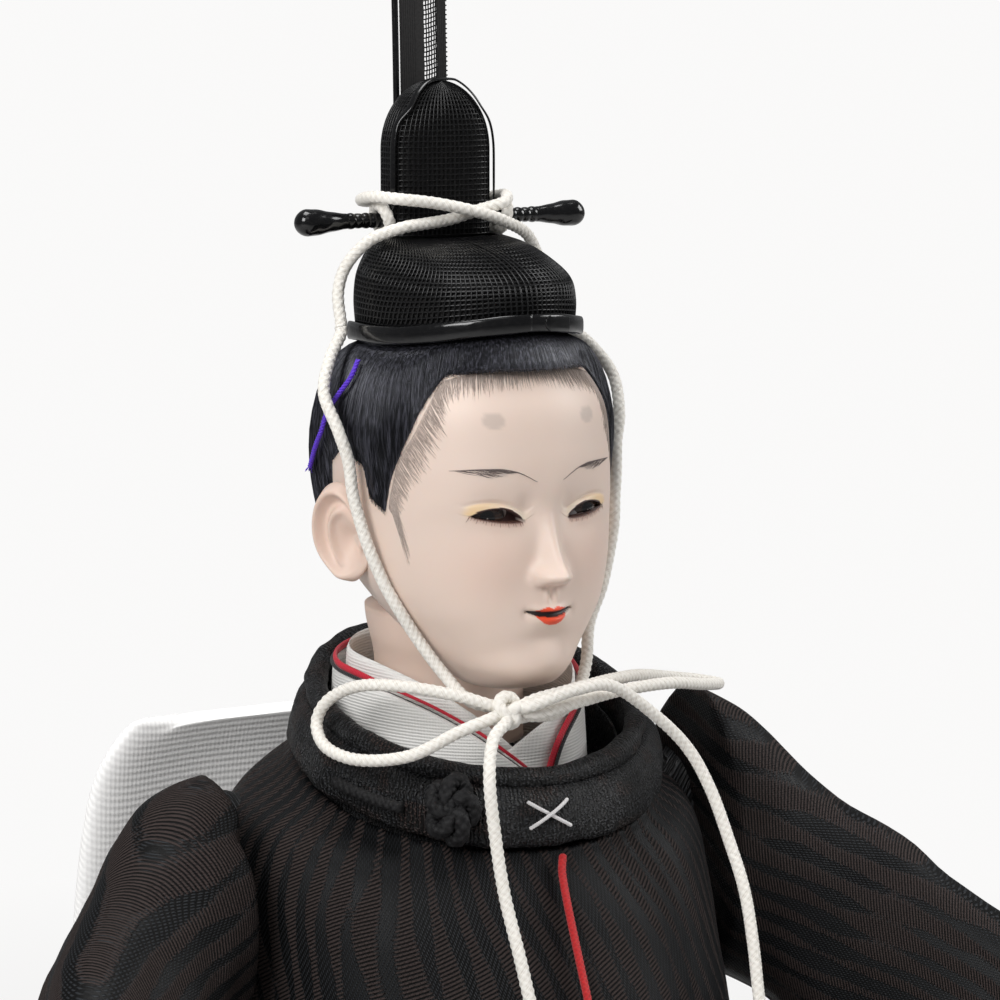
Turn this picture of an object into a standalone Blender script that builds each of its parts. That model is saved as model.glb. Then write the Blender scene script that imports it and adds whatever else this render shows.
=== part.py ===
"""Seated court doll with cap, chin cord, layered robe, baton and sword.

The doll faces -Y, so its right hand is at -X. The origin lies on the ground, on the neck's axis.
"""
import math

import bmesh
import bpy
from mathutils import Vector

MM = 0.001

# Clearances
GAP = 0.3 * MM
SLIDE_GAP = 0.35 * MM
OVERRUN = 4 * MM

# Head
NECK_FOOT = 137 * MM
NECK_RISE = 42 * MM
HEAD_FORWARD = 9 * MM
HEAD_HALF_WIDTH = 22.5 * MM
FACE_DEPTH = 26 * MM
SKULL_DEPTH = 32.5 * MM
CROWN_RISE = 37 * MM
CHIN_DROP = 29.3 * MM
NOSE_HEIGHT = 4.6 * MM
NOSE_TOP_RISE = 2 * MM
NOSE_TIP_DROP = 8 * MM
NOSE_FOOT_DROP = 11 * MM
NOSE_BRIDGE_HALF = 1.7 * MM
NOSE_WING_HALF = 3.1 * MM
MOUTH_DROP = 15.2 * MM
MOUTH_HALF = 3.7 * MM
LIP_HALF_HEIGHT = 2 * MM
LIP_HEIGHT = 0.9 * MM
SOCKET_DEPTH = 1.1 * MM
SOCKET_HALF_WIDTH = 4.8 * MM
SOCKET_HALF_HEIGHT = 3.4 * MM
EYE_SPACING = 8.25 * MM
EYE_SETBACK = 22.6 * MM
EYE_HALF_WIDTH = 3.8 * MM
EYE_HALF_DEPTH = 2.2 * MM
EYE_HALF_HEIGHT = 1.1 * MM
EYE_TURN = math.radians(18)
EYE_TILT = math.radians(6)
EAR_HALF_HEIGHT = 9 * MM
EAR_HALF_LENGTH = 5.6 * MM
EAR_HALF_THICKNESS = 1.7 * MM
EAR_SPREAD = 23.1 * MM
EAR_BACK = 1.4 * MM
EAR_DROP = 4.6 * MM
EAR_FLARE = math.radians(24)
EAR_LEAN = math.radians(9)
NECK_RADIUS = 12.7 * MM
NECK_TOP_DROP = 12 * MM

FACE_CROWDING = 0.55
HEAD_RINGS = 25
HAIR_GAP = 0.5 * MM

# Neck peg and straw core
PEG_RADIUS = 3.5 * MM
PEG_IN_NECK = 14 * MM
PEG_IN_CORE = 54 * MM
CORE_RADIUS = 34 * MM
BOARD_WIDTH = 76 * MM
BOARD_DEPTH = 56 * MM
BOARD_THICKNESS = 6 * MM
BOARD_SETBACK = 5 * MM
BOARD_BEVEL = 1 * MM

# Court cap
RIM_HALF_WIDTH = 18.2 * MM
RIM_FRONT = 29.3 * MM
RIM_BACK = 17.4 * MM
RIM_RISE = 28.2 * MM
RIM_FRONT_LIFT = 2.9 * MM
RIM_BACK_DROP = 2.6 * MM
RIM_HEIGHT = 3 * MM
RIM_THICKNESS = 1.3 * MM
RIM_CENTRE = 6 * MM
CAP_WALL = 0.8 * MM
CAP_TOP_RISE = 43 * MM
CREST_HALF_WIDTH = 9.2 * MM
CREST_DEPTH = 9.6 * MM
CREST_HEIGHT = 25.5 * MM
CREST_WALL = 1 * MM
ARCH_START_SHARE = 0.55
ARCH_THIN_SHARE = 0.45
CREST_TIP_SHARE = 0.055
CREST_SQUARENESS = 0.55
TRIM_WIDTH = 1.3 * MM
TRIM_THICKNESS = 0.4 * MM
PIN_RADIUS = 1.15 * MM
PIN_HALF_LENGTH = 24.9 * MM
PIN_SHIFT = 1.3 * MM
PIN_KNOB_RADIUS = 2.25 * MM
PIN_RIB = 0.16 * MM
PIN_RISE = 2.5 * MM
PIN_RINGS = 6
PLUME_WIDTH = 10 * MM
PLUME_HEIGHT = 84 * MM
PLUME_THICKNESS = 0.5 * MM
PLUME_SHIFT = 0.6 * MM
PLUME_ROD_RADIUS = 0.55 * MM
PLUME_BEND = 5 * MM
SOCKET_WALL = 0.7 * MM
SOCKET_HEIGHT = 9 * MM

# Cords
CHIN_CORD = 2 * MM
HAIR_CORD = 0.85 * MM
FRONT_CORD = 1.3 * MM
STITCH_THREAD = 0.7 * MM
KNOT_HALF_WIDTH = 3.5 * MM
KNOT_HALF_DEPTH = 2.4 * MM
KNOT_HALF_HEIGHT = 2.7 * MM

# Collars
COLLAR_SHIFT = 2 * MM
COLLAR_RING_CENTRE = 6 * MM
COLLAR_HALF_WIDTH = 29 * MM
COLLAR_FRONT = 34.6 * MM
COLLAR_BACK = 22.4 * MM
COLLAR_FRONT_DROP = 6.6 * MM
COLLAR_BACK_RISE = 9 * MM
BAND_HALF_HEIGHT = 4.9 * MM
BAND_HALF_THICKNESS = 2.4 * MM
BAND_LEAN = math.radians(18)
ROLL_RADIUS = 1.7 * MM
INNER_COLLAR_HALF_WIDTH = 17.6 * MM
INNER_COLLAR_FRONT = 23.5 * MM
INNER_COLLAR_BACK = 13.8 * MM
COLLAR_LAYER = 1.2 * MM
CLOTH_EASE = 0.3 * MM
COLLAR_FOOT_DROP = 8 * MM
COLLAR_RISE = 26 * MM
COLLAR_CLOTH = 0.7 * MM
COLLAR_SLOPE = 0.06
OUTER_COLLAR_DROP = 3 * MM
PIPING_RADIUS = 0.5 * MM
FROG_HALF_WIDTH = 5.2 * MM
FROG_HALF_HEIGHT = 6.4 * MM
FROG_HALF_DEPTH = 2.6 * MM
FROG_AZIMUTH = math.radians(-34)
FROG_CORD = 2 * MM
STITCH_HALF_WIDTH = 4 * MM
STITCH_HALF_RISE = 2.2 * MM
STITCH_AZIMUTH = math.radians(-5)

# Robe
ROBE_HALF_WIDTH = 74 * MM
ROBE_FRONT = 98 * MM
ROBE_RISE = 3 * MM
ROBE_CLOTH = 3 * MM
ROBE_FOLD = 1.1 * MM
FOLD_START_SHARE = 0.45
YOKE_SHARE = 0.2
BELT_SHARE = 4 / 7
BELT_HALF_HEIGHT = 3 * MM
BELT_THICKNESS = 1.2 * MM
BELT_EASE = 0.3 * MM
KNEE_SPREAD = 26 * MM
KNEE_FORWARD = 65 * MM
KNEE_HALF_WIDTH = 19 * MM
KNEE_HALF_DEPTH = 35 * MM
KNEE_HEIGHT = 29.9 * MM
KNEE_LIFT = 0.4 * MM
KNEE_CLOSE_SHARE = 0.943
KNEE_SQUARENESS = 0.6

# Sleeves and hands
SHOULDER_SPREAD = 45.4 * MM
ARM_SPREAD = 89 * MM
ARM_REACH = 80 * MM
SHOULDER_DROP = 1 * MM
LEFT_SHOULDER_LIFT = 7 * MM
LIFT_RUN_SHARE = 0.46
SLEEVE_HALF_WIDTH = 17 * MM
SLEEVE_FOLD = 0.9 * MM
LINING_THICKNESS = 2 * MM
LINING_SHARES = (0.93, 0.84)
RIDGE_NARROW_SHARE = 0.28
WIRE_RADIUS = 1.4 * MM
WIRE_BACK = 9 * MM
WIRE_DROP = 16 * MM
HAND_LENGTH = 16 * MM
WRIST_SHARE = 0.3
ELBOW_SHARES = (0.95, 0.52, 1.12)
WIRE_TURN_SHARES = (1.12, 0.3, 0.985)
WIRE_SIDE_SHARES = (0.7, 1.0, 1.0)
ARM_STEPS = 9
HAND_HALF_WIDTH = 4.6 * MM
HAND_HALF_HEIGHT = 5.6 * MM
HAND_HEIGHT = 82 * MM
GRIP_SHARE = 0.66
BATON_LENGTH = 58 * MM
BATON_WIDTH = 6.4 * MM
BATON_THICKNESS = 1.3 * MM
BATON_BELOW_HAND = 13 * MM

# Train panel
TRAIN_DROP = 2 * MM
TRAIN_BACK = 104 * MM
TRAIN_HALF_WIDTH = 60 * MM
TRAIN_THICKNESS = 4 * MM

# Sword
SWORD_SIDE = 53.75 * MM
SWORD_HEIGHT = 54 * MM
SWORD_RISE = math.radians(12)
SWORD_SPLAY = math.radians(-1.8)
SCABBARD_LENGTH = 88 * MM
SCABBARD_HALF_HEIGHT = 3.3 * MM
SCABBARD_HALF_WIDTH = 2.3 * MM
SCABBARD_TIP = 38 * MM
BLADE_LENGTH = 70 * MM
BLADE_HALF_HEIGHT = 1.9 * MM
BLADE_HALF_THICKNESS = 0.5 * MM
GUARD_HALF = 4.4 * MM
GUARD_THICKNESS = 1.6 * MM
GUARD_WIDTH_SHARE = 0.8
HILT_WAIST_SHARE = 0.86
TANG_SHARE = 0.8
TANG_HOLE_SHARE = 0.84
SCABBARD_END_SHARE = 0.5
BLADE_POINT_SHARE = 0.5
HILT_LENGTH = 29 * MM
HILT_HALF_HEIGHT = 2.7 * MM
HILT_HALF_WIDTH = 1.9 * MM
HANGER_WALL = 1 * MM
HANGER_LENGTH = 5 * MM
HANGER_PLACE = -8 * MM

# Each row of the straw core: radius and height.
CORE_SHARES = ((1.0, 0.0), (1.0, 0.25), (0.94, 0.55), (0.85, 0.75), (0.73, 0.86), (0.375, 0.93), (0.34, 1.0))
# Each row of a hand: place along it, width and height.
HAND_SHARES = (
    (0.0, 0.62, 0.62), (0.15, 0.68, 0.66), (0.35, 0.95, 0.92), (0.6, 1.0, 1.0), (0.85, 0.92, 0.92),
    (1.0, 0.6, 0.66),
)
# Each row of a form: front depth, front height, half width, side depth, side height, back depth,
# back height, as shares of the form's depths, heights and half width.
HEAD_SHARES = (
    (0.04, 0.99, 0.18, 0.12, 0.99, 0.22, 0.99),
    (0.31, 0.93, 0.39, 0.12, 0.92, 0.44, 0.88),
    (0.55, 0.80, 0.60, 0.12, 0.76, 0.65, 0.70),
    (0.745, 0.67, 0.83, 0.12, 0.62, 0.86, 0.54),
    (0.91, 0.50, 0.98, 0.12, 0.43, 0.985, 0.35),
    (0.975, 0.30, 1.00, 0.10, 0.22, 1.00, 0.13),
    (0.99, 0.13, 0.99, 0.06, 0.05, 0.97, -0.07),
    (0.97, 0.01, 0.97, 0.00, -0.10, 0.91, -0.27),
    (0.975, -0.15, 0.93, -0.08, -0.27, 0.815, -0.44),
    (0.995, -0.32, 0.86, -0.17, -0.43, 0.72, -0.55),
    (1.01, -0.48, 0.765, -0.26, -0.56, 0.57, -0.67),
    (1.00, -0.60, 0.66, -0.29, -0.68, 0.37, -0.75),
    (0.96, -0.71, 0.57, -0.31, -0.79, 0.15, -0.84),
    (0.94, -0.83, 0.46, -0.365, -0.89, -0.05, -0.905),
    (0.83, -0.94, 0.32, -0.46, -0.97, -0.22, -0.96),
    (0.67, -0.99, 0.09, -0.58, -1.00, -0.40, -0.99),
)
HAIR_SHARES = (
    (0.50, 0.92, 0.51, 0.12, 0.905, 0.585, 0.88),
    (0.64, 0.815, 0.66, 0.12, 0.745, 0.71, 0.675),
    (0.77, 0.765, 0.85, 0.12, 0.675, 0.86, 0.60),
    (0.855, 0.675, 0.985, 0.12, 0.55, 0.99, 0.46),
    (0.98, 0.485, 1.065, 0.12, 0.35, 1.07, 0.27),
    (1.05, 0.30, 1.08, 0.10, 0.16, 1.085, 0.08),
    (1.07, 0.135, 1.06, 0.06, 0.00, 1.045, -0.14),
    (1.055, 0.00, 1.02, 0.02, -0.17, 0.97, -0.34),
    (1.04, -0.20, 0.955, 0.00, -0.34, 0.87, -0.51),
)
HAIRLINE_SHARES = (
    (-1.60, 0.66), (-0.615, 0.66), (-0.54, 0.39), (-0.41, 0.16), (-0.365, 0.02), (-0.23, 0.075),
    (-0.17, 0.21), (0.12, 0.27), (0.31, 0.19), (0.38, -0.12), (0.34, -0.45), (0.50, -1.2), (-1.60, -1.2),
)
CAP_SHARES = (
    (1.00, 0.00, 1.00, 0.00, 0.00, 1.00, 0.00),
    (1.00, 0.28, 1.02, 0.00, 0.31, 1.03, 0.34),
    (0.955, 0.53, 0.985, -0.02, 0.58, 1.01, 0.64),
    (0.78, 0.74, 0.86, -0.09, 0.79, 0.96, 0.86),
    (0.48, 0.91, 0.75, -0.18, 0.93, 0.87, 0.96),
    (0.10, 1.00, 0.62, -0.26, 1.00, 0.72, 1.00),
)
ROBE_SHARES = (
    (0.36, 0.868, 0.42, -0.05, 0.895, 0.245, 0.965),
    (0.385, 0.855, 0.49, -0.04, 0.905, 0.285, 0.965),
    (0.42, 0.83, 0.555, -0.03, 0.905, 0.32, 0.943),
    (0.47, 0.757, 0.59, -0.03, 0.836, 0.34, 0.857),
    (0.526, 0.68, 0.595, -0.04, 0.743, 0.36, 0.743),
    (0.58, 0.60, 0.60, -0.06, 0.643, 0.38, 0.63),
    (0.66, 0.53, 0.625, -0.09, 0.53, 0.405, 0.515),
    (0.775, 0.457, 0.67, -0.14, 0.40, 0.44, 0.37),
    (0.90, 0.386, 0.735, -0.20, 0.27, 0.48, 0.243),
    (0.97, 0.314, 0.82, -0.245, 0.157, 0.515, 0.129),
    (1.00, 0.257, 0.90, -0.265, 0.05, 0.55, 0.03),
)
# Places of the front cord down the robe.
FRONT_CORD_SHARES = (0.03, 0.10, 0.18, 0.26, 0.34, 0.41)
# Each row of the sleeve: spread, reach, ridge height, foot height, half width.
SLEEVE_SHARES = (
    (0.00, 0.06, 1.00, 0.68, 1.00),
    (0.20, 0.10, 0.985, 0.64, 1.00),
    (0.38, 0.18, 0.93, 0.59, 0.88),
    (0.66, 0.33, 0.85, 0.45, 0.85),
    (0.89, 0.55, 0.77, 0.20, 0.85),
    (1.00, 0.78, 0.72, 0.07, 0.82),
    (1.00, 1.00, 0.70, 0.03, 0.82),
)
# Levels of the crest and of its edge strip, foot to top.
TRIM_SPAN_SHARES = (0.14, 0.44, 0.74, 0.92, 0.985)
CREST_LEVEL_SHARES = (0, 0.3, 0.55, 0.66, 0.76, 0.85, 0.92, 0.965, 0.99, 1.0)
# Each row of the train: depth, height and half width.
TRAIN_SHARES = (
    (0.325, 1.00, 0.74), (0.355, 0.93, 0.84), (0.375, 0.80, 0.88), (0.397, 0.65, 0.90),
    (0.44, 0.48, 0.93), (0.52, 0.30, 0.96), (0.64, 0.14, 1.00), (0.80, 0.045, 1.00), (1.00, 0.02, 1.00),
)
# Each row of a collar side: azimuth in degrees from the front, spread share and height share.
COLLAR_RIGHT_SHARES = (
    (178, 1.00, 0.98), (140, 1.00, 0.97), (100, 1.00, 0.93), (70, 1.00, 0.89), (45, 1.02, 0.80),
    (25, 1.05, 0.66), (10, 1.07, 0.50), (-2, 1.08, 0.36),
)
COLLAR_LEFT_SHARES = (
    (178, 1.00, 0.98), (140, 1.00, 0.97), (100, 1.00, 0.93), (70, 1.01, 0.86), (45, 1.05, 0.78),
    (28, 1.09, 0.68), (18, 1.11, 0.56), (12, 1.11, 0.36),
)

# How the inner collars go on past the middle, where the left one lies over the right one.
CROSSING_RIGHT_SHARES = ((-16, 1.08, 0.24),)
CROSSING_LEFT_SHARES = ((4.5, 1.11, 0.30),)

# Routes of the cords, in millimetres, with heights over the neck's foot
CAP_WRAP_ROUTE = (
    (-20.3, -1.0, 71.8), (-19.9, 0.8, 76.5), (-18.0, 1.4, 80.9), (-14.6, -0.6, 85.0),
    (-10.3, -3.4, 87.0), (-6.1, -3.2, 87.5), (-0.8, -2.2, 88.0), (4.5, -2.4, 89.4),
    (9.6, -1.8, 90.5), (12.2, 2.6, 91.4), (11.6, 9.0, 90.6), (7.4, 15.0, 90.0), (0.4, 17.0, 89.8),
    (-7.4, 15.0, 90.2), (-11.6, 9.0, 91.0), (-12.2, 3.2, 91.8), (-9.6, -1.9, 91.6),
    (-3.6, -3.6, 90.8), (3.4, -4.9, 89.2), (9.0, -3.6, 87.4), (14.6, -0.6, 85.0),
    (18.0, 1.4, 80.9), (19.9, 0.8, 76.5), (20.3, -1.0, 71.8),
)
CHEEK_ROUTE = (
    (-20.8, -2.0, 69.8), (-24.4, -5.4, 66.2), (-27.0, -8.6, 61.2), (-26.2, -12.2, 55.4),
    (-25.0, -13.4, 50.5), (-24.6, -14.0, 45.6), (-23.9, -14.8, 41.6), (-22.9, -16.2, 36.8),
    (-21.0, -17.6, 31.2), (-19.0, -19.0, 26.8), (-15.9, -20.4, 21.3), (-13.3, -23.8, 16.4),
    (-11.6, -29.6, 12.8),
)
CHEEK_LEFT_END = ((13.4, -23.8, 15.4), (8.5, -29.2, 11.4), (3.0, -32.8, 9.8), (-2.2, -33.6, 10.0))
BOW_LOOP_RIGHT_ROUTE = (
    (-10.9, -32.6, 12.9), (-14.6, -30.6, 14.1), (-21.4, -25.0, 15.2), (-25.8, -18.0, 14.3),
    (-28.6, -12.6, 11.2), (-30.2, -11.6, 7.3), (-30.8, -16.6, 4.4), (-28.4, -24.0, 3.6),
    (-22.9, -31.2, 5.2), (-16.2, -34.6, 8.9), (-11.6, -35.2, 10.4),
)
BOW_LOOP_LEFT_ROUTE = (
    (-1.9, -34.6, 13.2), (3.6, -33.6, 14.2), (9.0, -30.8, 14.6), (15.4, -27.6, 14.2),
    (24.4, -22.0, 12.4),
    (34.5, -15.4, 9.4), (42.0, -12.4, 7.6), (44.6, -15.2, 7.2), (38.0, -21.0, 8.8),
    (27.6, -27.0, 11.2), (15.4, -31.6, 12.0), (6.0, -35.0, 11.8), (-1.9, -36.0, 10.9),
)
TAIL_LEFT_ROUTE = (
    (-3.4, -37.4, 12.8), (3.6, -38.0, 14.6), (11.4, -36.0, 14.0), (20.1, -34.4, 8.2),
    (26.7, -34.4, 1.8), (29.9, -36.6, -5.1), (31.5, -40.0, -13.2), (32.1, -44.0, -20.8),
    (31.8, -47.4, -29.0), (31.0, -51.0, -38.4), (30.4, -55.6, -49.0), (29.9, -60.8, -59.4),
    (29.6, -66.6, -67.6),
)
TAIL_RIGHT_ROUTE = (
    (-8.3, -36.2, 10.0), (-11.8, -38.4, 7.9), (-14.2, -41.8, 2.4), (-14.2, -43.8, -6.5),
    (-13.9, -46.4, -15.4), (-13.3, -50.6, -25.0), (-12.7, -54.6, -35.0), (-12.3, -59.0, -45.4),
    (-12.1, -64.6, -56.4), (-12.0, -72.6, -66.6),
)
KNOT_PLACE = (-6.3, -33.8, 11.3)
HAIR_CORD_ROUTE = (
    (-21.4, -9.8, 66.4), (-22.9, -10.2, 63.8), (-24.4, -8.2, 60.6), (-24.9, -5.4, 57.8),
    (-25.2, -3.6, 54.4), (-24.9, -0.6, 51.4), (-24.0, 3.6, 47.4),
)


def remove_everything():
    """Empty the scene before the doll is built."""
    for item in list(bpy.data.objects):
        bpy.data.objects.remove(item, do_unlink=True)


def make_material(name, colour, roughness, metallic=0.0):
    """One plain surface: base colour, roughness and metallic value."""
    material = bpy.data.materials.new(name)
    material.use_nodes = True
    shader = material.node_tree.nodes["Principled BSDF"]
    shader.inputs["Base Color"].default_value = (*colour, 1.0)
    shader.inputs["Roughness"].default_value = roughness
    shader.inputs["Metallic"].default_value = metallic
    return material


def link_mesh(name, bm, material, smooth_angle=40):
    """Turn a bmesh into a linked, shaded object with its faces pointing out."""
    bmesh.ops.recalc_face_normals(bm, faces=bm.faces)
    mesh = bpy.data.meshes.new(name)
    bm.to_mesh(mesh)
    bm.free()
    mesh.materials.append(material)
    mesh.shade_smooth()
    mesh.set_sharp_from_angle(angle=math.radians(smooth_angle))
    item = bpy.data.objects.new(name, mesh)
    bpy.context.scene.collection.objects.link(item)
    return item


def add_rings(bm, rings):
    """Add the vertices of each ring."""
    return [[bm.verts.new(point) for point in ring] for ring in rings]


def bridge(bm, first, second):
    """Join two rings of equal count with quads."""
    count = len(first)
    for i in range(count):
        j = (i + 1) % count
        bm.faces.new((first[i], first[j], second[j], second[i]))


def solid(name, rings, material, smooth_angle=40):
    """Closed solid through the rings, flat at both ends."""
    bm = bmesh.new()
    loops = add_rings(bm, rings)
    for first, second in zip(loops, loops[1:]):
        bridge(bm, first, second)
    bm.faces.new(loops[0])
    bm.faces.new(loops[-1])
    return link_mesh(name, bm, material, smooth_angle)


def hoop(name, rings, material, smooth_angle=40):
    """Closed ring solid: the last ring joins the first."""
    bm = bmesh.new()
    loops = add_rings(bm, rings)
    for first, second in zip(loops, loops[1:] + loops[:1]):
        bridge(bm, first, second)
    return link_mesh(name, bm, material, smooth_angle)


def cup(name, outer, inner, material, smooth_angle=40):
    """Shell that is open at its first rings and closed at its last ones."""
    bm = bmesh.new()
    outside = add_rings(bm, outer)
    inside = add_rings(bm, inner)
    for loops in (outside, inside):
        for first, second in zip(loops, loops[1:]):
            bridge(bm, first, second)
        bm.faces.new(loops[-1])
    bridge(bm, outside[0], inside[0])
    return link_mesh(name, bm, material, smooth_angle)


def smooth_rows(rows, count):
    """Rows read from a Catmull-Rom curve through the given rows."""
    last = len(rows) - 1
    result = []
    for i in range(count):
        place = i * last / (count - 1)
        k = min(int(place), last - 1)
        t = place - k
        p0, p1, p2, p3 = (rows[max(0, min(last, k + step))] for step in (-1, 0, 1, 2))
        result.append(tuple(
            0.5 * (2 * b + (c - a) * t + (2 * a - 5 * b + 4 * c - d) * t ** 2
                   + (3 * b - a - 3 * c + d) * t ** 3)
            for a, b, c, d in zip(p0, p1, p2, p3)))
    return result


def even_points(route, step):
    """Points at equal steps along a smooth curve through the route."""
    fine = [Vector(point) for point in smooth_rows(route, 24 * len(route))]
    reach = [0.0]
    for first, second in zip(fine, fine[1:]):
        reach.append(reach[-1] + (second - first).length)
    count = max(3, round(reach[-1] / step)) + 1
    points = []
    k = 0
    for i in range(count):
        target = reach[-1] * i / (count - 1)
        while k < len(fine) - 2 and reach[k + 1] < target:
            k += 1
        t = (target - reach[k]) / (reach[k + 1] - reach[k])
        points.append(fine[k].lerp(fine[k + 1], t))
    return points


def tube(name, points, diameter, material, resolution=2):
    """Round cord along the points, with filled ends."""
    curve = bpy.data.curves.new(name, "CURVE")
    curve.dimensions = "3D"
    curve.bevel_depth = diameter / 2
    curve.bevel_resolution = resolution
    curve.use_fill_caps = True
    spline = curve.splines.new("POLY")
    spline.points.add(len(points) - 1)
    for knot, point in zip(spline.points, points):
        knot.co = (*point, 1.0)
    curve.materials.append(material)
    item = bpy.data.objects.new(name, curve)
    bpy.context.scene.collection.objects.link(item)
    return item


def channel_cutter(name, points, diameter, material):
    """Round bore along points that never run straight up."""
    rings = []
    for i, point in enumerate(points):
        along = points[min(i + 1, len(points) - 1)] - points[max(i - 1, 0)]
        aside = along.cross(Vector((0, 0, 1))).normalized()
        above = aside.cross(along).normalized()
        rings.append([point + (aside * a + above * b) * (diameter / 2) for a, b in round_section(8)])
    return solid(name, rings, material)


def routed(route):
    """A cord's route in metres over the ground."""
    return [Vector(point) * MM + Vector((0, 0, NECK_FOOT)) for point in route]


def mirrored(points):
    """The same points on the doll's other side."""
    return [Vector((-point[0], point[1], point[2])) for point in points]


def as_cutter(item):
    """A shape that only cuts or joins another one."""
    item.hide_render = True
    item.display_type = "WIRE"
    return item


def combine(item, other, operation="DIFFERENCE"):
    """Cut the other shape from the item, or join it on."""
    modifier = item.modifiers.new(other.name, "BOOLEAN")
    modifier.operation = operation
    modifier.solver = "EXACT"
    modifier.object = as_cutter(other)
    return item


def form_rows(shares, half_width, front, back, up, down):
    """A form's rows in metres from its table of shares."""
    def height(share):
        return share * (up if share >= 0 else down)

    return [(a * front, height(b), c * half_width, d * front, height(e), f * back, height(g))
            for a, b, c, d, e, f, g in shares]


def form_point(row, azimuth, centre):
    """Point of one row: azimuth 0 is the front, and a positive one turns to the doll's left."""
    front_depth, front_height, half_width, side_depth, side_height, back_depth, back_height = row
    ahead = math.cos(azimuth)
    x = half_width * math.sin(azimuth)
    if ahead >= 0:
        y = side_depth - (front_depth + side_depth) * ahead
        z = side_height + (front_height - side_height) * ahead ** 2
    else:
        y = side_depth - (back_depth - side_depth) * ahead
        z = side_height + (back_height - side_height) * ahead ** 2
    return centre + Vector((x, y, z))


def azimuths(count, crowding=0.0):
    """Angles round a form, closer together in front where crowding is above zero."""
    steps = (2 * math.pi * i / count for i in range(count))
    return [angle - crowding * math.sin(angle) for angle in steps]


def form_rings(rows, count, centre, angles):
    """Rings of points of a whole form."""
    return [[form_point(row, angle, centre) for angle in angles] for row in smooth_rows(rows, count)]


def offset_rings(rings, distance):
    """The same rings moved along their surface's outward normal."""
    moved = []
    last = len(rings) - 1
    for i, ring in enumerate(rings):
        middle = sum(ring, Vector()) / len(ring)
        row = []
        for j, point in enumerate(ring):
            along = ring[(j + 1) % len(ring)] - ring[j - 1]
            down = rings[min(last, i + 1)][j] - rings[max(0, i - 1)][j]
            normal = along.cross(down).normalized()
            if normal.dot(point - middle) < 0:
                normal.negate()
            row.append(point + normal * distance)
        moved.append(row)
    return moved


def ellipsoid_rings(half, count, segments):
    """Rings of an ellipsoid about the origin, along Z, with small flats at the poles."""
    rings = []
    for i in range(count):
        polar = math.pi * (i + 0.5) / count
        rings.append([Vector((half[0] * math.sin(polar) * math.cos(2 * math.pi * j / segments),
                              half[1] * math.sin(polar) * math.sin(2 * math.pi * j / segments),
                              half[2] * math.cos(polar))) for j in range(segments)])
    return rings


def turned(name, profile, material, segments=24, smooth_angle=40):
    """Solid of revolution about Z through (radius, height) pairs."""
    rings = [[Vector((radius * math.cos(2 * math.pi * j / segments),
                      radius * math.sin(2 * math.pi * j / segments), height))
              for j in range(segments)] for radius, height in profile]
    return solid(name, rings, material, smooth_angle)


def swept(centres, wides, thicks, section):
    """Rings of a section carried along a path by its wide and thick vectors."""
    return [[centre + wide * a + thick * b for a, b in section]
            for centre, wide, thick in zip(centres, wides, thicks)]


def round_section(count, power=1.0):
    """Unit section, an ellipse at power 1 and squarer below it."""
    def eased(value):
        return math.copysign(abs(value) ** power, value)

    return [(eased(math.cos(2 * math.pi * i / count)), eased(math.sin(2 * math.pi * i / count)))
            for i in range(count)]


FLAT_SECTION = ((1, 1), (-1, 1), (-1, -1), (1, -1))

EYE_HEIGHT = NECK_FOOT + NECK_RISE
HEAD_CENTRE = Vector((0, -HEAD_FORWARD, EYE_HEIGHT))
CORE_TOP = NECK_FOOT - GAP
COLLAR_FOOT = NECK_FOOT - COLLAR_FOOT_DROP
ROBE_HEIGHT = NECK_FOOT + ROBE_RISE
BELT_HEIGHT = ROBE_HEIGHT * BELT_SHARE
SHOULDER_HEIGHT = NECK_FOOT - SHOULDER_DROP
WIRE_HEIGHT = NECK_FOOT - WIRE_DROP
TRAIN_TOP = NECK_FOOT - TRAIN_DROP


def nose_height(x, z):
    """How far the nose stands off the face at x and z from the head's centre."""
    fall = (NOSE_TOP_RISE - z) / (NOSE_TOP_RISE + NOSE_TIP_DROP)
    if fall <= 0:
        return 0.0
    if fall <= 1:
        height = NOSE_HEIGHT * fall ** 1.5
    else:
        below = (-NOSE_TIP_DROP - z) / (NOSE_FOOT_DROP - NOSE_TIP_DROP)
        height = NOSE_HEIGHT * max(0.0, 1 - below ** 2)
    half = NOSE_BRIDGE_HALF + (NOSE_WING_HALF - NOSE_BRIDGE_HALF) * min(1.0, fall)
    return height * math.exp(-(x / half) ** 2)


def face_relief(x, z):
    """Forward push of the face: nose and lips out, eye sockets in."""
    lips = LIP_HEIGHT * math.exp(-((z + MOUTH_DROP) / LIP_HALF_HEIGHT) ** 2 - (x / MOUTH_HALF) ** 2)
    side = (abs(x) - EYE_SPACING) / SOCKET_HALF_WIDTH
    socket = SOCKET_DEPTH * math.exp(-side ** 2 - (z / SOCKET_HALF_HEIGHT) ** 2)
    return nose_height(x, z) + lips - socket


def head_rings(count, angles, relief=True):
    """Rings of the bare head, with the features in front."""
    rows = form_rows(HEAD_SHARES, HEAD_HALF_WIDTH, FACE_DEPTH, SKULL_DEPTH, CROWN_RISE, CHIN_DROP)
    rings = form_rings(rows, count, HEAD_CENTRE, angles)
    if relief:
        for ring in rings:
            for point, angle in zip(ring, angles):
                if math.cos(angle) > 0:
                    place = point - HEAD_CENTRE
                    point.y -= face_relief(place.x, place.z) * math.cos(angle)
    return rings


def head_angles():
    """Angles round the head, closer together over the face."""
    return azimuths(28, FACE_CROWDING)


def place_ellipsoid(name, half, centre, turn, material, count=6, segments=12):
    """Ellipsoid turned about Z, then tilted about its own depth axis."""
    item = solid(name, ellipsoid_rings(half, count, segments), material, 80)
    item.rotation_euler = (0, turn[1], turn[0])
    item.location = centre
    return item


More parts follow.
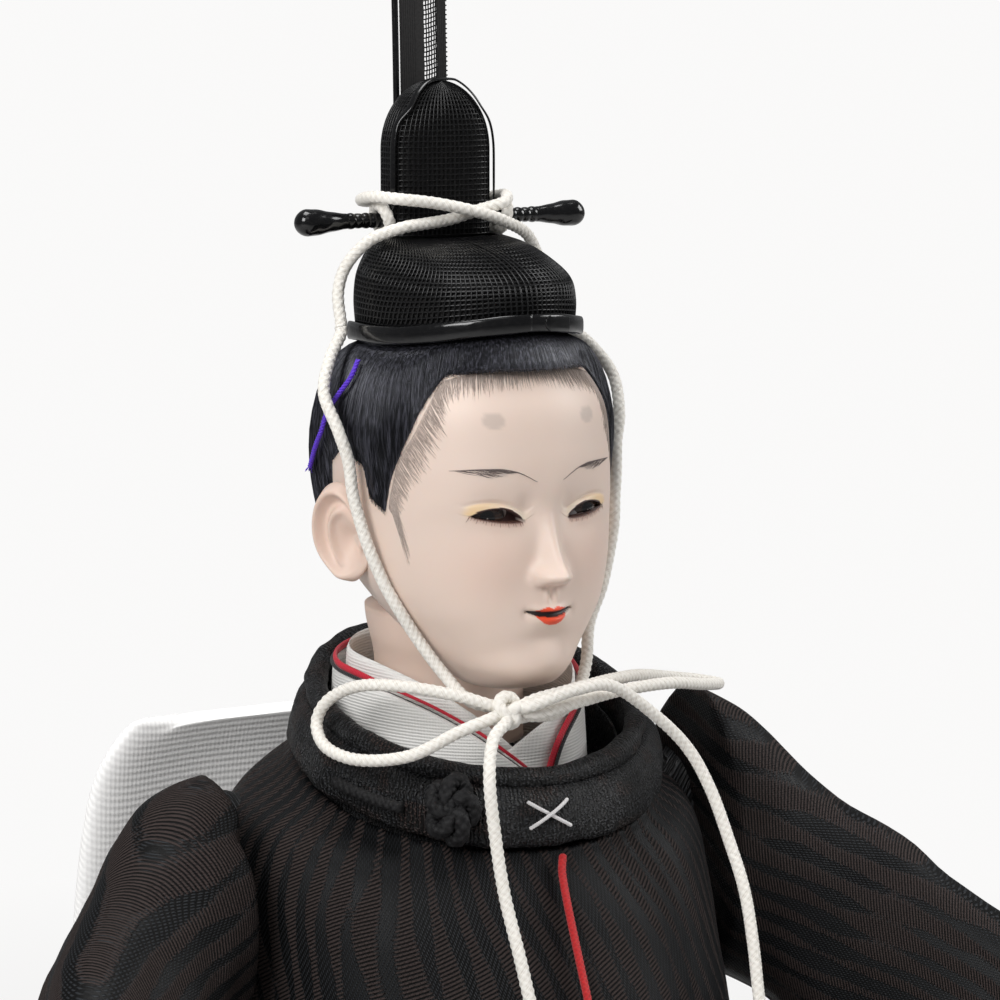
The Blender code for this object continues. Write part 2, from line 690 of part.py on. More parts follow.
def build_head(skin, glass):
    """Head with neck and ears, eyes in their pockets."""
    head = solid("head", head_rings(HEAD_RINGS, head_angles()), skin, 50)
    neck = turned("neck_shape", ((NECK_RADIUS, 0), (NECK_RADIUS, NECK_RISE - NECK_TOP_DROP)), skin)
    neck.location = (0, 0, NECK_FOOT)
    combine(head, neck, "UNION")
    for side, label in ((-1, "right"), (1, "left")):
        ear = place_ellipsoid("ear_shape_" + label, (EAR_HALF_THICKNESS, EAR_HALF_LENGTH, EAR_HALF_HEIGHT),
                              HEAD_CENTRE + Vector((side * EAR_SPREAD, EAR_BACK, -EAR_DROP)),
                              (-side * EAR_FLARE, side * EAR_LEAN), skin, 8, 12)
        combine(head, ear, "UNION")
        eye_place = HEAD_CENTRE + Vector((side * EYE_SPACING, -EYE_SETBACK, 0))
        eye_half = (EYE_HALF_WIDTH, EYE_HALF_DEPTH, EYE_HALF_HEIGHT)
        turn = (side * EYE_TURN, -side * EYE_TILT)
        place_ellipsoid("eye_" + label, eye_half, eye_place, turn, glass)
        pocket = place_ellipsoid("eye_pocket_" + label, [size + GAP for size in eye_half], eye_place,
                                 turn, skin)
        combine(head, pocket)
    bore = turned("neck_bore", ((PEG_RADIUS + GAP, -OVERRUN), (PEG_RADIUS + GAP, PEG_IN_NECK + GAP)), skin)
    bore.location = (0, 0, NECK_FOOT)
    combine(head, bore)


def build_hair(silk):
    """Hair over the skull, cut along the hairline and open round the ears."""
    rows = form_rows(HAIR_SHARES, HEAD_HALF_WIDTH, FACE_DEPTH, SKULL_DEPTH, CROWN_RISE, CHIN_DROP)
    hair = solid("hair", form_rings(rows, 13, HEAD_CENTRE, azimuths(28)), silk, 50)
    bare = head_rings(HEAD_RINGS, head_angles(), relief=False)
    skull = solid("skull_cutter", offset_rings(bare, HAIR_GAP), silk)
    combine(hair, skull)
    outline = [HEAD_CENTRE + Vector((0, depth * FACE_DEPTH, height * CROWN_RISE))
               for depth, height in HAIRLINE_SHARES]
    reach = Vector((HEAD_HALF_WIDTH + SKULL_DEPTH, 0, 0))
    window = solid("hairline_cutter", [[point - reach for point in outline],
                                       [point + reach for point in outline]], silk)
    combine(hair, window)


def cap_rows():
    """The bowl's rows, from its foot inside the rim to its flat top."""
    rows = []
    for front, front_up, wide, shift, side_up, back, back_up in CAP_SHARES:
        top = CAP_TOP_RISE
        heights = [foot + (top - foot) * share for foot, share in (
            (RIM_RISE + RIM_FRONT_LIFT, front_up), (RIM_RISE, side_up), (RIM_RISE - RIM_BACK_DROP, back_up))]
        rows.append(((RIM_FRONT - RIM_THICKNESS) * front, heights[0],
                     (RIM_HALF_WIDTH - RIM_THICKNESS) * wide, -RIM_CENTRE - RIM_FRONT * shift, heights[1],
                     (RIM_BACK - RIM_THICKNESS) * back, heights[2]))
    return rows


CAP_CENTRE = Vector((0, 0, EYE_HEIGHT))
CREST_FOOT = EYE_HEIGHT + CAP_TOP_RISE + GAP
CREST_MIDDLE = CREST_DEPTH / 2 - GAP
PIN_PLACE = Vector((0, CREST_MIDDLE, CREST_FOOT + PIN_RISE))


def crest_ring(share, inset=0.0, segments=16):
    """Level ring of the crest, at a share of its height from foot to top."""
    wide = 1.0
    deep = 1.0
    if share > ARCH_START_SHARE:
        rise = (share - ARCH_START_SHARE) / (1 - ARCH_START_SHARE)
        wide = math.sqrt(max(0.0, 1 - rise ** 2))
        deep = 1 - ARCH_THIN_SHARE * rise ** 3
    half_width = max(CREST_HALF_WIDTH * wide - inset, CREST_HALF_WIDTH * CREST_TIP_SHARE)
    half_depth = max(CREST_DEPTH / 2 * deep - inset, CREST_DEPTH * CREST_TIP_SHARE)
    height = CREST_FOOT + share * (CREST_HEIGHT - inset)
    return [Vector((half_width * a, CREST_MIDDLE + half_depth * b, height))
            for a, b in round_section(segments, CREST_SQUARENESS)]


def build_cap(gauze, lacquer):
    """Bowl, rim, crest, edge strip, pin, socket and plume."""
    outer = form_rings(cap_rows(), 9, CAP_CENTRE, azimuths(28))
    cup("cap_bowl", outer, offset_rings(outer, -CAP_WALL)[::2], gauze, 60)
    foot = offset_rings(outer, GAP + RIM_THICKNESS / 2)[0]
    up = Vector((0, 0, RIM_HEIGHT / 2))
    middle = Vector((0, -RIM_CENTRE, 0))
    outward = [(point - middle).to_2d().normalized().to_3d() * (RIM_THICKNESS / 2) for point in foot]
    hoop("cap_rim", swept(foot, [up] * len(foot), outward, round_section(6, 0.7)), lacquer, 60)

    crest = cup("cap_crest", [crest_ring(share) for share in CREST_LEVEL_SHARES],
                [crest_ring(share, CREST_WALL) for share in CREST_LEVEL_SHARES[:-2]], gauze, 60)
    hole = turned("pin_hole_cutter", ((PIN_RADIUS + PIN_RIB + GAP, -CREST_HALF_WIDTH - OVERRUN),
                                      (PIN_RADIUS + PIN_RIB + GAP, CREST_HALF_WIDTH + OVERRUN)), lacquer, 16)
    hole.rotation_euler = (0, math.pi / 2, 0)
    hole.location = PIN_PLACE
    combine(crest, hole)
    build_trim(lacquer)
    build_pin(lacquer)
    build_plume(gauze, lacquer)


def build_trim(lacquer):
    """Lacquered strip over the arch, on the crest's front corner."""
    levels = smooth_rows([(share,) for share in TRIM_SPAN_SHARES], 15)
    levels = [level[0] for level in levels]
    right = [(crest_ring(share), min(share, ARCH_START_SHARE)) for share in levels]
    centres, normals = [], []
    for ring, share in right:
        point = min(ring, key=lambda place: place.x * CREST_DEPTH + place.y * CREST_HALF_WIDTH)
        inward = (Vector((0, CREST_MIDDLE, CREST_FOOT + share * CREST_HEIGHT)) - point).normalized()
        centres.append(point - inward * (GAP + TRIM_THICKNESS))
        normals.append(-inward)
    centres += list(reversed(mirrored(centres)))
    normals += list(reversed(mirrored(normals)))
    wides, thicks = [], []
    for i, normal in enumerate(normals):
        along = centres[min(i + 1, len(centres) - 1)] - centres[max(i - 1, 0)]
        wides.append(along.cross(normal).normalized() * (TRIM_WIDTH / 2))
        thicks.append(normal * (TRIM_THICKNESS / 2))
    solid("crest_trim", swept(centres, wides, thicks, FLAT_SECTION), lacquer)


def build_pin(lacquer):
    """Ribbed pin with a knob at each end, through the crest's foot."""
    profile = [(PIN_KNOB_RADIUS * math.sin(math.pi * (i + 0.4) / 7),
                -PIN_HALF_LENGTH - PIN_KNOB_RADIUS * math.cos(math.pi * (i + 0.4) / 7)) for i in range(6)]
    rib_start = CREST_HALF_WIDTH + CHIN_CORD + PIN_RADIUS
    rib_end = PIN_HALF_LENGTH - 1.5 * PIN_KNOB_RADIUS
    pitch = (rib_end - rib_start) / PIN_RINGS
    for i in range(PIN_RINGS):
        foot = -rib_end + pitch * i
        profile += [(PIN_RADIUS - PIN_RIB, foot), (PIN_RADIUS + PIN_RIB, foot + pitch / 2)]
    profile += [(PIN_RADIUS, -rib_start)]
    profile += [(radius, -place) for radius, place in reversed(profile)]
    pin = turned("cap_pin", profile, lacquer, 8)
    pin.rotation_euler = (0, math.pi / 2, 0)
    pin.location = PIN_PLACE + Vector((PIN_SHIFT, 0, 0))


def build_plume(gauze, lacquer):
    """Gauze plume with its edge rod, standing in the socket behind the crest."""
    back = CREST_MIDDLE + CREST_DEPTH / 2 + GAP
    inner_depth = 2 * PLUME_ROD_RADIUS + 2 * SLIDE_GAP
    middle_y = back + SOCKET_WALL + inner_depth / 2
    inner_half = PLUME_WIDTH / 2 + SLIDE_GAP + 2 * PLUME_ROD_RADIUS
    foot = CREST_FOOT
    top = foot + SOCKET_HEIGHT

    def box_ring(half_wide, half_deep, height):
        return [Vector((PLUME_SHIFT + half_wide * a, middle_y + half_deep * b, height))
                for a, b in FLAT_SECTION]

    outer_half = inner_half + SOCKET_WALL
    outer_deep = inner_depth / 2 + SOCKET_WALL
    cup("plume_socket",
        [box_ring(outer_half, outer_deep, top), box_ring(outer_half, outer_deep, foot)],
        [box_ring(inner_half, inner_depth / 2, top),
         box_ring(inner_half, inner_depth / 2, foot + SOCKET_WALL)], lacquer, 20)

    start = foot + SOCKET_WALL + GAP
    heights = [start + PLUME_HEIGHT * i / 16 for i in range(17)]

    def bend(height):
        rise = max(0.0, (height - top) / PLUME_HEIGHT)
        return PLUME_BEND * rise ** 2

    gauze_shift = PLUME_SHIFT + PLUME_ROD_RADIUS + GAP
    half = PLUME_WIDTH / 2 - PLUME_ROD_RADIUS
    centres = [Vector((gauze_shift, middle_y + bend(height), height)) for height in heights]
    wides = [Vector((half, 0, 0))] * len(heights)
    thicks = [Vector((0, PLUME_THICKNESS / 2, 0))] * len(heights)
    solid("plume", swept(centres, wides, thicks, FLAT_SECTION), gauze, 20)
    rod_x = gauze_shift - half - PLUME_ROD_RADIUS - GAP
    rod = [Vector((rod_x, middle_y + bend(height), height)) for height in heights]
    tube("plume_rod", rod, 2 * PLUME_ROD_RADIUS, lacquer, 1)


def build_core(straw, wood, wire):
    """Seat board, straw core, neck peg and the wire through both arms."""
    half = Vector((BOARD_WIDTH / 2, BOARD_DEPTH / 2, 0))
    board = solid("seat_board", [[Vector((half.x * a, BOARD_SETBACK + half.y * b, height))
                                  for a, b in FLAT_SECTION] for height in (0, BOARD_THICKNESS)], wood, 20)
    bevel = board.modifiers.new("edge", "BEVEL")
    bevel.width = BOARD_BEVEL
    bevel.segments = 1

    foot = BOARD_THICKNESS + GAP
    profile = [(CORE_RADIUS * radius, foot + (CORE_TOP - foot) * rise)
               for radius, rise in CORE_SHARES]
    core = turned("body_core", profile, straw, 18, 20)
    bore = turned("peg_bore", ((PEG_RADIUS + GAP, NECK_FOOT - PEG_IN_CORE - GAP),
                               (PEG_RADIUS + GAP, NECK_FOOT + OVERRUN)), straw, 16)
    combine(core, bore)
    turned("neck_peg", ((PEG_RADIUS - GAP, NECK_FOOT - PEG_IN_CORE),
                        (PEG_RADIUS, NECK_FOOT - PEG_IN_CORE / 2),
                        (PEG_RADIUS, NECK_FOOT + PEG_IN_NECK)), wood, 16)
    channel = channel_cutter("arm_wire_channel", arm_route(OVERRUN), 2 * (WIRE_RADIUS + GAP), wire)
    combine(core, channel)
    tube("arm_wire", arm_route(0), 2 * WIRE_RADIUS, wire, 1)


def arm_route(extra):
    """The arm wire's way: wrist, elbow, through the core behind the neck peg, elbow, wrist."""
    cuff = ARM_REACH + 2 * (LINING_THICKNESS + GAP)
    wrist = Vector((ARM_SPREAD, -cuff - HAND_LENGTH * WRIST_SHARE, HAND_HEIGHT))
    wire = Vector((ARM_SPREAD, -ARM_REACH, HAND_HEIGHT))
    elbow = wire * Vector(ELBOW_SHARES)
    shoulder = Vector((SHOULDER_SPREAD, WIRE_BACK, WIRE_HEIGHT)) * Vector(WIRE_TURN_SHARES)
    side = Vector((SHOULDER_SPREAD, WIRE_BACK, WIRE_HEIGHT)) * Vector(WIRE_SIDE_SHARES)
    half = [wrist, elbow, shoulder, side]
    way = even_points(mirrored(half) + list(reversed(half)), ARM_SPREAD / ARM_STEPS)
    if extra:
        pairs = ((way[0], way[1]), (way[-1], way[-2]))
        ends = [end + (end - inner).normalized() * extra for end, inner in pairs]
        way = [ends[0]] + way + [ends[1]]
    return way


def collar_strip(name, side, table, layer, drop, material):
    """One side of a white collar: a cloth strip from the back of the neck to the chest."""
    tops, feet = [], []
    for degrees, spread, height in smooth_rows(table, 17):
        azimuth = math.radians(degrees) * side
        back = math.cos(azimuth) < 0
        depth = INNER_COLLAR_BACK if back else INNER_COLLAR_FRONT
        out = Vector((math.sin(azimuth), -math.cos(azimuth), 0))
        top = Vector((INNER_COLLAR_HALF_WIDTH * out.x * spread, depth * out.y * spread, 0)) + out * layer
        top.z = COLLAR_FOOT + COLLAR_RISE * height - drop
        foot = top + out * (COLLAR_SLOPE * (top.z - COLLAR_FOOT))
        foot.z = COLLAR_FOOT
        tops.append(top)
        feet.append(foot)
    centres = [(top + foot) / 2 for top, foot in zip(tops, feet)]
    wides = [(top - foot) / 2 for top, foot in zip(tops, feet)]
    thicks = []
    for i, wide in enumerate(wides):
        along = tops[min(i + 1, len(tops) - 1)] - tops[max(i - 1, 0)]
        thicks.append(along.cross(wide).normalized() * (COLLAR_CLOTH / 2))
    solid(name, swept(centres, wides, thicks, FLAT_SECTION), material)
    return tops, thicks


def build_white_collars(white, red):
    """Inner and outer white collars with a red piping between them."""
    under = 2 * COLLAR_LAYER
    sides = ((-1, "right", COLLAR_RIGHT_SHARES, CROSSING_RIGHT_SHARES, 0, under),
             (1, "left", COLLAR_LEFT_SHARES, CROSSING_LEFT_SHARES, COLLAR_LAYER, under + CLOTH_EASE))
    for side, label, table, crossing, layer, outer_layer in sides:
        collar_strip("inner_collar_" + label, side, table + crossing, layer, 0, white)
        tops, thicks = collar_strip("outer_collar_" + label, side, table, outer_layer,
                                    OUTER_COLLAR_DROP, white)
        seam = []
        for i, (top, thick) in enumerate(zip(tops, thicks)):
            along = tops[min(i + 1, len(tops) - 1)] - tops[max(i - 1, 0)]
            above = thick.cross(along).normalized()
            if above.z < 0:
                above.negate()
            seam.append(top + above * (PIPING_RADIUS + GAP))
        tube("red_piping_" + label, seam, 2 * PIPING_RADIUS, red, 1)


def collar_place(azimuth):
    """Centre, outward and upward directions of the round collar's band at an azimuth."""
    ahead = math.cos(azimuth)
    depth = COLLAR_FRONT if ahead >= 0 else COLLAR_BACK
    shift = COLLAR_RING_CENTRE
    centre = Vector((COLLAR_SHIFT + COLLAR_HALF_WIDTH * math.sin(azimuth),
                     -shift - (depth - shift if ahead >= 0 else depth + shift) * ahead, 0))
    rise = (1 - ahead) / 2
    centre.z = NECK_FOOT - COLLAR_FRONT_DROP + (COLLAR_BACK_RISE + COLLAR_FRONT_DROP) * rise
    flat = Vector((math.sin(azimuth) / COLLAR_HALF_WIDTH,
                   -ahead / (depth - shift if ahead >= 0 else depth + shift), 0)).normalized()
    outward = (flat * math.cos(BAND_LEAN) + Vector((0, 0, 1)) * math.sin(BAND_LEAN))
    upward = (Vector((0, 0, 1)) * math.cos(BAND_LEAN) - flat * math.sin(BAND_LEAN))
    return centre, outward, upward


def band_point(azimuth, rise, off):
    """Point off the outer face of the band, at a height above its middle."""
    centre, outward, upward = collar_place(azimuth)
    bulge = BAND_HALF_THICKNESS * math.sqrt(max(0.0, 1 - (rise / BAND_HALF_HEIGHT) ** 2))
    return centre + outward * (bulge + off) + upward * rise


def build_round_collar(black, thread):
    """Rolled band of the court robe, its thin upper roll, frog knot and cross stitch."""
    places = [collar_place(angle) for angle in azimuths(32)]
    centres = [place[0] for place in places]
    outs = [place[1] * BAND_HALF_THICKNESS for place in places]
    ups = [place[2] * BAND_HALF_HEIGHT for place in places]
    hoop("collar_band", swept(centres, ups, outs, round_section(8, 0.85)), black, 60)
    lift = BAND_HALF_HEIGHT + ROLL_RADIUS + GAP
    roll_centres = [place[0] + place[2] * lift for place in places]
    hoop("collar_roll", swept(roll_centres, [place[2] * ROLL_RADIUS for place in places],
                              [place[1] * ROLL_RADIUS for place in places], round_section(6)), black, 60)

    knot = place_ellipsoid("frog_knot", (FROG_HALF_WIDTH, FROG_HALF_DEPTH, FROG_HALF_HEIGHT),
                           band_point(FROG_AZIMUTH, 0, GAP + FROG_HALF_DEPTH), (FROG_AZIMUTH, 0), black)
    knot.rotation_euler.x = -BAND_LEAN
    turn = FROG_HALF_WIDTH / COLLAR_HALF_WIDTH
    off = GAP + FROG_CORD / 2
    reach = FROG_AZIMUTH - turn - FROG_CORD / COLLAR_HALF_WIDTH
    strap = [band_point(reach - turn * i / 3, -BAND_HALF_HEIGHT * 0.3, off) for i in range(8)]
    tube("frog_loop", strap, FROG_CORD, black)

    half_turn = STITCH_HALF_WIDTH / COLLAR_FRONT
    for name, slope, lift in (("cross_stitch_under", -1, 0), ("cross_stitch_over", 1, STITCH_THREAD + GAP)):
        points = []
        for i in range(9):
            place = (i - 4) / 4
            off = GAP + STITCH_THREAD / 2 + lift * (1 - place ** 2)
            rise = STITCH_HALF_RISE * place * slope
            points.append(band_point(STITCH_AZIMUTH + half_turn * place, rise, off))
        tube(name, points, STITCH_THREAD, thread, 1)


def robe_rows():
    """Rows of the robe's outside."""
    return form_rows(ROBE_SHARES, ROBE_HALF_WIDTH, ROBE_FRONT, ROBE_FRONT, ROBE_HEIGHT, ROBE_HEIGHT)


def drape(azimuth, depth):
    """Soft vertical folds of the robe's skirt."""
    return depth * math.sin(9 * azimuth)


def robe_rings(count, angles):
    """Rings of the robe: its top follows the collar band, and folds grow towards its hem."""
    rings = form_rings(robe_rows(), count, Vector(), angles)
    for i, ring in enumerate(rings):
        grow = max(0.0, i / (count - 1) - FOLD_START_SHARE) / (1 - FOLD_START_SHARE)
        keep = min(1.0, i / (count - 1) / YOKE_SHARE)
        for j, angle in enumerate(angles):
            out = Vector((math.sin(angle), -math.cos(angle), 0))
            ring[j] += out * drape(angle, ROBE_FOLD * grow * math.sin(angle) ** 2)
            if keep < 1:
                centre, outward, upward = collar_place(angle)
                under = centre - upward * (BAND_HALF_HEIGHT + GAP + CLOTH_EASE)
                ring[j] = under.lerp(ring[j], keep)
    return rings


def build_robe(brocade, leather, cord_red):
    """Robe shell from collar to hem, the belt round it and the cord down its front."""
    outer = robe_rings(17, azimuths(32))
    inner = offset_rings(outer, -ROBE_CLOTH)[::2]
    robe = hoop("robe_body", outer + list(reversed(inner)), brocade, 60)
    combine(robe, channel_cutter("robe_channel", arm_route(0), 2 * (WIRE_RADIUS + GAP), brocade))

    angles = azimuths(36)
    fine = robe_rings(101, angles)
    centres, wides, thicks = [], [], []
    for j in range(len(angles)):
        column = [ring[j] for ring in fine]
        low, high = (min(column, key=lambda point: abs(point.z - level))
                     for level in (BELT_HEIGHT - BELT_HALF_HEIGHT, BELT_HEIGHT + BELT_HALF_HEIGHT))
        wide = (high - low) / 2
        round_body = Vector((-low.y, low.x, 0))
        out = wide.cross(round_body).normalized()
        if out.dot(low) < 0:
            out.negate()
        centres.append((low + high) / 2 + out * (GAP + BELT_EASE + BELT_THICKNESS / 2))
        wides.append(wide)
        thicks.append(out * (BELT_THICKNESS / 2))
    hoop("belt", swept(centres, wides, thicks, FLAT_SECTION), leather, 20)

    route = []
    raised = offset_rings(fine, GAP + FRONT_CORD / 2)
    for share in FRONT_CORD_SHARES:
        route.append(raised[round(100 * share)][0])
    tube("front_cord", even_points(route, 2.4 * FRONT_CORD), FRONT_CORD, cord_red)


def build_trousers(white):
    """Two puffed trouser lobes at the knees, flat below."""
    for side, label in ((-1, "right"), (1, "left")):
        rings = []
        for i in range(6):
            polar = math.pi / 2 * KNEE_CLOSE_SHARE * i / 5
            rise = math.sin(polar)
            spread = math.cos(polar) ** KNEE_SQUARENESS
            rings.append([Vector((KNEE_HALF_WIDTH * spread * math.cos(angle),
                                  KNEE_HALF_DEPTH * spread * math.sin(angle), KNEE_HEIGHT * rise))
                          for angle in azimuths(20)])
        lobe = solid("trouser_" + label, rings, white, 60)
        lobe.location = (side * KNEE_SPREAD, -KNEE_FORWARD, KNEE_LIFT)


def sleeve_rings(scale=1.0, foldy=True, lift=0.0, segments=20):
    """Upright rings of a left sleeve, from the shoulder to the cuff."""
    rows = smooth_rows(SLEEVE_SHARES, 14)
    middles = [Vector((SHOULDER_SPREAD + (ARM_SPREAD - SHOULDER_SPREAD) * spread, -ARM_REACH * reach, 0))
               for spread, reach, ridge, foot, width in rows]
    rings = []
    for i, (spread, reach, ridge, foot, width) in enumerate(rows):
        along = (middles[min(i + 1, len(rows) - 1)] - middles[max(i - 1, 0)]).normalized()
        along = Vector((1, 0, 0)).lerp(along, min(1.0, i / 6)).normalized()
        if i == len(rows) - 1:
            along = Vector((0, -1, 0))
        aside = along.cross(Vector((0, 0, 1)))
        half = SLEEVE_HALF_WIDTH * width
        top = SHOULDER_HEIGHT * ridge + lift * max(0.0, 1 - spread / LIFT_RUN_SHARE)
        low = SHOULDER_HEIGHT * foot
        ring = []
        for a, b in round_section(segments, 0.8):
            fold = SLEEVE_FOLD * math.sin(7 * b + 0.8 * i) * (1 - b * b) if foldy else 0
            narrow = 1 - RIDGE_NARROW_SHARE * max(0.0, b) ** 2
            level = (top + low) / 2 + (top - low) / 2 * b * scale
            ring.append(middles[i] + aside * (half * a * narrow * scale + fold * a) + Vector((0, 0, level)))
        rings.append(ring)
    return rings


def build_sleeves(brocade, white, red, wire):
    """Both sleeves with two lining layers at the cuff."""
    for side, label in ((-1, "right"), (1, "left")):
        rings = sleeve_rings(lift=LEFT_SHOULDER_LIFT if side > 0 else 0.0)
        cuff, inner = (sleeve_rings(share, False)[-1] for share in LINING_SHARES)
        start = GAP
        layers = []
        for ring in (cuff, inner):
            layers.append([[point + Vector((0, -start - step, 0)) for point in ring]
                           for step in (0, LINING_THICKNESS)])
            start += LINING_THICKNESS + GAP
        shapes = (("sleeve_", rings, brocade), ("sleeve_lining_white_", layers[0], white),
                  ("sleeve_lining_red_", layers[1], red))
        channel = channel_cutter("arm_channel_" + label, arm_route(OVERRUN), 2 * (WIRE_RADIUS + GAP), wire)
        for name, shape, surface in shapes:
            placed = [mirrored(ring) for ring in shape] if side < 0 else shape
            combine(solid(name + label, placed, surface, 60), channel)


def build_hands(skin, wood, wire):
    """Both hands on the wire's ends, and the baton in the right one."""
    start = -ARM_REACH - 2 * (LINING_THICKNESS + GAP) - GAP
    for side, label in ((-1, "right"), (1, "left")):
        rings = []
        for place, width, height in HAND_SHARES:
            rings.append([Vector((side * ARM_SPREAD + HAND_HALF_WIDTH * width * a,
                                  start - HAND_LENGTH * place, HAND_HEIGHT + HAND_HALF_HEIGHT * height * b))
                          for a, b in round_section(16, 0.8)])
        hand = solid("hand_" + label, rings, skin, 60)
        combine(hand, channel_cutter("wrist_bore_" + label, arm_route(GAP), 2 * (WIRE_RADIUS + GAP), wire))
        if side < 0:
            baton_y = start - HAND_LENGTH * GRIP_SHARE
            foot = HAND_HEIGHT - HAND_HALF_HEIGHT - BATON_BELOW_HAND
            for name, extra, low in (("baton", 0, 0), ("baton_slot", SLIDE_GAP, OVERRUN)):
                wide = BATON_WIDTH / 2 + extra
                thick = BATON_THICKNESS / 2 + extra
                ring = [Vector((side * ARM_SPREAD + wide * a, baton_y + thick * b, foot - low))
                        for a, b in FLAT_SECTION]
                top = [point + Vector((0, 0, BATON_LENGTH + 2 * low)) for point in ring]
                plate = solid(name, [ring, top], wood, 20)
            combine(hand, plate)


def build_train(white):
    """White ribbed train that stands behind the shoulders and runs out over the ground."""
    rows = smooth_rows(TRAIN_SHARES, 17)
    line = [Vector((0, TRAIN_BACK * depth, TRAIN_TOP * height + TRAIN_THICKNESS / 2))
            for depth, height, width in rows]
    centres, wides, thicks = [], [], []
    for i, row in enumerate(rows):
        along = line[min(i + 1, len(line) - 1)] - line[max(i - 1, 0)]
        centres.append(line[i])
        wides.append(Vector((TRAIN_HALF_WIDTH * row[2], 0, 0)))
        thicks.append(wides[-1].cross(along).normalized() * (TRAIN_THICKNESS / 2))
    solid("train_panel", swept(centres, wides, thicks, round_section(12, 0.35)), white, 60)


def build_sword(lacquer, brass, steel, wrap, cloth):
    """Sword: scabbard in its hanger, blade with guard and hilt."""
    carrier = bpy.data.objects.new("sword_frame", None)
    bpy.context.scene.collection.objects.link(carrier)
    carrier.location = (SWORD_SIDE, 0, SWORD_HEIGHT)
    carrier.rotation_euler = (-SWORD_RISE, 0, SWORD_SPLAY)

    def oval(half_wide, half_high, place):
        return [Vector((half_wide * a, place, half_high * b)) for a, b in round_section(16)]

    mouth = SCABBARD_TIP - SCABBARD_LENGTH
    cavity = (BLADE_HALF_THICKNESS + SLIDE_GAP, BLADE_HALF_HEIGHT + SLIDE_GAP)
    inner_end = mouth + BLADE_LENGTH + SLIDE_GAP
    wide, high = SCABBARD_HALF_WIDTH, SCABBARD_HALF_HEIGHT
    scabbard = cup("scabbard", [oval(wide, high, mouth), oval(wide, high, 0),
                                oval(wide * SCABBARD_END_SHARE, high * SCABBARD_END_SHARE, SCABBARD_TIP)],
                   [oval(*cavity, mouth), oval(*cavity, inner_end)], lacquer, 30)
    edge = (BLADE_HALF_THICKNESS, BLADE_HALF_HEIGHT)
    seat = mouth - GAP
    point = [half * BLADE_POINT_SHARE for half in edge]
    blade = solid("blade", [oval(*edge, seat - GUARD_THICKNESS - HILT_LENGTH * TANG_SHARE), oval(*edge, 0),
                            oval(*point, mouth + BLADE_LENGTH)], steel, 30)
    slot = (edge[0] + GAP, edge[1] + GAP)
    plate = (GUARD_HALF * GUARD_WIDTH_SHARE, GUARD_HALF)
    guard = hoop("guard", [oval(*plate, seat), oval(*plate, seat - GUARD_THICKNESS),
                           oval(*slot, seat - GUARD_THICKNESS), oval(*slot, seat)], brass, 30)
    root = seat - GUARD_THICKNESS - GAP
    hilt = cup("hilt", [oval(HILT_HALF_WIDTH, HILT_HALF_HEIGHT, root),
                        oval(HILT_HALF_WIDTH, HILT_HALF_HEIGHT * HILT_WAIST_SHARE, root - HILT_LENGTH / 2),
                        oval(HILT_HALF_WIDTH, HILT_HALF_HEIGHT, root - HILT_LENGTH)],
               [oval(*slot, root), oval(*slot, root - HILT_LENGTH * TANG_HOLE_SHARE)], wrap, 30)
    ease = SLIDE_GAP
    rings = []
    for grow, place in ((0, 0), (1, 0), (1, 1), (0, 1)):
        rings.append(oval(wide + ease + HANGER_WALL * grow, high + ease + HANGER_WALL * grow,
                          HANGER_PLACE + HANGER_LENGTH * place))
    hanger = hoop("sword_hanger", rings, cloth, 30)
    for piece in (scabbard, blade, guard, hilt, hanger):
        piece.parent = carrier


def build_chin_cord(white):
    """Cap wrap, cheek strands, knot, bow loops and tails of the chin cord."""
    step = 2.2 * CHIN_CORD
    tube("cap_cord_wrap", even_points(routed(CAP_WRAP_ROUTE), 1.7 * CHIN_CORD), CHIN_CORD, white)
    right = routed(CHEEK_ROUTE)
    left = mirrored(right[:-2]) + routed(CHEEK_LEFT_END)
    tube("cheek_cord_right", even_points(right, step), CHIN_CORD, white)
    tube("cheek_cord_left", even_points(left, step), CHIN_CORD, white)
    tube("bow_loop_right", even_points(routed(BOW_LOOP_RIGHT_ROUTE), step), CHIN_CORD, white)
    tube("bow_loop_left", even_points(routed(BOW_LOOP_LEFT_ROUTE), step), CHIN_CORD, white)
    tube("cord_tail_right", even_points(routed(TAIL_RIGHT_ROUTE), step), CHIN_CORD, white)
    tube("cord_tail_left", even_points(routed(TAIL_LEFT_ROUTE), step), CHIN_CORD, white)
    place_ellipsoid("bow_knot", (KNOT_HALF_WIDTH, KNOT_HALF_DEPTH, KNOT_HALF_HEIGHT),
                    routed((KNOT_PLACE,))[0], (0, 0), white)


